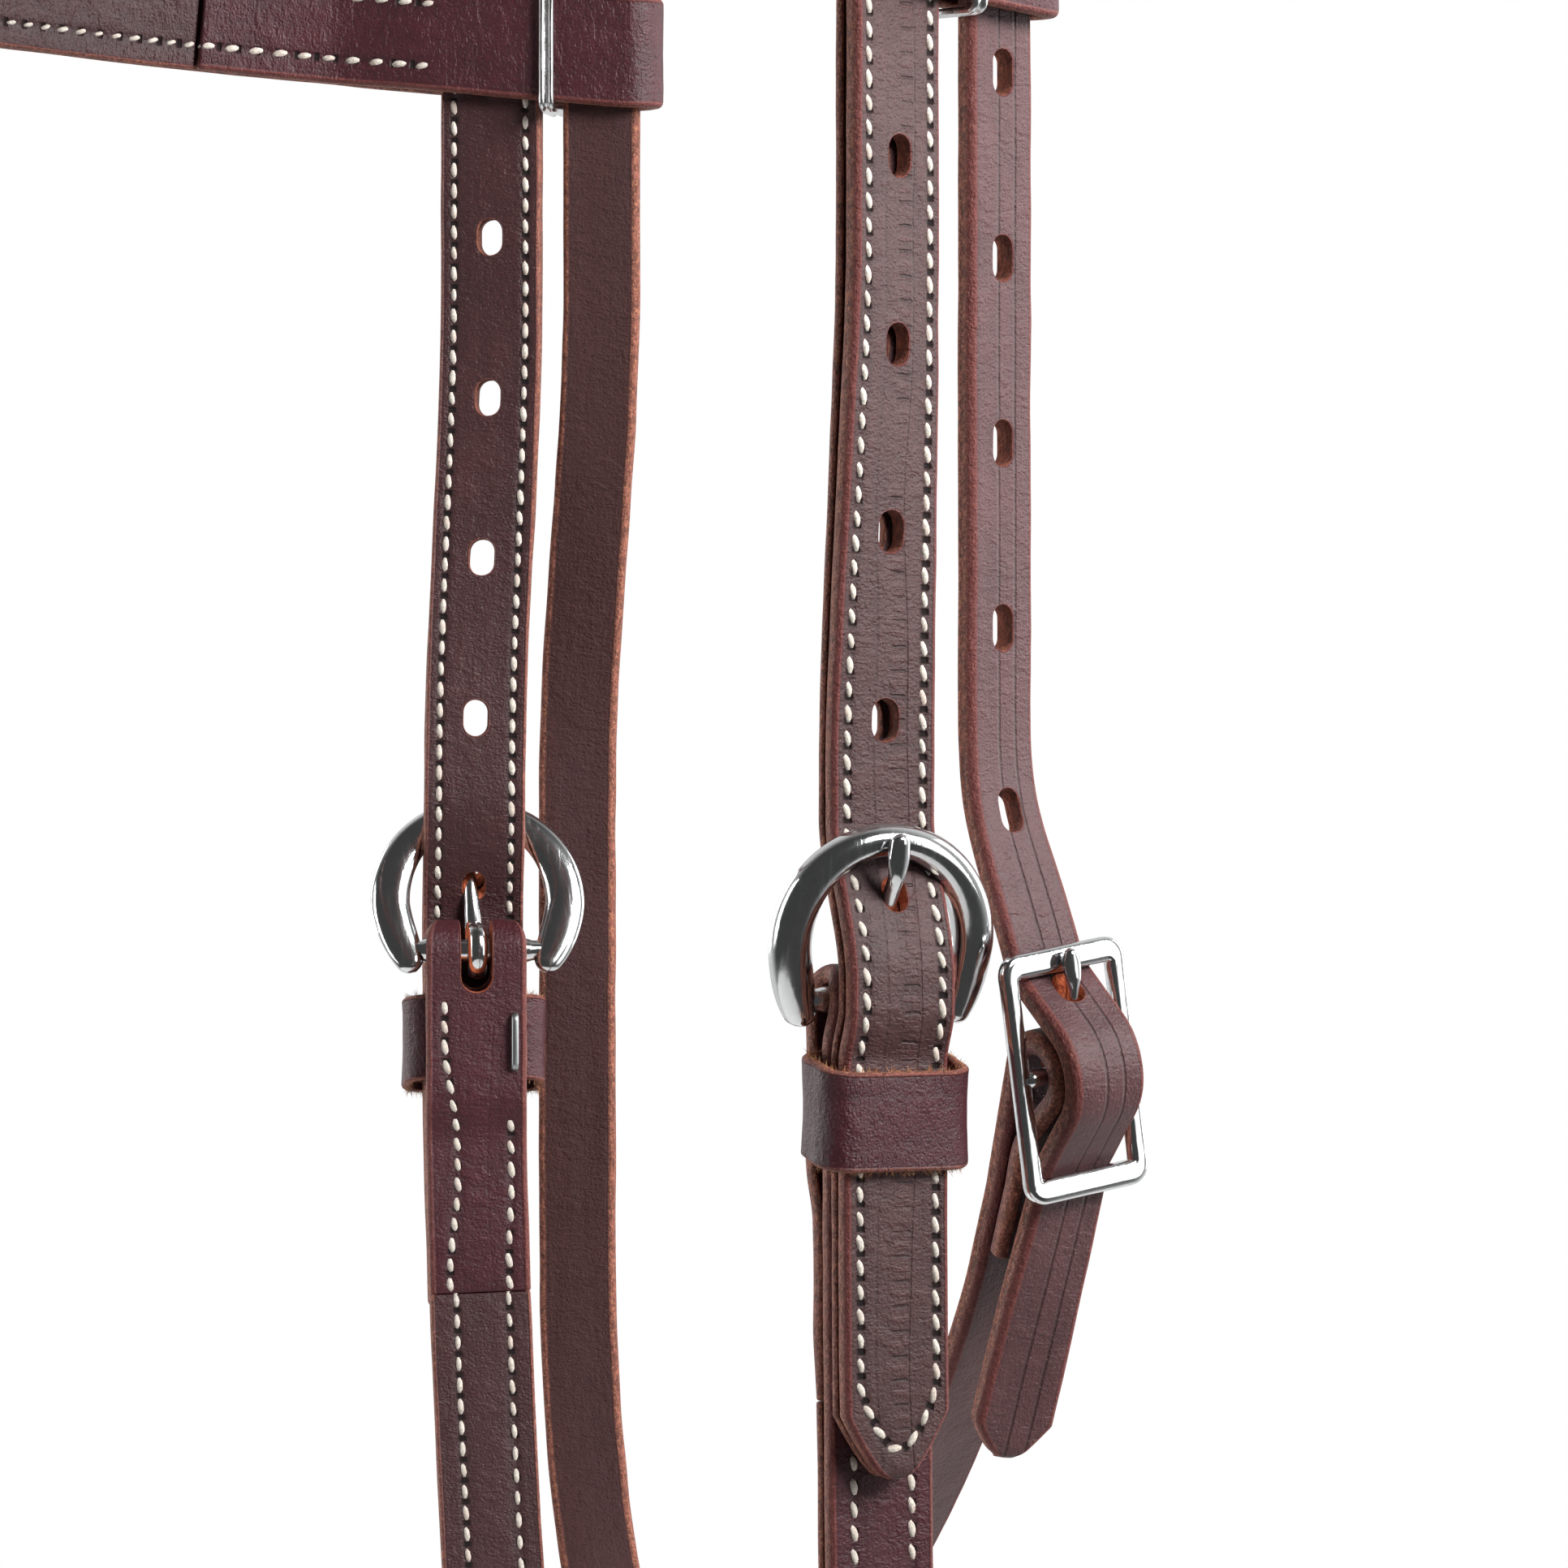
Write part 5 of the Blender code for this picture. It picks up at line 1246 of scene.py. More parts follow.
    if back is not None:
        nap = look.noise(flat, 1900, 3, 0.75)
        hair = look.noise(flat, 900, 3, 0.7, stretch=(1.0, 0.25, 1.0))
        band = look.noise(flat, 240, 2, 0.5, stretch=(1.0, 0.04, 1.0))
        rough_side = look.mix(nap.above(0.5, 0.2), shade(back, 0.75), shade(back, 1.25))
        rough_side = look.mix(band.above(0.5, 0.1) * 0.55, rough_side, (0.052, 0.017, 0.020))
        rough_side = look.mix(mottle.above(0.56, 0.12) * 0.3, rough_side, shade(back, 0.6))
        skin = look.mix(behind, skin, rough_side)
        height = height + behind * (nap * 0.00012 + hair * 0.00012)

    fibres = look.noise(flat, 1500, 3, 0.8, stretch=(1.0, 0.45, 1.0))
    specks = look.noise(spot, 2300, 2, 0.7)
    blotch = look.noise(spot, 700, 3, 0.7)
    cut = look.mix(fibres.above(0.5, 0.12), shade(colours.edge, 0.50), shade(colours.edge, 1.15))
    cut = look.mix(specks.above(0.57, 0.06) * 0.7, cut, colours.fibre)
    cut = look.mix(blotch.above(0.56, 0.06) * 0.55, cut, shade(colours.edge, 0.35))
    dyed = out.above(0.0006, 0.0004)
    band = look.mix(specks.above(0.6, 0.1) * 0.5, colours.dyed, shade(colours.dyed, 2.0))
    cut = look.mix(dyed * 0.85, cut, band)
    raw = look.mix(fibres.above(0.5, 0.2), (0.075, 0.020, 0.013), (0.26, 0.075, 0.040))
    bright = look.mix(fibres.above(0.5, 0.2), (0.30, 0.050, 0.020), (0.62, 0.16, 0.06))
    cut = look.mix(edge.above((RUBBED + RAW) / 2, 0.4), cut, raw)
    cut = look.mix(edge.above(RAW + 0.6, 0.3), cut, bright)
    skin = look.mix(edge.above(0.45, 0.30), skin, cut)
    height = height + edge.maths("MINIMUM", 1.0) * (fibres * 0.00030 + specks * 0.00012)

    look.feed("Base Color", skin)
    rough = sheen + edge * 0.15 + pores * 0.12 - mottle * 0.05
    look.feed("Roughness", rough + behind * (0.25 if back is not None else 0) + shaded_prick * 0.5)
    look.bump(height)
    return look.material


def thread_look():
    thread = settings().leather.thread
    look = Look("waxed thread", Roughness=0.62)
    spot = look.spot()
    ply = look.noise(spot, 2400, 2, 0.6)
    dust = look.noise(spot, 300, 3, 0.6)
    tint = look.mix(ply.above(0.5, 0.2), shade(thread, 0.66), thread)
    tint = look.mix(dust.above(0.58, 0.10) * 0.35, tint, (0.42, 0.27, 0.21))
    look.feed("Base Color", tint)
    look.bump(ply * 0.00012)
    return look.material


def fibre_look():
    look = Look("loose fibres", Roughness=0.7)
    kind = look.noise(look.spot(), 900, 1)
    look.feed("Base Color", look.mix(kind.above(0.5, 0.15), (0.24, 0.075, 0.03), (0.62, 0.30, 0.13)))
    return look.material


def metal_look(name, tint, polish, smudge=1.0):
    look = Look(name, Metallic=1.0)
    spot = look.spot()
    cloud = look.noise(spot, 140, 4, 0.6)
    fine = look.noise(spot, 900, 3, 0.7)
    scratch = look.noise(spot, 1500, 2, 0.6, stretch=(1.0, 0.12, 0.12))
    shine = look.mix(cloud.above(0.55, 0.2) * 0.5, shade(tint, 1.0), shade(tint, 0.80))
    shine = look.mix(fine.above(0.66, 0.08) * 0.35, shine, shade(tint, 0.50))
    look.feed("Base Color", shine)
    look.feed("Roughness", polish + cloud.above(0.5, 0.2) * 0.07 * smudge + scratch.above(0.6, 0.1) * 0.06)
    look.bump(cloud * 0.00003 + scratch.above(0.62, 0.1) * 0.000006)
    return look.material


LOOKS = {}


def look(name):
    """The finish of that name, made once."""
    if name in LOOKS:
        return LOOKS[name]
    colours = settings().leather
    metal = settings().metal
    makers = {
        "crown": lambda: leather_look("crown leather", colours.face, ladder=1.0, sheen=0.50),
        "cheek": lambda: leather_look("cheek leather", colours.keeper, ladder=0.3),
        "lining": lambda: leather_look("lining leather", colours.lining, worn=0.2),
        "keeper": lambda: leather_look("keeper leather", colours.keeper, worn=0.1, sheen=0.42, coarse=1.2),
        "browband": lambda: leather_look("browband leather", colours.keeper, worn=0.2, sheen=0.44),
        "throat": lambda: leather_look(
            "throat strap leather",
            colours.throat,
            back=colours.flesh,
            creases=THROAT_CREASES,
            worn=0.25,
            sheen=0.46,
            coarse=1.1,
        ),
        "thread": thread_look,
        "fibre": fibre_look,
        "nickel": lambda: metal_look("polished nickel", metal.nickel, metal.polish),
        "clip": lambda: metal_look("worn nickel", metal.nickel, 0.16, 2.0),
        "wire": lambda: metal_look("staple wire", metal.wire, 0.34),
    }
    LOOKS[name] = makers[name]()
    return LOOKS[name]


# Geometry Nodes for what repeats


class Repeater(Sheet):
    """A geometry tree with named inputs that ends in Realize Instances and Set Material."""

    def __init__(self, name, **inputs):
        super().__init__(bpy.data.node_groups.new(name, "GeometryNodeTree"))
        face = self.tree.interface
        face.new_socket("Geometry", in_out="INPUT", socket_type="NodeSocketGeometry")
        face.new_socket("Geometry", in_out="OUTPUT", socket_type="NodeSocketGeometry")
        self.sockets = {}
        for key, kind in inputs.items():
            self.sockets[key] = face.new_socket(key, in_out="INPUT", socket_type="NodeSocket" + kind)
        self.entry = self.tree.nodes.new("NodeGroupInput")

    def given(self, name):
        return Line(self, self.entry.outputs[name])

    def tube(self, curve, sides, radius):
        values = {"Resolution": sides, "Radius": 1.0}
        ring = self.node("GeometryNodeCurvePrimitiveCircle", {"mode": "RADIUS"}, values)
        values = {"Curve": curve, "Profile Curve": ring, "Scale": radius, "Fill Caps": True}
        return self.node("GeometryNodeCurveToMesh", {}, values)

    def spaced(self, spacing):
        """Points along the guide and the turn at each, with Z along 'out' and X along the guide."""
        curve = self.node("GeometryNodeMeshToCurve", {}, {"Mesh": self.given("Geometry")})
        values = {"Curve": curve, "Length": spacing}
        points = self.node("GeometryNodeResampleCurve", {"mode": "LENGTH"}, values)
        return points, self.turned(self.node("GeometryNodeInputTangent"))

    def turned(self, ahead):
        axes = {"primary_axis": "Z", "secondary_axis": "X"}
        return self.node("FunctionNodeAxesToRotation", axes, (self.named("out"), ahead))

    def named(self, name):
        kind = {"data_type": "FLOAT_VECTOR"}
        return self.node("GeometryNodeInputNamedAttribute", kind, {"Name": name})

    def leaned(self, turn, more):
        return self.node("FunctionNodeRotateRotation", {"rotation_space": "LOCAL"}, (turn, more))

    def wire(self, start, end, count):
        """A line of evenly spread points."""
        line = self.node("GeometryNodeCurvePrimitiveLine", {}, {"Start": start, "End": end})
        return self.node("GeometryNodeResampleCurve", {"mode": "COUNT"}, {"Curve": line, "Count": count})

    def moved(self, shape, place):
        return self.node("GeometryNodeSetPosition", {}, {"Geometry": shape, "Position": place})

    def raised(self, shape, height):
        values = {"Geometry": shape, "Translation": self.vector(0.0, 0.0, height)}
        return self.node("GeometryNodeTransform", {}, values)

    def scatter(self, points, shape, turn, **more):
        values = {"Points": points, "Instance": shape, "Rotation": turn, **more}
        return self.end(self.node("GeometryNodeInstanceOnPoints", {}, values))

    def random(self, low, high, seed):
        values = {2: low, 3: high, "Seed": seed}
        return self.node("FunctionNodeRandomValue", {"data_type": "FLOAT"}, values, 1)

    def end(self, geometry):
        real = self.node("GeometryNodeRealizeInstances", {}, {"Geometry": geometry})
        smooth = self.node("GeometryNodeSetShadeSmooth", {}, {"Geometry": real})
        values = {"Geometry": smooth, "Material": self.given("Material")}
        painted = self.node("GeometryNodeSetMaterial", {}, values)
        leave = self.tree.nodes.new("NodeGroupOutput")
        self.tree.links.new(painted.socket, leave.inputs[0])
        return self

    def make(self, name, guide, **values):
        """Runs the tree on a guide mesh and returns the result as a plain mesh object."""
        holder = bpy.data.objects.new(name + "_guide", guide)
        bpy.context.scene.collection.objects.link(holder)
        change = holder.modifiers.new(self.tree.name, "NODES")
        change.node_group = self.tree
        for key, value in values.items():
            change[self.sockets[key].identifier] = value
        graph = bpy.context.evaluated_depsgraph_get()
        mesh = bpy.data.meshes.new_from_object(holder.evaluated_get(graph))
        holder.modifiers.remove(change)
        bpy.data.objects.remove(holder)
        if not mesh.polygons:
            raise RuntimeError(f"{name}: the tree {self.tree.name} made no faces")
        mesh.name = name
        piece = bpy.data.objects.new(name, mesh)
        bpy.context.scene.collection.objects.link(piece)
        return piece


def stitch_tree():
    """Plump slanted stitches along a polyline that carries the leather's normal as 'out'."""
    sizes = dict.fromkeys(("Pitch", "Length", "Width", "Rise", "Slant"), "Float")
    tree = Repeater("stitches", **sizes, Seed="Int", Material="Material")
    points, turn = tree.spaced(tree.given("Pitch"))
    seed = tree.given("Seed")
    values = {"Axis": (0, 0, 1), "Angle": tree.random(-0.10, 0.10, seed)}
    turn = tree.leaned(turn, tree.node("FunctionNodeAxisAngleToRotation", {}, values))
    part = tree.node("GeometryNodeSplineParameter")
    arch = (part * math.pi).maths("SINE")
    width = tree.given("Width")
    place = tree.vector(
        (part - 0.5) * tree.given("Length"),
        (part - 0.5) * tree.given("Slant"),
        arch.maths("POWER", 0.7) * (tree.given("Rise") + STITCH_SINK) - width * 0.5 - STITCH_SINK,
    )
    thread = tree.moved(tree.wire((-0.5, 0, 0), (0.5, 0, 0), 7), place)
    solid = tree.tube(thread, 7, (arch.maths("POWER", 0.55) * 0.72 + 0.28) * width * 0.5)
    size = tree.random(0.90, 1.08, seed + 7)
    return tree.scatter(points, solid, turn, Scale=tree.vector(size, size, 1.0))


def fringe_tree():
    """Short loose fibres along a polyline that carries the direction in which they stand as 'out'."""
    sizes = dict.fromkeys(("Spacing", "Length", "Thickness"), "Float")
    tree = Repeater("fringe", **sizes, Seed="Int", Material="Material")
    points, turn = tree.spaced(tree.given("Spacing"))
    seed = tree.given("Seed")
    ranges = ((-0.9, 0.9, seed), (-1.1, 1.1, seed + 1), (-3.0, 3.0, seed + 2))
    wild = tree.vector(*(tree.random(*row) for row in ranges))
    turn = tree.leaned(turn, tree.node("FunctionNodeEulerToRotation", {}, (wild,)))
    part = tree.node("GeometryNodeSplineParameter")
    length_ = tree.given("Length")
    place = tree.vector(part * part * length_ * 0.6, 0.0, (part * 0.9 - 0.15) * length_)
    hair = tree.moved(tree.wire((0, 0, 0), (0, 0, 1), 5), place)
    solid = tree.tube(hair, 3, (1.02 - part) * tree.given("Thickness"))
    size = tree.random(0.15, 1.0, seed + 3)
    return tree.scatter(points, solid, turn, Scale=tree.vector(1.0, 1.0, size * size))


def screw_tree():
    """Strap screw heads, domed, with or without a slot, on points that carry 'out' and 'along'."""
    sizes = dict.fromkeys(("Radius", "Height", "Slot", "Shank", "Grip"), "Float")
    tree = Repeater("strap screws", **sizes, Material="Material")
    radius, height, grip = (tree.given(name) for name in ("Radius", "Height", "Grip"))
    ball = tree.node("GeometryNodeMeshUVSphere", {}, {"Segments": 40, "Rings": 24, "Radius": 1.0})
    x, y, z = tree.parts(tree.node("GeometryNodeInputPosition"))
    dome = z.maths("MAXIMUM", 0.0).maths("POWER", 0.62) * height
    head = tree.moved(ball, tree.vector(x * radius, y * radius, dome))
    size = tree.vector(tree.given("Slot"), radius * 3, height * 1.1)
    groove = tree.raised(tree.node("GeometryNodeMeshCube", {}, {"Size": size}), height)
    cut = {"operation": "DIFFERENCE", "solver": "EXACT"}
    head = tree.node("GeometryNodeMeshBoolean", cut, {"Mesh 1": head, "Mesh 2": groove})
    values = {"Vertices": 24, "Radius": tree.given("Shank"), "Depth": grip}
    post = tree.raised(tree.node("GeometryNodeMeshCylinder", {}, values), grip * -0.5)
    both = tree.tree.nodes.new("GeometryNodeJoinGeometry")
    for part in (head, post):
        tree.tree.links.new(part.socket, both.inputs[0])
    turn = tree.turned(tree.named("along"))
    return tree.scatter(tree.given("Geometry"), Line(tree, both.outputs[0]), turn)


TREES = {}


def repeater(maker):
    if maker not in TREES:
        TREES[maker] = maker()
    return TREES[maker]


def guide_mesh(name, runs, **fields):
    """A mesh of polylines, or of loose points where a run has one place. A run is (places, closed)."""
    points, edges = [], []
    for places, closed in runs:
        start = len(points)
        points += [tuple(place) for place in places]
        edges += [(start + i, start + i + 1) for i in range(len(places) - 1)]
        if closed:
            edges.append((len(points) - 1, start))
    mesh = bpy.data.meshes.new(name)
    mesh.from_pydata(points, edges, [])
    for key, values in fields.items():
        add_field(mesh, key, np.asarray(values, float))
    return mesh


def sew(name, blank, seams, body, seed, **changes):
    """Stitches on a blank's grain side. Seams of one blank make one piece."""
    sizes = settings().stitch
    lay = blank.lay
    height = blank.thickness / 2
    runs, outs = [], []
    for seam in seams:
        level = height - settings().strap.groove * 0.6 - blank.thinned(seam.flat[:, 1])
        flat = np.column_stack([seam.flat, level])
        if seam.closed:
            flat = flat[:-1]
        runs.append((lay.place(flat), seam.closed))
        outs.append(lay.frames(flat[:, 1])[3])
    guide = guide_mesh(name, runs, out=np.concatenate(outs))
    values = dict(
        Pitch=seams[0].pitch, Length=sizes.length, Width=sizes.width, Rise=sizes.rise, Slant=sizes.slant
    )
    values.update(changes)
    piece = repeater(stitch_tree).make(name, guide, Seed=seed, Material=look("thread"), **values)
    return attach(piece, body)


def strap(name, blank, finish, slot, body, *nodes):
    """Builds a blank, gives it its finish and lets it stand for its node."""
    piece = show(name, blank.build(), look(finish))
    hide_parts(*nodes)
    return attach(piece, body)


# Lofted hardware


def loft(name, rings, closed=False, caps=True):
    """A skin over rings of equal count."""
    rings = [np.asarray(ring, float) for ring in rings]
    count, around = len(rings), len(rings[0])
    ids = np.arange(count * around).reshape(count, around)
    k = np.arange(around)
    nxt = (k + 1) % around
    first = ids if closed else ids[:-1]
    second = np.roll(ids, -1, axis=0) if closed else ids[1:]
    quads = np.stack([first[:, k], first[:, nxt], second[:, nxt], second[:, k]], axis=2)
    quads = quads.reshape(-1, 4).tolist()
    if not closed and caps:
        quads += [ids[0, ::-1].tolist(), ids[-1].tolist()]
    mesh = bpy.data.meshes.new(name)
    mesh.from_pydata(np.concatenate(rings).tolist(), [], quads)
    outward(mesh)
    mesh.polygons.foreach_set("use_smooth", [True] * len(mesh.polygons))
    return mesh


def rod(name, points, wide, thick, side, around=20, closed=False, power=1.0):
    """An oval rod along points. wide and thick are half sizes, side is the direction of the width."""
    points = np.asarray(points, float)
    if closed:
        tangent = np.roll(points, -1, axis=0) - np.roll(points, 1, axis=0)
    else:
        tangent = np.gradient(points, axis=0)
    tangent = Lay.unit(tangent)
    side = np.broadcast_to(np.asarray(side, float), points.shape)
    side = Lay.unit(side - tangent * (side * tangent).sum(1)[:, None])
    up = np.cross(tangent, side)
    wide = np.broadcast_to(wide, len(points))
    thick = np.broadcast_to(thick, len(points))
    rings = []
    for i in range(len(points)):
        a = np.arange(around) * 2 * math.pi / around
        c, s = np.cos(a), np.sin(a)
        c = np.sign(c) * np.abs(c) ** power
        s = np.sign(s) * np.abs(s) ** power
        rings.append(points[i] + side[i] * (c * wide[i])[:, None] + up[i] * (s * thick[i])[:, None])
    return loft(name, rings, closed)


def rounded_ends(points, sizes, first=True, last=True):
    """Adds short rings that close a rod's ends with a dome."""
    points = [Vector(point) for point in points]
    sizes = list(sizes)
    for end in ([0] if first else []) + ([-1] if last else []):
        tip, inner, size = points[end], points[1 if end == 0 else -2], sizes[end]
        out = (tip - inner).normalized()
        extra = [(tip + out * size * math.sin(a), size * math.cos(a)) for a in (0.4, 0.8, 1.15, 1.42)]
        if end == 0:
            points = [place for place, _ in extra[::-1]] + points
            sizes = [small for _, small in extra[::-1]] + sizes
        else:
            points += [place for place, _ in extra]
            sizes += [small for _, small in extra]
    return points, sizes


def joined(name, meshes):
    """Several closed shells as one mesh."""
    shape = bmesh.new()
    for mesh in meshes:
        shape.from_mesh(mesh)
    made = bpy.data.meshes.new(name)
    shape.to_mesh(made)
    shape.free()
    made.polygons.foreach_set("use_smooth", [True] * len(made.polygons))
    return made


class Stand:
    """A local frame of three directions at a place."""

    def __init__(self, x, y, z, place):
        self.matrix = Matrix((x, y, z)).transposed()
        self.place = place

    def __call__(self, x, y, z):
        return self.place + self.matrix @ Vector((x, y, z))


def metal(name, mesh, body, *nodes, finish="nickel", slot="nickel"):
    piece = show(name, mesh, look(finish))
    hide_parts(*nodes)
    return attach(piece, body)


def cheek_buckle_stand(side):
    normal, rearward = side_frame(side, BUCKLE_YAW[side])
    right = rearward if side == NEAR else -rearward
    lean = UP * math.cos(RING_TILT) + normal * math.sin(RING_TILT)
    inward = UP * math.sin(RING_TILT) - normal * math.cos(RING_TILT)
    return Stand(right, -inward, lean, cheek_point(side, RING_SLIP, 0, 0))


def ring_line(side):
    """The horseshoe's middle line and band: (across, up, band). The near one hangs a little askew."""
    half = RING_HALF_WIDTH - RING_SIDE_BAND / 2
    rise = RING_HEIGHT - RING_TOP_BAND / 2 - RING_CENTRE_RISE
    fall = RING_CENTRE_RISE + RING_LEG_DROP
    leg = []
    for part in np.linspace(1, 0, 30, endpoint=False):
        band = RING_SIDE_BAND + (RING_END_BAND - RING_SIDE_BAND) * part**3.6
        leg.append((half - RING_INSET[side] * part**1.6, RING_CENTRE_RISE - fall * part, band))
    arch = []
    for a in np.linspace(0, math.pi, 90):
        band = RING_SIDE_BAND + (RING_TOP_BAND - RING_SIDE_BAND) * math.sin(a) ** 2
        arch.append((half * math.cos(a), RING_CENTRE_RISE + rise * math.sin(a), band))
    line = np.array(leg + arch + [(-x, z, band) for x, z, band in leg[::-1]])
    line[:, 0] -= RING_ASKEW[side] * (line[:, 1] - RING_PIVOT) + RING_SHIFT[side]
    return line


def ring_mesh(name, stand, side):
    """A polished half-round band with a shallower rounded underside and rounded leg ends."""
    line = ring_line(side)
    tangent = np.gradient(line[:, :2], axis=0)
    tangent /= np.linalg.norm(tangent, axis=1)[:, None]
    profile = []
    for s in np.linspace(-1, 1, 25):
        profile.append((s * 0.5, (1 - abs(s) ** 2.3) ** 0.52))
    profile += [(s * 0.5, -((1 - abs(s) ** 2.5) ** 0.6)) for s in np.linspace(0.96, -0.96, 15)]
    rings = []
    count = len(line)
    for i, (x, z, band) in enumerate(line):
        end = min(i, count - 1 - i) / 4
        dome = math.sqrt(1 - (1 - min(end, 1)) ** 2) if end < 1 else 1
        dome = max(dome, 0.12)
        tx, tz = tangent[i]
        ring = []
        for wide, high in profile:
            off = wide * band * dome
            out = (RING_BACK + RING_DOME if high > 0 else RING_UNDERSIDE) * high * dome - RING_BACK
            ring.append(stand(x + tz * off, out, z - tx * off))
        rings.append(ring)
    return loft(name, rings)


def tongue_mesh(name, stand, line, reach, radius, lean, width_shares, bow):
    """A tongue that wraps its bar, bows inward through the strap and ends in a broad tip on the frame."""
    points, steps = [], 22
    for index in range(steps):
        turn = WRAP_ANGLE * (1 - index / (steps - 1))
        points.append((line * math.cos(turn), -line * math.sin(turn)))
    for part in np.linspace(0.06, 1, 26):
        points.append((line, reach * part))
    points = np.array(points)
    up = np.maximum(points[:, 1], 0)
    part = np.clip(points[:, 1] / reach, 0, 1)
    wide = radius * np.interp(part, *np.array(width_shares).T)
    thick = radius * np.interp(part, (0, 0.6, 0.9, 1), (1.0, 0.95, 1.0, 0.9))
    taper = np.interp(np.arange(len(points)), (0, 5), (0.8, 1))
    bowed = bow * np.sin(math.pi * np.minimum(part / 0.80, 1) ** 1.15)
    centre = [stand(math.tan(lean) * u, out - b, z) for u, b, (out, z) in zip(up, bowed, points)]
    wide, thick = wide * taper, thick * taper
    along = (centre[-1] - centre[-2]).normalized()
    tip, w, t = centre[-1], wide[-1], thick[-1]
    for a in (0.35, 0.7, 1.0, 1.25, 1.45):
        centre.append(tip + along * w * 0.9 * math.sin(a))
        wide = np.append(wide, w * math.cos(a))
        thick = np.append(thick, t * math.cos(a) ** 0.8)
    side = stand.matrix @ Vector((1, 0, 0))
    return rod(name, centre, wide, thick, side, around=20)


def rounded_loop(width, depth, corner, steps=8):
    """A rectangle with round corners about the origin, starting at its lower right corner."""
    points = []
    for across, up, start in ((1, -1, -90), (1, 1, 0), (-1, 1, 90), (-1, -1, 180)):
        for turn in np.linspace(0, 90, steps):
            a = math.radians(start + turn)
            x = across * (width / 2 - corner) + corner * math.cos(a)
            points.append((x, up * (depth / 2 - corner) + corner * math.sin(a)))
    return points


def dense_run(run, step):
    """Adds places along the straight parts of a run, which keeps all but its last place."""
    made = []
    for (x0, y0), (x1, y1) in zip(run, run[1:]):
        count = max(int(math.hypot(x1 - x0, y1 - y0) / step), 1)
        made += [(x0 + (x1 - x0) * i / count, y0 + (y1 - y0) * i / count) for i in range(count)]
    return made


# Operators


class Dress:
    """What the operators share."""

    bl_options = {"REGISTER", "UNDO"}

    def execute(self, context):
        self.make()
        return {"FINISHED"}


class HEADSTALL_OT_crown(Dress, bpy.types.Operator):
    """Crown strap: punched billets with pointed tips, outer leather and lining, stitched together"""

    bl_idname = "headstall.crown"
    bl_label = "Crown strap"

    def holes(self, lay, lift):
        holes = []
        middle = lay.total / 2
        for side in (NEAR, FAR):
            low, high = (0, middle) if side == NEAR else (middle, lay.total)
            for index in range(SPARE_HOLES):
                height = BAR_HEIGHT[NEAR] + USED_HOLE_RISE + HOLE_PITCH * (index + 1)
                x = NEAR_LINING_HOLE_SET if side == NEAR and lift < 0 else 0
                holes.append(Hole(lay.at_height(height, low, high), HOLE_WIDTH, HOLE_HEIGHT, x=x))
            holes.append(self.used_hole(lay, side, low, high, lift))
        return holes

    def used_hole(self, lay, side, low, high, lift):
        """The hole that the tongue runs through, slanted from the back up to the grain side."""
        height = BAR_HEIGHT[side] + USED_HOLE_CENTRE + lift
        y = lay.at_height(height, low, high)
        return Hole(y, *USED_HOLE, shift=-side * math.copysign(USED_HOLE_SHIFT, lift), fresh=1)

    def make(self):
        route = crown_route()
        row = CROWN_WIDTH / 2 - settings().stitch.inset
        tips = (CROWN_TIP, CROWN_TIP)
        outer_lay = Lay(route, -1, (CROWN - OUTER) / 2)
        total = outer_lay.total
        loop = tip_curve(row, 0, 1) + tip_curve(row, total, -1)[::-1]
        seam = Seam(loop, True)
        holes = self.holes(outer_lay, USED_HOLE_SLANT)
        outer = Blank("crown_strap", outer_lay, CROWN_WIDTH, OUTER, holes, tips, [seam])
        strap("crown_strap", outer, "crown", "strap_leather", "headstall", "crown_outer")
        sew("crown_stitches", outer, [seam], "headstall", 3)
        inner_lay = Lay(route, 1, (CROWN - LINING) / 2)
        holes = self.holes(inner_lay, -USED_HOLE_SLANT)
        inner = Blank("crown_inner", inner_lay, CROWN_WIDTH, LINING, holes, tips, [seam])
        strap("crown_inner_leather", inner, "lining", "lining_leather", "headstall", "crown_lining")
        sew("crown_inner_stitches", inner, [seam], "headstall", 11, Slant=0.0003, Width=0.0011)


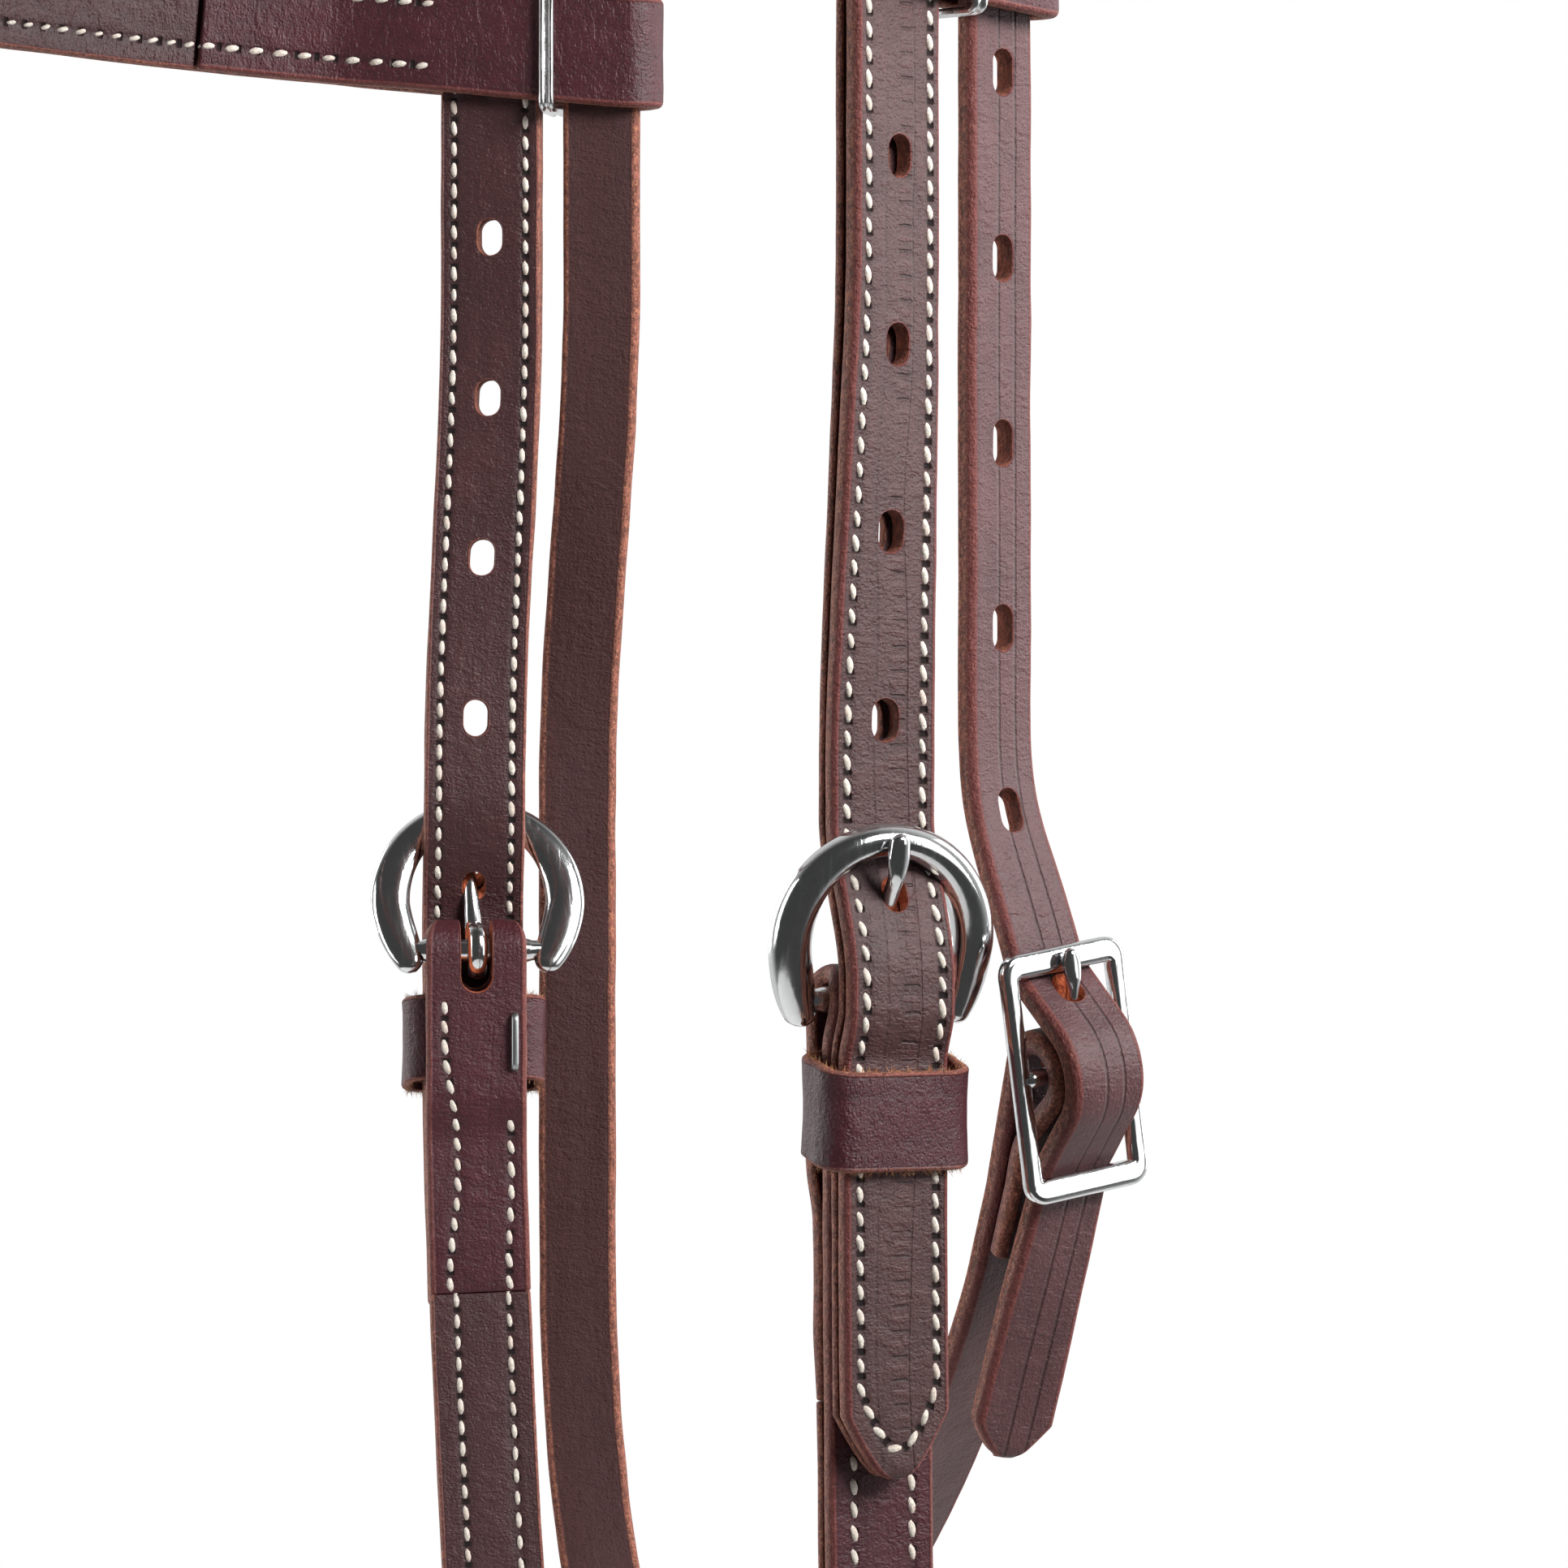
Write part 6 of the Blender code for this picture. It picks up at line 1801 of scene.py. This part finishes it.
class HEADSTALL_OT_cheeks(Dress, bpy.types.Operator):
    """Cheek straps: folded round the buckle bar and the bit, with a lining between the tails"""

    bl_idname = "headstall.cheeks"
    bl_label = "Cheek straps"

    def make(self):
        for side, name in SIDES:
            route, marks = cheek_route(side)
            face = 1 if side == NEAR else -1
            lay = Lay(route, face)
            run = {key: lay.run[min(index, len(lay.run) - 1)] for key, index in marks.items()}
            middle = (run["fold"] + run["front"]) / 2
            reach = run["front"] - run["fold"] + SLOT_EXTRA
            slot = Hole(middle, SLOT_WIDTH, reach, field=WIDE_FIELD, fresh=1)
            holes = [slot]
            for index in range(2):
                drop = BIT_EYE_DROP - BIT_NECK - BIT_SCREW_FIRST - BIT_SCREW_PITCH * index
                for y in (run["front"] + drop, run["tail"] + BIT_SCREW_FIRST + BIT_SCREW_PITCH * index):
                    holes.append(Hole(y, SCREW_HOLE, SCREW_HOLE, field=WIDE_FIELD))
            rear, fore = self.tail_rows(run["fold"])
            neck = run["neck"] - FRONT_ROW_SHORT
            start = run["front"] + FRONT_ROW_DROP
            front = [[(x, start), (x, neck)] for x in (-FRONT_ROW, FRONT_ROW)]
            seams = [Seam(places) for places in (rear, fore, *front)]
            pinch = (middle, FOLD_PINCH, FOLD_PINCH_SPREAD)
            blank = Blank(
                f"{name}_cheek", lay, CROWN_WIDTH, CHEEK, holes, seams=seams, pinch=pinch, skive=TAIL_SKIVE
            )
            piece = f"{name}_cheek_leather"
            strap(piece, blank, "cheek", "strap_leather", "headstall", f"{name}_cheek_strap")
            sew(f"{name}_cheek_stitches", blank, seams, "headstall", 20 + side)
            self.lining(side, name)

    @staticmethod
    def tail_rows(fold):
        """The rows on the fold's tail. The forward one starts below the slot and bends in, the other below
        the staple."""
        fore = []
        for y in np.linspace(TAIL_ROW_START, fold - FORE_ROW_DROP, 40):
            drop = fold - y
            bend = FORE_IN * ease(drop, *FORE_IN_DROPS) - FORE_OUT * ease(drop, *FORE_OUT_DROPS)
            fore.append((FORE_ROW + bend, y))
        rear = []
        for y in np.linspace(TAIL_ROW_START, fold - REAR_ROW_DROP, 30):
            rear.append((REAR_ROW - REAR_IN * ease(fold - y, *REAR_IN_DROPS), y))
        return rear, fore

    def lining(self, side, name):
        rearward = side_frame(side, BUCKLE_YAW[side])[1]
        out = cheek_front(KEEPER_TOP_DROP) - CHEEK / 2 - GAP - LINING / 2
        top = TOP_TAIL_DROP + GAP / 2
        low = BIT_EYE_DROP - BIT_NECK - BIT_TAIL - GAP
        route = [(cheek_point(side, 0, out, drop), rearward) for drop in np.arange(top, low, STEP)]
        route.append((cheek_point(side, 0, out, low), rearward))
        lay = Lay(route, -1 if side == NEAR else 1)
        seams = [Seam([(x, ROW_END), (x, lay.total - ROW_END)]) for x in LINING_ROWS]
        blank = Blank(f"{name}_cheek_inner", lay, CROWN_WIDTH, LINING, seams=seams)
        piece = f"{name}_cheek_inner_leather"
        strap(piece, blank, "lining", "lining_leather", "headstall", f"{name}_cheek_lining")
        small = dict(Slant=0.0002, Width=0.0010)
        sew(f"{name}_cheek_inner_stitches", blank, seams, "headstall", 30 + side, **small)


class HEADSTALL_OT_keepers(Dress, bpy.types.Operator):
    """Keeper loops with their fuzzy cut edges, and the wire staples behind them"""

    bl_idname = "headstall.keepers"
    bl_label = "Keepers and staples"

    def make(self):
        for side, name in SIDES:
            self.keeper(side, name)
            self.staple(side, name)

    def keeper(self, side, name):
        back = keeper_back()
        front = billet_outward(KEEPER_TOP_DROP) + CROWN / 2 + GAP + KEEPER / 2
        width = CROWN_WIDTH + 2 * KEEPER_SIDE_GAP + KEEPER
        drop = KEEPER_TOP_DROP + KEEPER_HEIGHT / 2
        loop = rounded_loop(width, front - back, KEEPER_CORNER, 12)
        loop = [(GAP / 2, -(front - back) / 2)] + loop + [(-GAP / 2, -(front - back) / 2)]
        middle = (front + back) / 2
        lower = KEEPER_SLANT / (front - back)
        route = []
        for x, y in dense_run(loop, STEP) + loop[-1:]:
            crown = KEEPER_BULGE * (1 - (2 * x / width) ** 2) if y > (front - back) * 0.3 else 0
            route.append((cheek_point(side, x, middle + y + crown, drop + y * lower), UP))
        lay = Lay(route, 1)
        centre = cheek_point(side, 0, middle, drop)
        probe = lay.frames(np.array([lay.total / 2]))
        if np.dot(probe[3][0], probe[0][0] - np.array(centre)) < 0:
            lay = Lay(route, -1)
        blank = Blank(f"{name}_keeper_band", lay, KEEPER_HEIGHT, KEEPER, ripple=0.8)
        strap(f"{name}_keeper_leather", blank, "keeper", "keeper_leather", "headstall", f"{name}_keeper")
        self.fringe(side, name, lay)

    def fringe(self, side, name, lay):
        runs, outs = [], []
        y = np.arange(ROW_END, lay.total - ROW_END, FRINGE_STEP)
        for sign in (-1, 1):
            x = np.full(len(y), sign * (KEEPER_HEIGHT / 2 - FRINGE_ROOT))
            flat = np.column_stack([x, y, np.full(len(y), -2 * FRINGE_ROOT)])
            runs.append((lay.place(flat), False))
            outs.append(lay.frames(y)[1] * sign)
        guide = guide_mesh(f"{name}_fringe", runs, out=np.concatenate(outs))
        piece = repeater(fringe_tree).make(
            f"{name}_keeper_fibres",
            guide,
            **FIBRES,
            Seed=5 + side,
            Material=look("fibre"),
        )
        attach(piece, "headstall")

    def staple(self, side, name):
        outward_ = cheek_tail(STAPLE_DROP) - CHEEK / 2 - GAP - STAPLE_RADIUS
        half = STAPLE_LENGTH / 2
        across = side * STAPLE_OFFSET
        bend = STAPLE_BEND
        line = [(outward_ + STAPLE_REACH, -half), (outward_ + bend, -half)]
        for a in np.linspace(0, math.pi / 2, 7)[1:]:
            line.append((outward_ + bend * (1 - math.sin(a)), -half + bend * (1 - math.cos(a))))
        line += [(out, -down) for out, down in line[::-1]]
        points = [cheek_point(side, across, out, STAPLE_DROP + down) for out, down in line]
        rearward = side_frame(side, BUCKLE_YAW[side])[1]
        mesh = rod(f"{name}_staple", points, *STAPLE_SECTION, rearward, around=14, power=0.8)
        node = f"{name}_keeper_staple"
        metal(f"{name}_staple_wire", mesh, "headstall", node, finish="wire", slot="steel_wire")


# The width of a tongue along its reach, as shares of its radius
TONGUE_SHARES = ((0, 1.35), (0.2, 1.28), (0.45, 1.05), (0.74, 0.95), (0.82, 1.10), (0.9, 1.45), (1, 1.25))
THROAT_TONGUE_SHARES = ((0, 1.0), (0.5, 0.9), (0.7, 0.85), (0.86, 1.35), (0.95, 1.45), (1, 1.0))


class HEADSTALL_OT_cheek_buckles(Dress, bpy.types.Operator):
    """Horseshoe buckles with their heel bars and tongues"""

    bl_idname = "headstall.cheek_buckles"
    bl_label = "Horseshoe buckles"

    def make(self):
        for side, name in SIDES:
            stand = cheek_buckle_stand(side)
            points, sizes = rounded_ends([stand(x, 0, 0) for x in BAR_PLACES], BAR_SIZES)
            bar = rod(f"{name}_bar", points, sizes, sizes, UP, around=24)
            ring = ring_mesh(f"{name}_ring", stand, side)
            both = joined(f"{name}_horseshoe", [ring, bar])
            metal(f"{name}_horseshoe", both, f"{name}_frame", f"{name}_buckle_frame")
            line = BAR_RADIUS + RUNNING_GAP + TONGUE_RADIUS
            reach = RING_HEIGHT - TONGUE_SHORT
            lean = TONGUE_LEAN * side
            mesh = tongue_mesh(
                f"{name}_tongue", stand, line, reach, TONGUE_RADIUS, lean, TONGUE_SHARES, TONGUE_BOW
            )
            metal(f"{name}_tongue_bar", mesh, f"{name}_tongue", f"{name}_buckle_tongue")


class HEADSTALL_OT_browband(Dress, bpy.types.Operator):
    """Browband, folded back round the crown and the throatlatch, its lining and its two clips"""

    bl_idname = "headstall.browband"
    bl_label = "Browband"

    def make(self):
        near, far = brow_end(NEAR), brow_end(FAR)
        lay = Lay(near + far[::-1], -1)
        row = BROW_WIDTH / 2 - BROW_ROW_INSET
        seams = []
        for sign in (-1, 1):
            for side in (NEAR, FAR):
                tail = [(sign * row, y) for y in BROW_TAIL_ROW]
                start = BROW_TAIL + loop_back(side) * 2 + math.pi * loop_offset() + BROW_ROW_GAP
                if side == FAR:
                    tail = [(x, lay.total - y) for x, y in tail]
                    begin = start
                else:
                    end = start
                seams.append(Seam(tail))
            seams.append(Seam([(sign * row, end), (sign * row, lay.total - begin)]))
        blank = Blank("browband", lay, BROW_WIDTH, BROW_OUTER, seams=seams)
        strap("browband_leather", blank, "browband", "strap_leather", "browband", "browband_outer")
        sew("browband_stitches", blank, seams, "browband", 41, Pitch=0.0036)
        touch = -(BROW_LINING + GAP) / 2
        halves = [
            [(brow_place(side, *place, touch), UP) for place in brow_line() if place[0] > BROW_TAIL + GAP]
            for side in (NEAR, FAR)
        ]
        inner_lay = Lay(halves[0] + halves[1][::-1], 1)
        seams = [Seam([(x, ROW_END), (x, inner_lay.total - ROW_END)]) for x in (-row, row)]
        inner = Blank("browband_inner", inner_lay, BROW_WIDTH, BROW_LINING, seams=seams)
        strap("browband_inner_leather", inner, "lining", "lining_leather", "browband", "browband_lining")
        small = dict(Pitch=0.0030, Length=0.0019, Width=0.0008)
        sew("browband_inner_stitches", inner, seams, "browband", 43, **small)
        for side, name in SIDES:
            self.clip(side, name)

    def clip(self, side, name):
        gap = THROAT_STEP[side] - CROWN_WIDTH / 2 - THROAT_WIDTH / 2
        back = CROWN_WIDTH / 2 + gap / 2
        hub = brow_place(side, -back, -back * math.cos(LOOP_YAW), -back * math.sin(LOOP_YAW), 0)
        normal, rearward = side_frame(side, LOOP_YAW)
        depth = 2 * (loop_offset() + BROW_OUTER / 2 + GAP) + CLIP_THICKNESS
        height = BROW_WIDTH + CLIP_SET + CLIP_THICKNESS
        loop = rounded_loop(depth, height, CLIP_CORNER, 9)
        loop = dense_run(loop + loop[:1], 2 * STEP)
        count = len(loop)
        rings = []
        for index in range(count):
            x, y = loop[index]
            x0, y0 = loop[index - 1]
            x1, y1 = loop[(index + 1) % count]
            run = Vector((x1 - x0, y1 - y0)).normalized()
            out = Vector((run.y, -run.x))
            ring = []
            for wide, high in CLIP_PROFILE:
                place = Vector((x, y)) + out * (high * CLIP_THICKNESS / 2)
                ring.append(hub + normal * place.x + UP * place.y + rearward * (wide * CLIP_WIDTH / 2))
            rings.append(ring)
        mesh = loft(f"{name}_clip_band", rings, closed=True)
        metal(f"{name}_clip", mesh, "browband", f"{name}_browband_clip", finish="clip")


# The clip band's section, in halves of its width and thickness: two rails and a hollow between them
CLIP_PROFILE = (
    (-1.0, -0.7), (-1.0, 0.35), (-0.88, 0.8), (-0.62, 1.0), (-0.36, 0.8), (-0.22, 0.2), (0.0, 0.0),
    (0.22, 0.2), (0.36, 0.8), (0.62, 1.0), (0.88, 0.8), (1.0, 0.35), (1.0, -0.7), (0.85, -1.0), (0.0, -1.0),
    (-0.85, -1.0),
)


def throat_screw_place():
    """The strap screw's place in the middle of the lower strap, and its direction out through the tail."""
    normal, z = throat_axes()[1:]
    up = -THROAT_SCREW_DROP
    out = normal * math.cos(main_angle()) - z * math.sin(main_angle())
    return throat_point(sway(up), main_outward(up), up), out


class HEADSTALL_OT_throatlatch(Dress, bpy.types.Operator):
    """Throatlatch: one creased strap through its buckle, over the poll and back to its fold"""

    bl_idname = "headstall.throatlatch"
    bl_label = "Throatlatch"

    def make(self):
        route, marks = throat_route()
        lay = Lay(route, -1)
        leg = lay.run[marks["leg"]]
        fold = lay.run[marks["fold"]]
        used = THROAT_BAR.z + THROAT_HOLE_RISE
        holes = []
        for index in range(SPARE_HOLES):
            y = lay.at_height(used + HOLE_PITCH * (index + 1), leg, leg + 0.2)
            holes.append(Hole(y, THROAT_HOLE_WIDTH, THROAT_HOLE_HEIGHT, taper=HOLE_TAPER, skew=HOLE_SKEW))
        belt = lay.at_height(throat_point(0, *THROAT_USED_PLACE).z, FREE_END, leg)
        holes.append(Hole(belt, *THROAT_USED_HOLE, shift=THROAT_USED_SHIFT, fresh=1))
        top = self.nearest(lay, throat_point(0, loop_radius() - SLACK, 0), fold, lay.total)
        holes.append(Hole(top - THROAT_SLOT_SET, *THROAT_SLOT))
        place, out = throat_screw_place()
        behind = self.nearest(lay, place, fold, top)
        for y in (behind, self.nearest(lay, place + out * (THROAT + GAP), top, lay.total)):
            holes.append(Hole(y, SCREW_HOLE, SCREW_HOLE, field=WIDE_FIELD))
        blank = Blank("throat", lay, THROAT_WIDTH, THROAT, holes, (THROAT_TIP, 0), ripple=1.3, edge=1.3)
        strap("throat_leather", blank, "throat", "throat_leather", "headstall", "throat_strap")

    @staticmethod
    def nearest(lay, place, low, high):
        y = np.arange(low, high, STEP / 4)
        gap = np.linalg.norm(lay.blend(lay.centre, y) - np.array(place), axis=1)
        return y[np.argmin(gap)]


class HEADSTALL_OT_throat_buckle(Dress, bpy.types.Operator):
    """Centre-bar buckle of the throatlatch, with its tongue"""

    bl_idname = "headstall.throat_buckle"
    bl_label = "Throatlatch buckle"

    def make(self):
        stand = Stand(*throat_axes(), THROAT_BAR)
        up = throat_axes()[2]
        loop = rounded_loop(THROAT_FRAME_WIDTH, THROAT_FRAME_HEIGHT, FRAME_CORNER, 10)
        loop = dense_run(loop + loop[:1], FRAME_STEP)
        points = [stand(x, 0, z) for x, z in loop]
        ends = THROAT_FRAME_HEIGHT / 2 - FRAME_STEP
        wide = np.array([END_HALF_WIDTH if abs(z) > ends else SIDE_HALF_WIDTH for _, z in loop])
        for _ in range(6):
            wide = (np.roll(wide, 1) + wide + np.roll(wide, -1)) / 3
        sides = []
        for index, (x, z) in enumerate(loop):
            x0, z0 = loop[index - 1]
            x1, z1 = loop[(index + 1) % len(loop)]
            sides.append(stand.matrix @ Vector((z1 - z0, 0, x0 - x1)).normalized())
        border = rod("throat_frame", points, wide, FRAME_HALF_DEPTH, sides, 24, closed=True, power=0.62)
        ends = [stand(x, 0, 0) for x in (-THROAT_FRAME_WIDTH / 2, THROAT_FRAME_WIDTH / 2)]
        places = [ends[0].lerp(ends[1], t) for t in np.linspace(0, 1, 8)]
        bar = rod("throat_bar", places, THROAT_WIRE, THROAT_WIRE, up)
        both = joined("throat_frame_bars", [border, bar])
        metal("throat_frame_bars", both, "throat_frame", "throat_buckle_frame")
        line = THROAT_WIRE + RUNNING_GAP + THROAT_TONGUE
        reach = THROAT_FRAME_HEIGHT / 2 + THROAT_TONGUE_PAST
        mesh = tongue_mesh(
            "throat_tongue", stand, line, reach, THROAT_TONGUE, 0, THROAT_TONGUE_SHARES, THROAT_TONGUE_BOW
        )
        metal("throat_tongue_bar", mesh, "throat_tongue", "throat_buckle_tongue")


class HEADSTALL_OT_screws(Dress, bpy.types.Operator):
    """Two-part strap screws of the bit ends and of the throatlatch's fold"""

    bl_idname = "headstall.screws"
    bl_label = "Strap screws"

    def make(self):
        for side, name in SIDES:
            heads, posts = [], []
            for index in range(2):
                drop = BIT_EYE_DROP - BIT_NECK - BIT_SCREW_FIRST - BIT_SCREW_PITCH * index
                place = cheek_point(side, 0, bit_middle(), drop)
                along = (place - cheek_point(side, 0, bit_middle(), drop + 2 * STEP)).normalized()
                rearward = side_frame(side, BUCKLE_YAW[side])[1]
                normal = rearward.cross(along).normalized() * side
                normal = normal if normal.y * side > 0 else -normal
                half = (2 * CHEEK + 3 * GAP) / 2
                heads.append((place + normal * half, normal, (along + rearward * (0.4 + index)).normalized()))
                posts.append((place - normal * half, -normal, along))
            nodes = [[f"{name}_bit_{kind}_{end}" for end in ("lower", "upper")] for kind in ("screw", "post")]
            self.pair(name + "_bit", heads, posts, BIT_SCREW_RADIUS, *nodes, half * 2)
        x, _, z = throat_axes()
        place, out = throat_screw_place()
        place += out * ((THROAT + GAP) / 2)
        half = (2 * THROAT + 3 * GAP) / 2
        heads = [(place + out * half, out, (x + z).normalized())]
        posts = [(place - out * half, -out, z)]
        nodes = [["throat_fold_screw"], ["throat_fold_post"]]
        self.pair("throat", heads, posts, THROAT_SCREW_RADIUS, *nodes, half * 2)

    def pair(self, name, heads, posts, radius, screw_nodes, post_nodes, grip):
        """Screws reach most of the way through their posts."""
        tree = repeater(screw_tree)
        for label, places, slot, shank, nodes, depth in (
            ("screws", heads, SCREW_SLOT, SCREW_SHANK, screw_nodes, grip * 0.4),
            ("posts", posts, POST_SLOT, POST_SHANK, post_nodes, grip * 0.55),
        ):
            spots, out, along = zip(*places)
            guide = guide_mesh(name, [([spot], False) for spot in spots], out=out, along=along)
            piece = tree.make(
                f"{name}_{label}_nickel",
                guide,
                Radius=radius,
                Height=SCREW_HEIGHT,
                Slot=slot,
                Shank=shank,
                Grip=depth,
                Material=look("nickel"),
            )
            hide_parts(*nodes)
            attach(piece, "headstall")


class HEADSTALL_OT_stage(Dress, bpy.types.Operator):
    """Pale floor, soft lamps and the camera"""

    bl_idname = "headstall.stage"
    bl_label = "Stage"

    def make(self):
        scene = bpy.context.scene
        scene.view_settings.view_transform = "Standard"
        self.camera(scene)
        self.world(scene)
        self.floor()
        self.lamp("key", (0.70, -0.55, 0.50), (0.5, 0.4), 3.6, 0.14, 70)
        self.lamp("right", (1.05, -0.38, 0.15), (0.5, 1.0), 2.8)
        self.lamp("left", (-1.05, -0.30, 0.10), (0.4, 1.0), 4.4)
        self.lamp("rear_right", (0.95, 0.45, 0.20), (0.4, 0.9), 5.5)
        self.lamp("rear_left", (-0.95, 0.55, 0.20), (0.4, 0.9), 5.5)

    def camera(self, scene):
        place = Vector((0, -HALF_SPAN, 0)) - RIGHT * CAMERA_SIDE - AHEAD * CAMERA_AWAY
        place.z = CAMERA_HEIGHT
        data = bpy.data.cameras.new("camera")
        data.sensor_width = SENSOR
        data.lens = PHOTO_FOCUS / PHOTO_SIZE * SENSOR
        data.shift_y = (PHOTO_LEVEL - PHOTO_SIZE / 2) / PHOTO_SIZE
        data.clip_start = 0.1
        data.clip_end = 30
        camera = bpy.data.objects.new("camera", data)
        turn = Matrix((RIGHT, UP, -AHEAD)).transposed().to_4x4()
        camera.matrix_world = Matrix.Translation(place) @ turn
        scene.collection.objects.link(camera)
        scene.camera = camera

    def world(self, scene):
        """White to the camera. In reflections, bright behind the object and dark on the camera's side."""
        made = bpy.data.worlds.new("studio")
        made.use_nodes = True
        sheet = Sheet(made.node_tree)
        plain = made.node_tree.nodes["Background"]
        spot = sheet.node("ShaderNodeTexCoord", {}, (), "Generated")
        facing = sheet.node("ShaderNodeVectorMath", {"operation": "DOT_PRODUCT"}, (spot, AHEAD), "Value")
        bright = facing.above(0.10, 0.45)
        light = sheet.mix(bright, (0.06, 0.06, 0.06), (0.80, 0.80, 0.80))
        ray = sheet.node("ShaderNodeLightPath", {}, (), "Is Camera Ray")
        colour_ = sheet.mix(ray, light, (1, 1, 1))
        made.node_tree.links.new(colour_.socket, plain.inputs["Color"])
        scene.world = made

    def floor(self):
        shape = bmesh.new()
        bmesh.ops.create_circle(shape, cap_ends=True, segments=96, radius=0.36)
        mesh = bpy.data.meshes.new("floor")
        shape.to_mesh(mesh)
        shape.free()
        for vert in mesh.vertices:
            vert.co.z = CAD_BOX[0].z - 0.10
        pale = Look("pale floor", Roughness=0.8)
        paper = pale.noise(pale.spot(), 30, 3)
        pale.feed("Base Color", pale.mix(paper, (0.80, 0.80, 0.79), (0.86, 0.86, 0.85)))
        ray = pale.node("ShaderNodeLightPath", {}, (), "Is Camera Ray")
        glow = pale.node("ShaderNodeEmission", {}, {"Color": (1, 1, 1, 1), "Strength": ray * 0.6})
        both = pale.node("ShaderNodeAddShader", {}, (Line(pale, pale.shader.outputs[0]), glow))
        pale.tree.links.new(both.socket, pale.tree.nodes["Material Output"].inputs[0])
        floor = bpy.data.objects.new("floor", mesh)
        mesh.materials.append(pale.material)
        bpy.context.scene.collection.objects.link(floor)

    def lamp(self, name, place, size, power, rise=0, spread=180):
        data = bpy.data.lights.new(name, "AREA")
        data.shape = "RECTANGLE"
        data.size, data.size_y = size
        data.energy = power
        data.spread = math.radians(spread)
        lamp = bpy.data.objects.new(name, data)
        centre = Vector((0, 0, -0.22))
        lamp.location = centre + RIGHT * place[0] + AHEAD * place[1] + UP * place[2]
        lamp.rotation_mode = "QUATERNION"
        lamp.rotation_quaternion = (centre + UP * rise - lamp.location).to_track_quat("-Z", "Y")
        bpy.context.scene.collection.objects.link(lamp)


OPERATORS = (
    HEADSTALL_OT_crown,
    HEADSTALL_OT_cheeks,
    HEADSTALL_OT_keepers,
    HEADSTALL_OT_cheek_buckles,
    HEADSTALL_OT_browband,
    HEADSTALL_OT_throatlatch,
    HEADSTALL_OT_throat_buckle,
    HEADSTALL_OT_screws,
    HEADSTALL_OT_stage,
)


class HEADSTALL_PT_panel(bpy.types.Panel):
    """Lists the pieces and their sizes and colours"""

    bl_label = "Western headstall"
    bl_space_type = "VIEW_3D"
    bl_region_type = "UI"
    bl_category = "Headstall"

    def draw(self, context):
        for group in ("strap", "stitch", "leather", "metal"):
            box = self.layout.box()
            part = getattr(context.scene.headstall, group)
            for name in part.bl_rna.properties.keys():
                if name not in ("rna_type", "name"):
                    box.prop(part, name)
        for operator in OPERATORS:
            self.layout.operator(operator.bl_idname)


CLASSES = (
    StrapSettings,
    StitchSettings,
    LeatherSettings,
    MetalSettings,
    HeadstallSettings,
    *OPERATORS,
    HEADSTALL_PT_panel,
)


def register():
    for made in CLASSES:
        bpy.utils.register_class(made)
    bpy.types.Scene.headstall = bpy.props.PointerProperty(type=HeadstallSettings)


def unregister():
    del bpy.types.Scene.headstall
    for made in reversed(CLASSES):
        bpy.utils.unregister_class(made)


def main():
    register()
    for operator in OPERATORS:
        getattr(bpy.ops.headstall, operator.bl_idname.split(".")[1])()


if __name__ == "__main__":
    main()
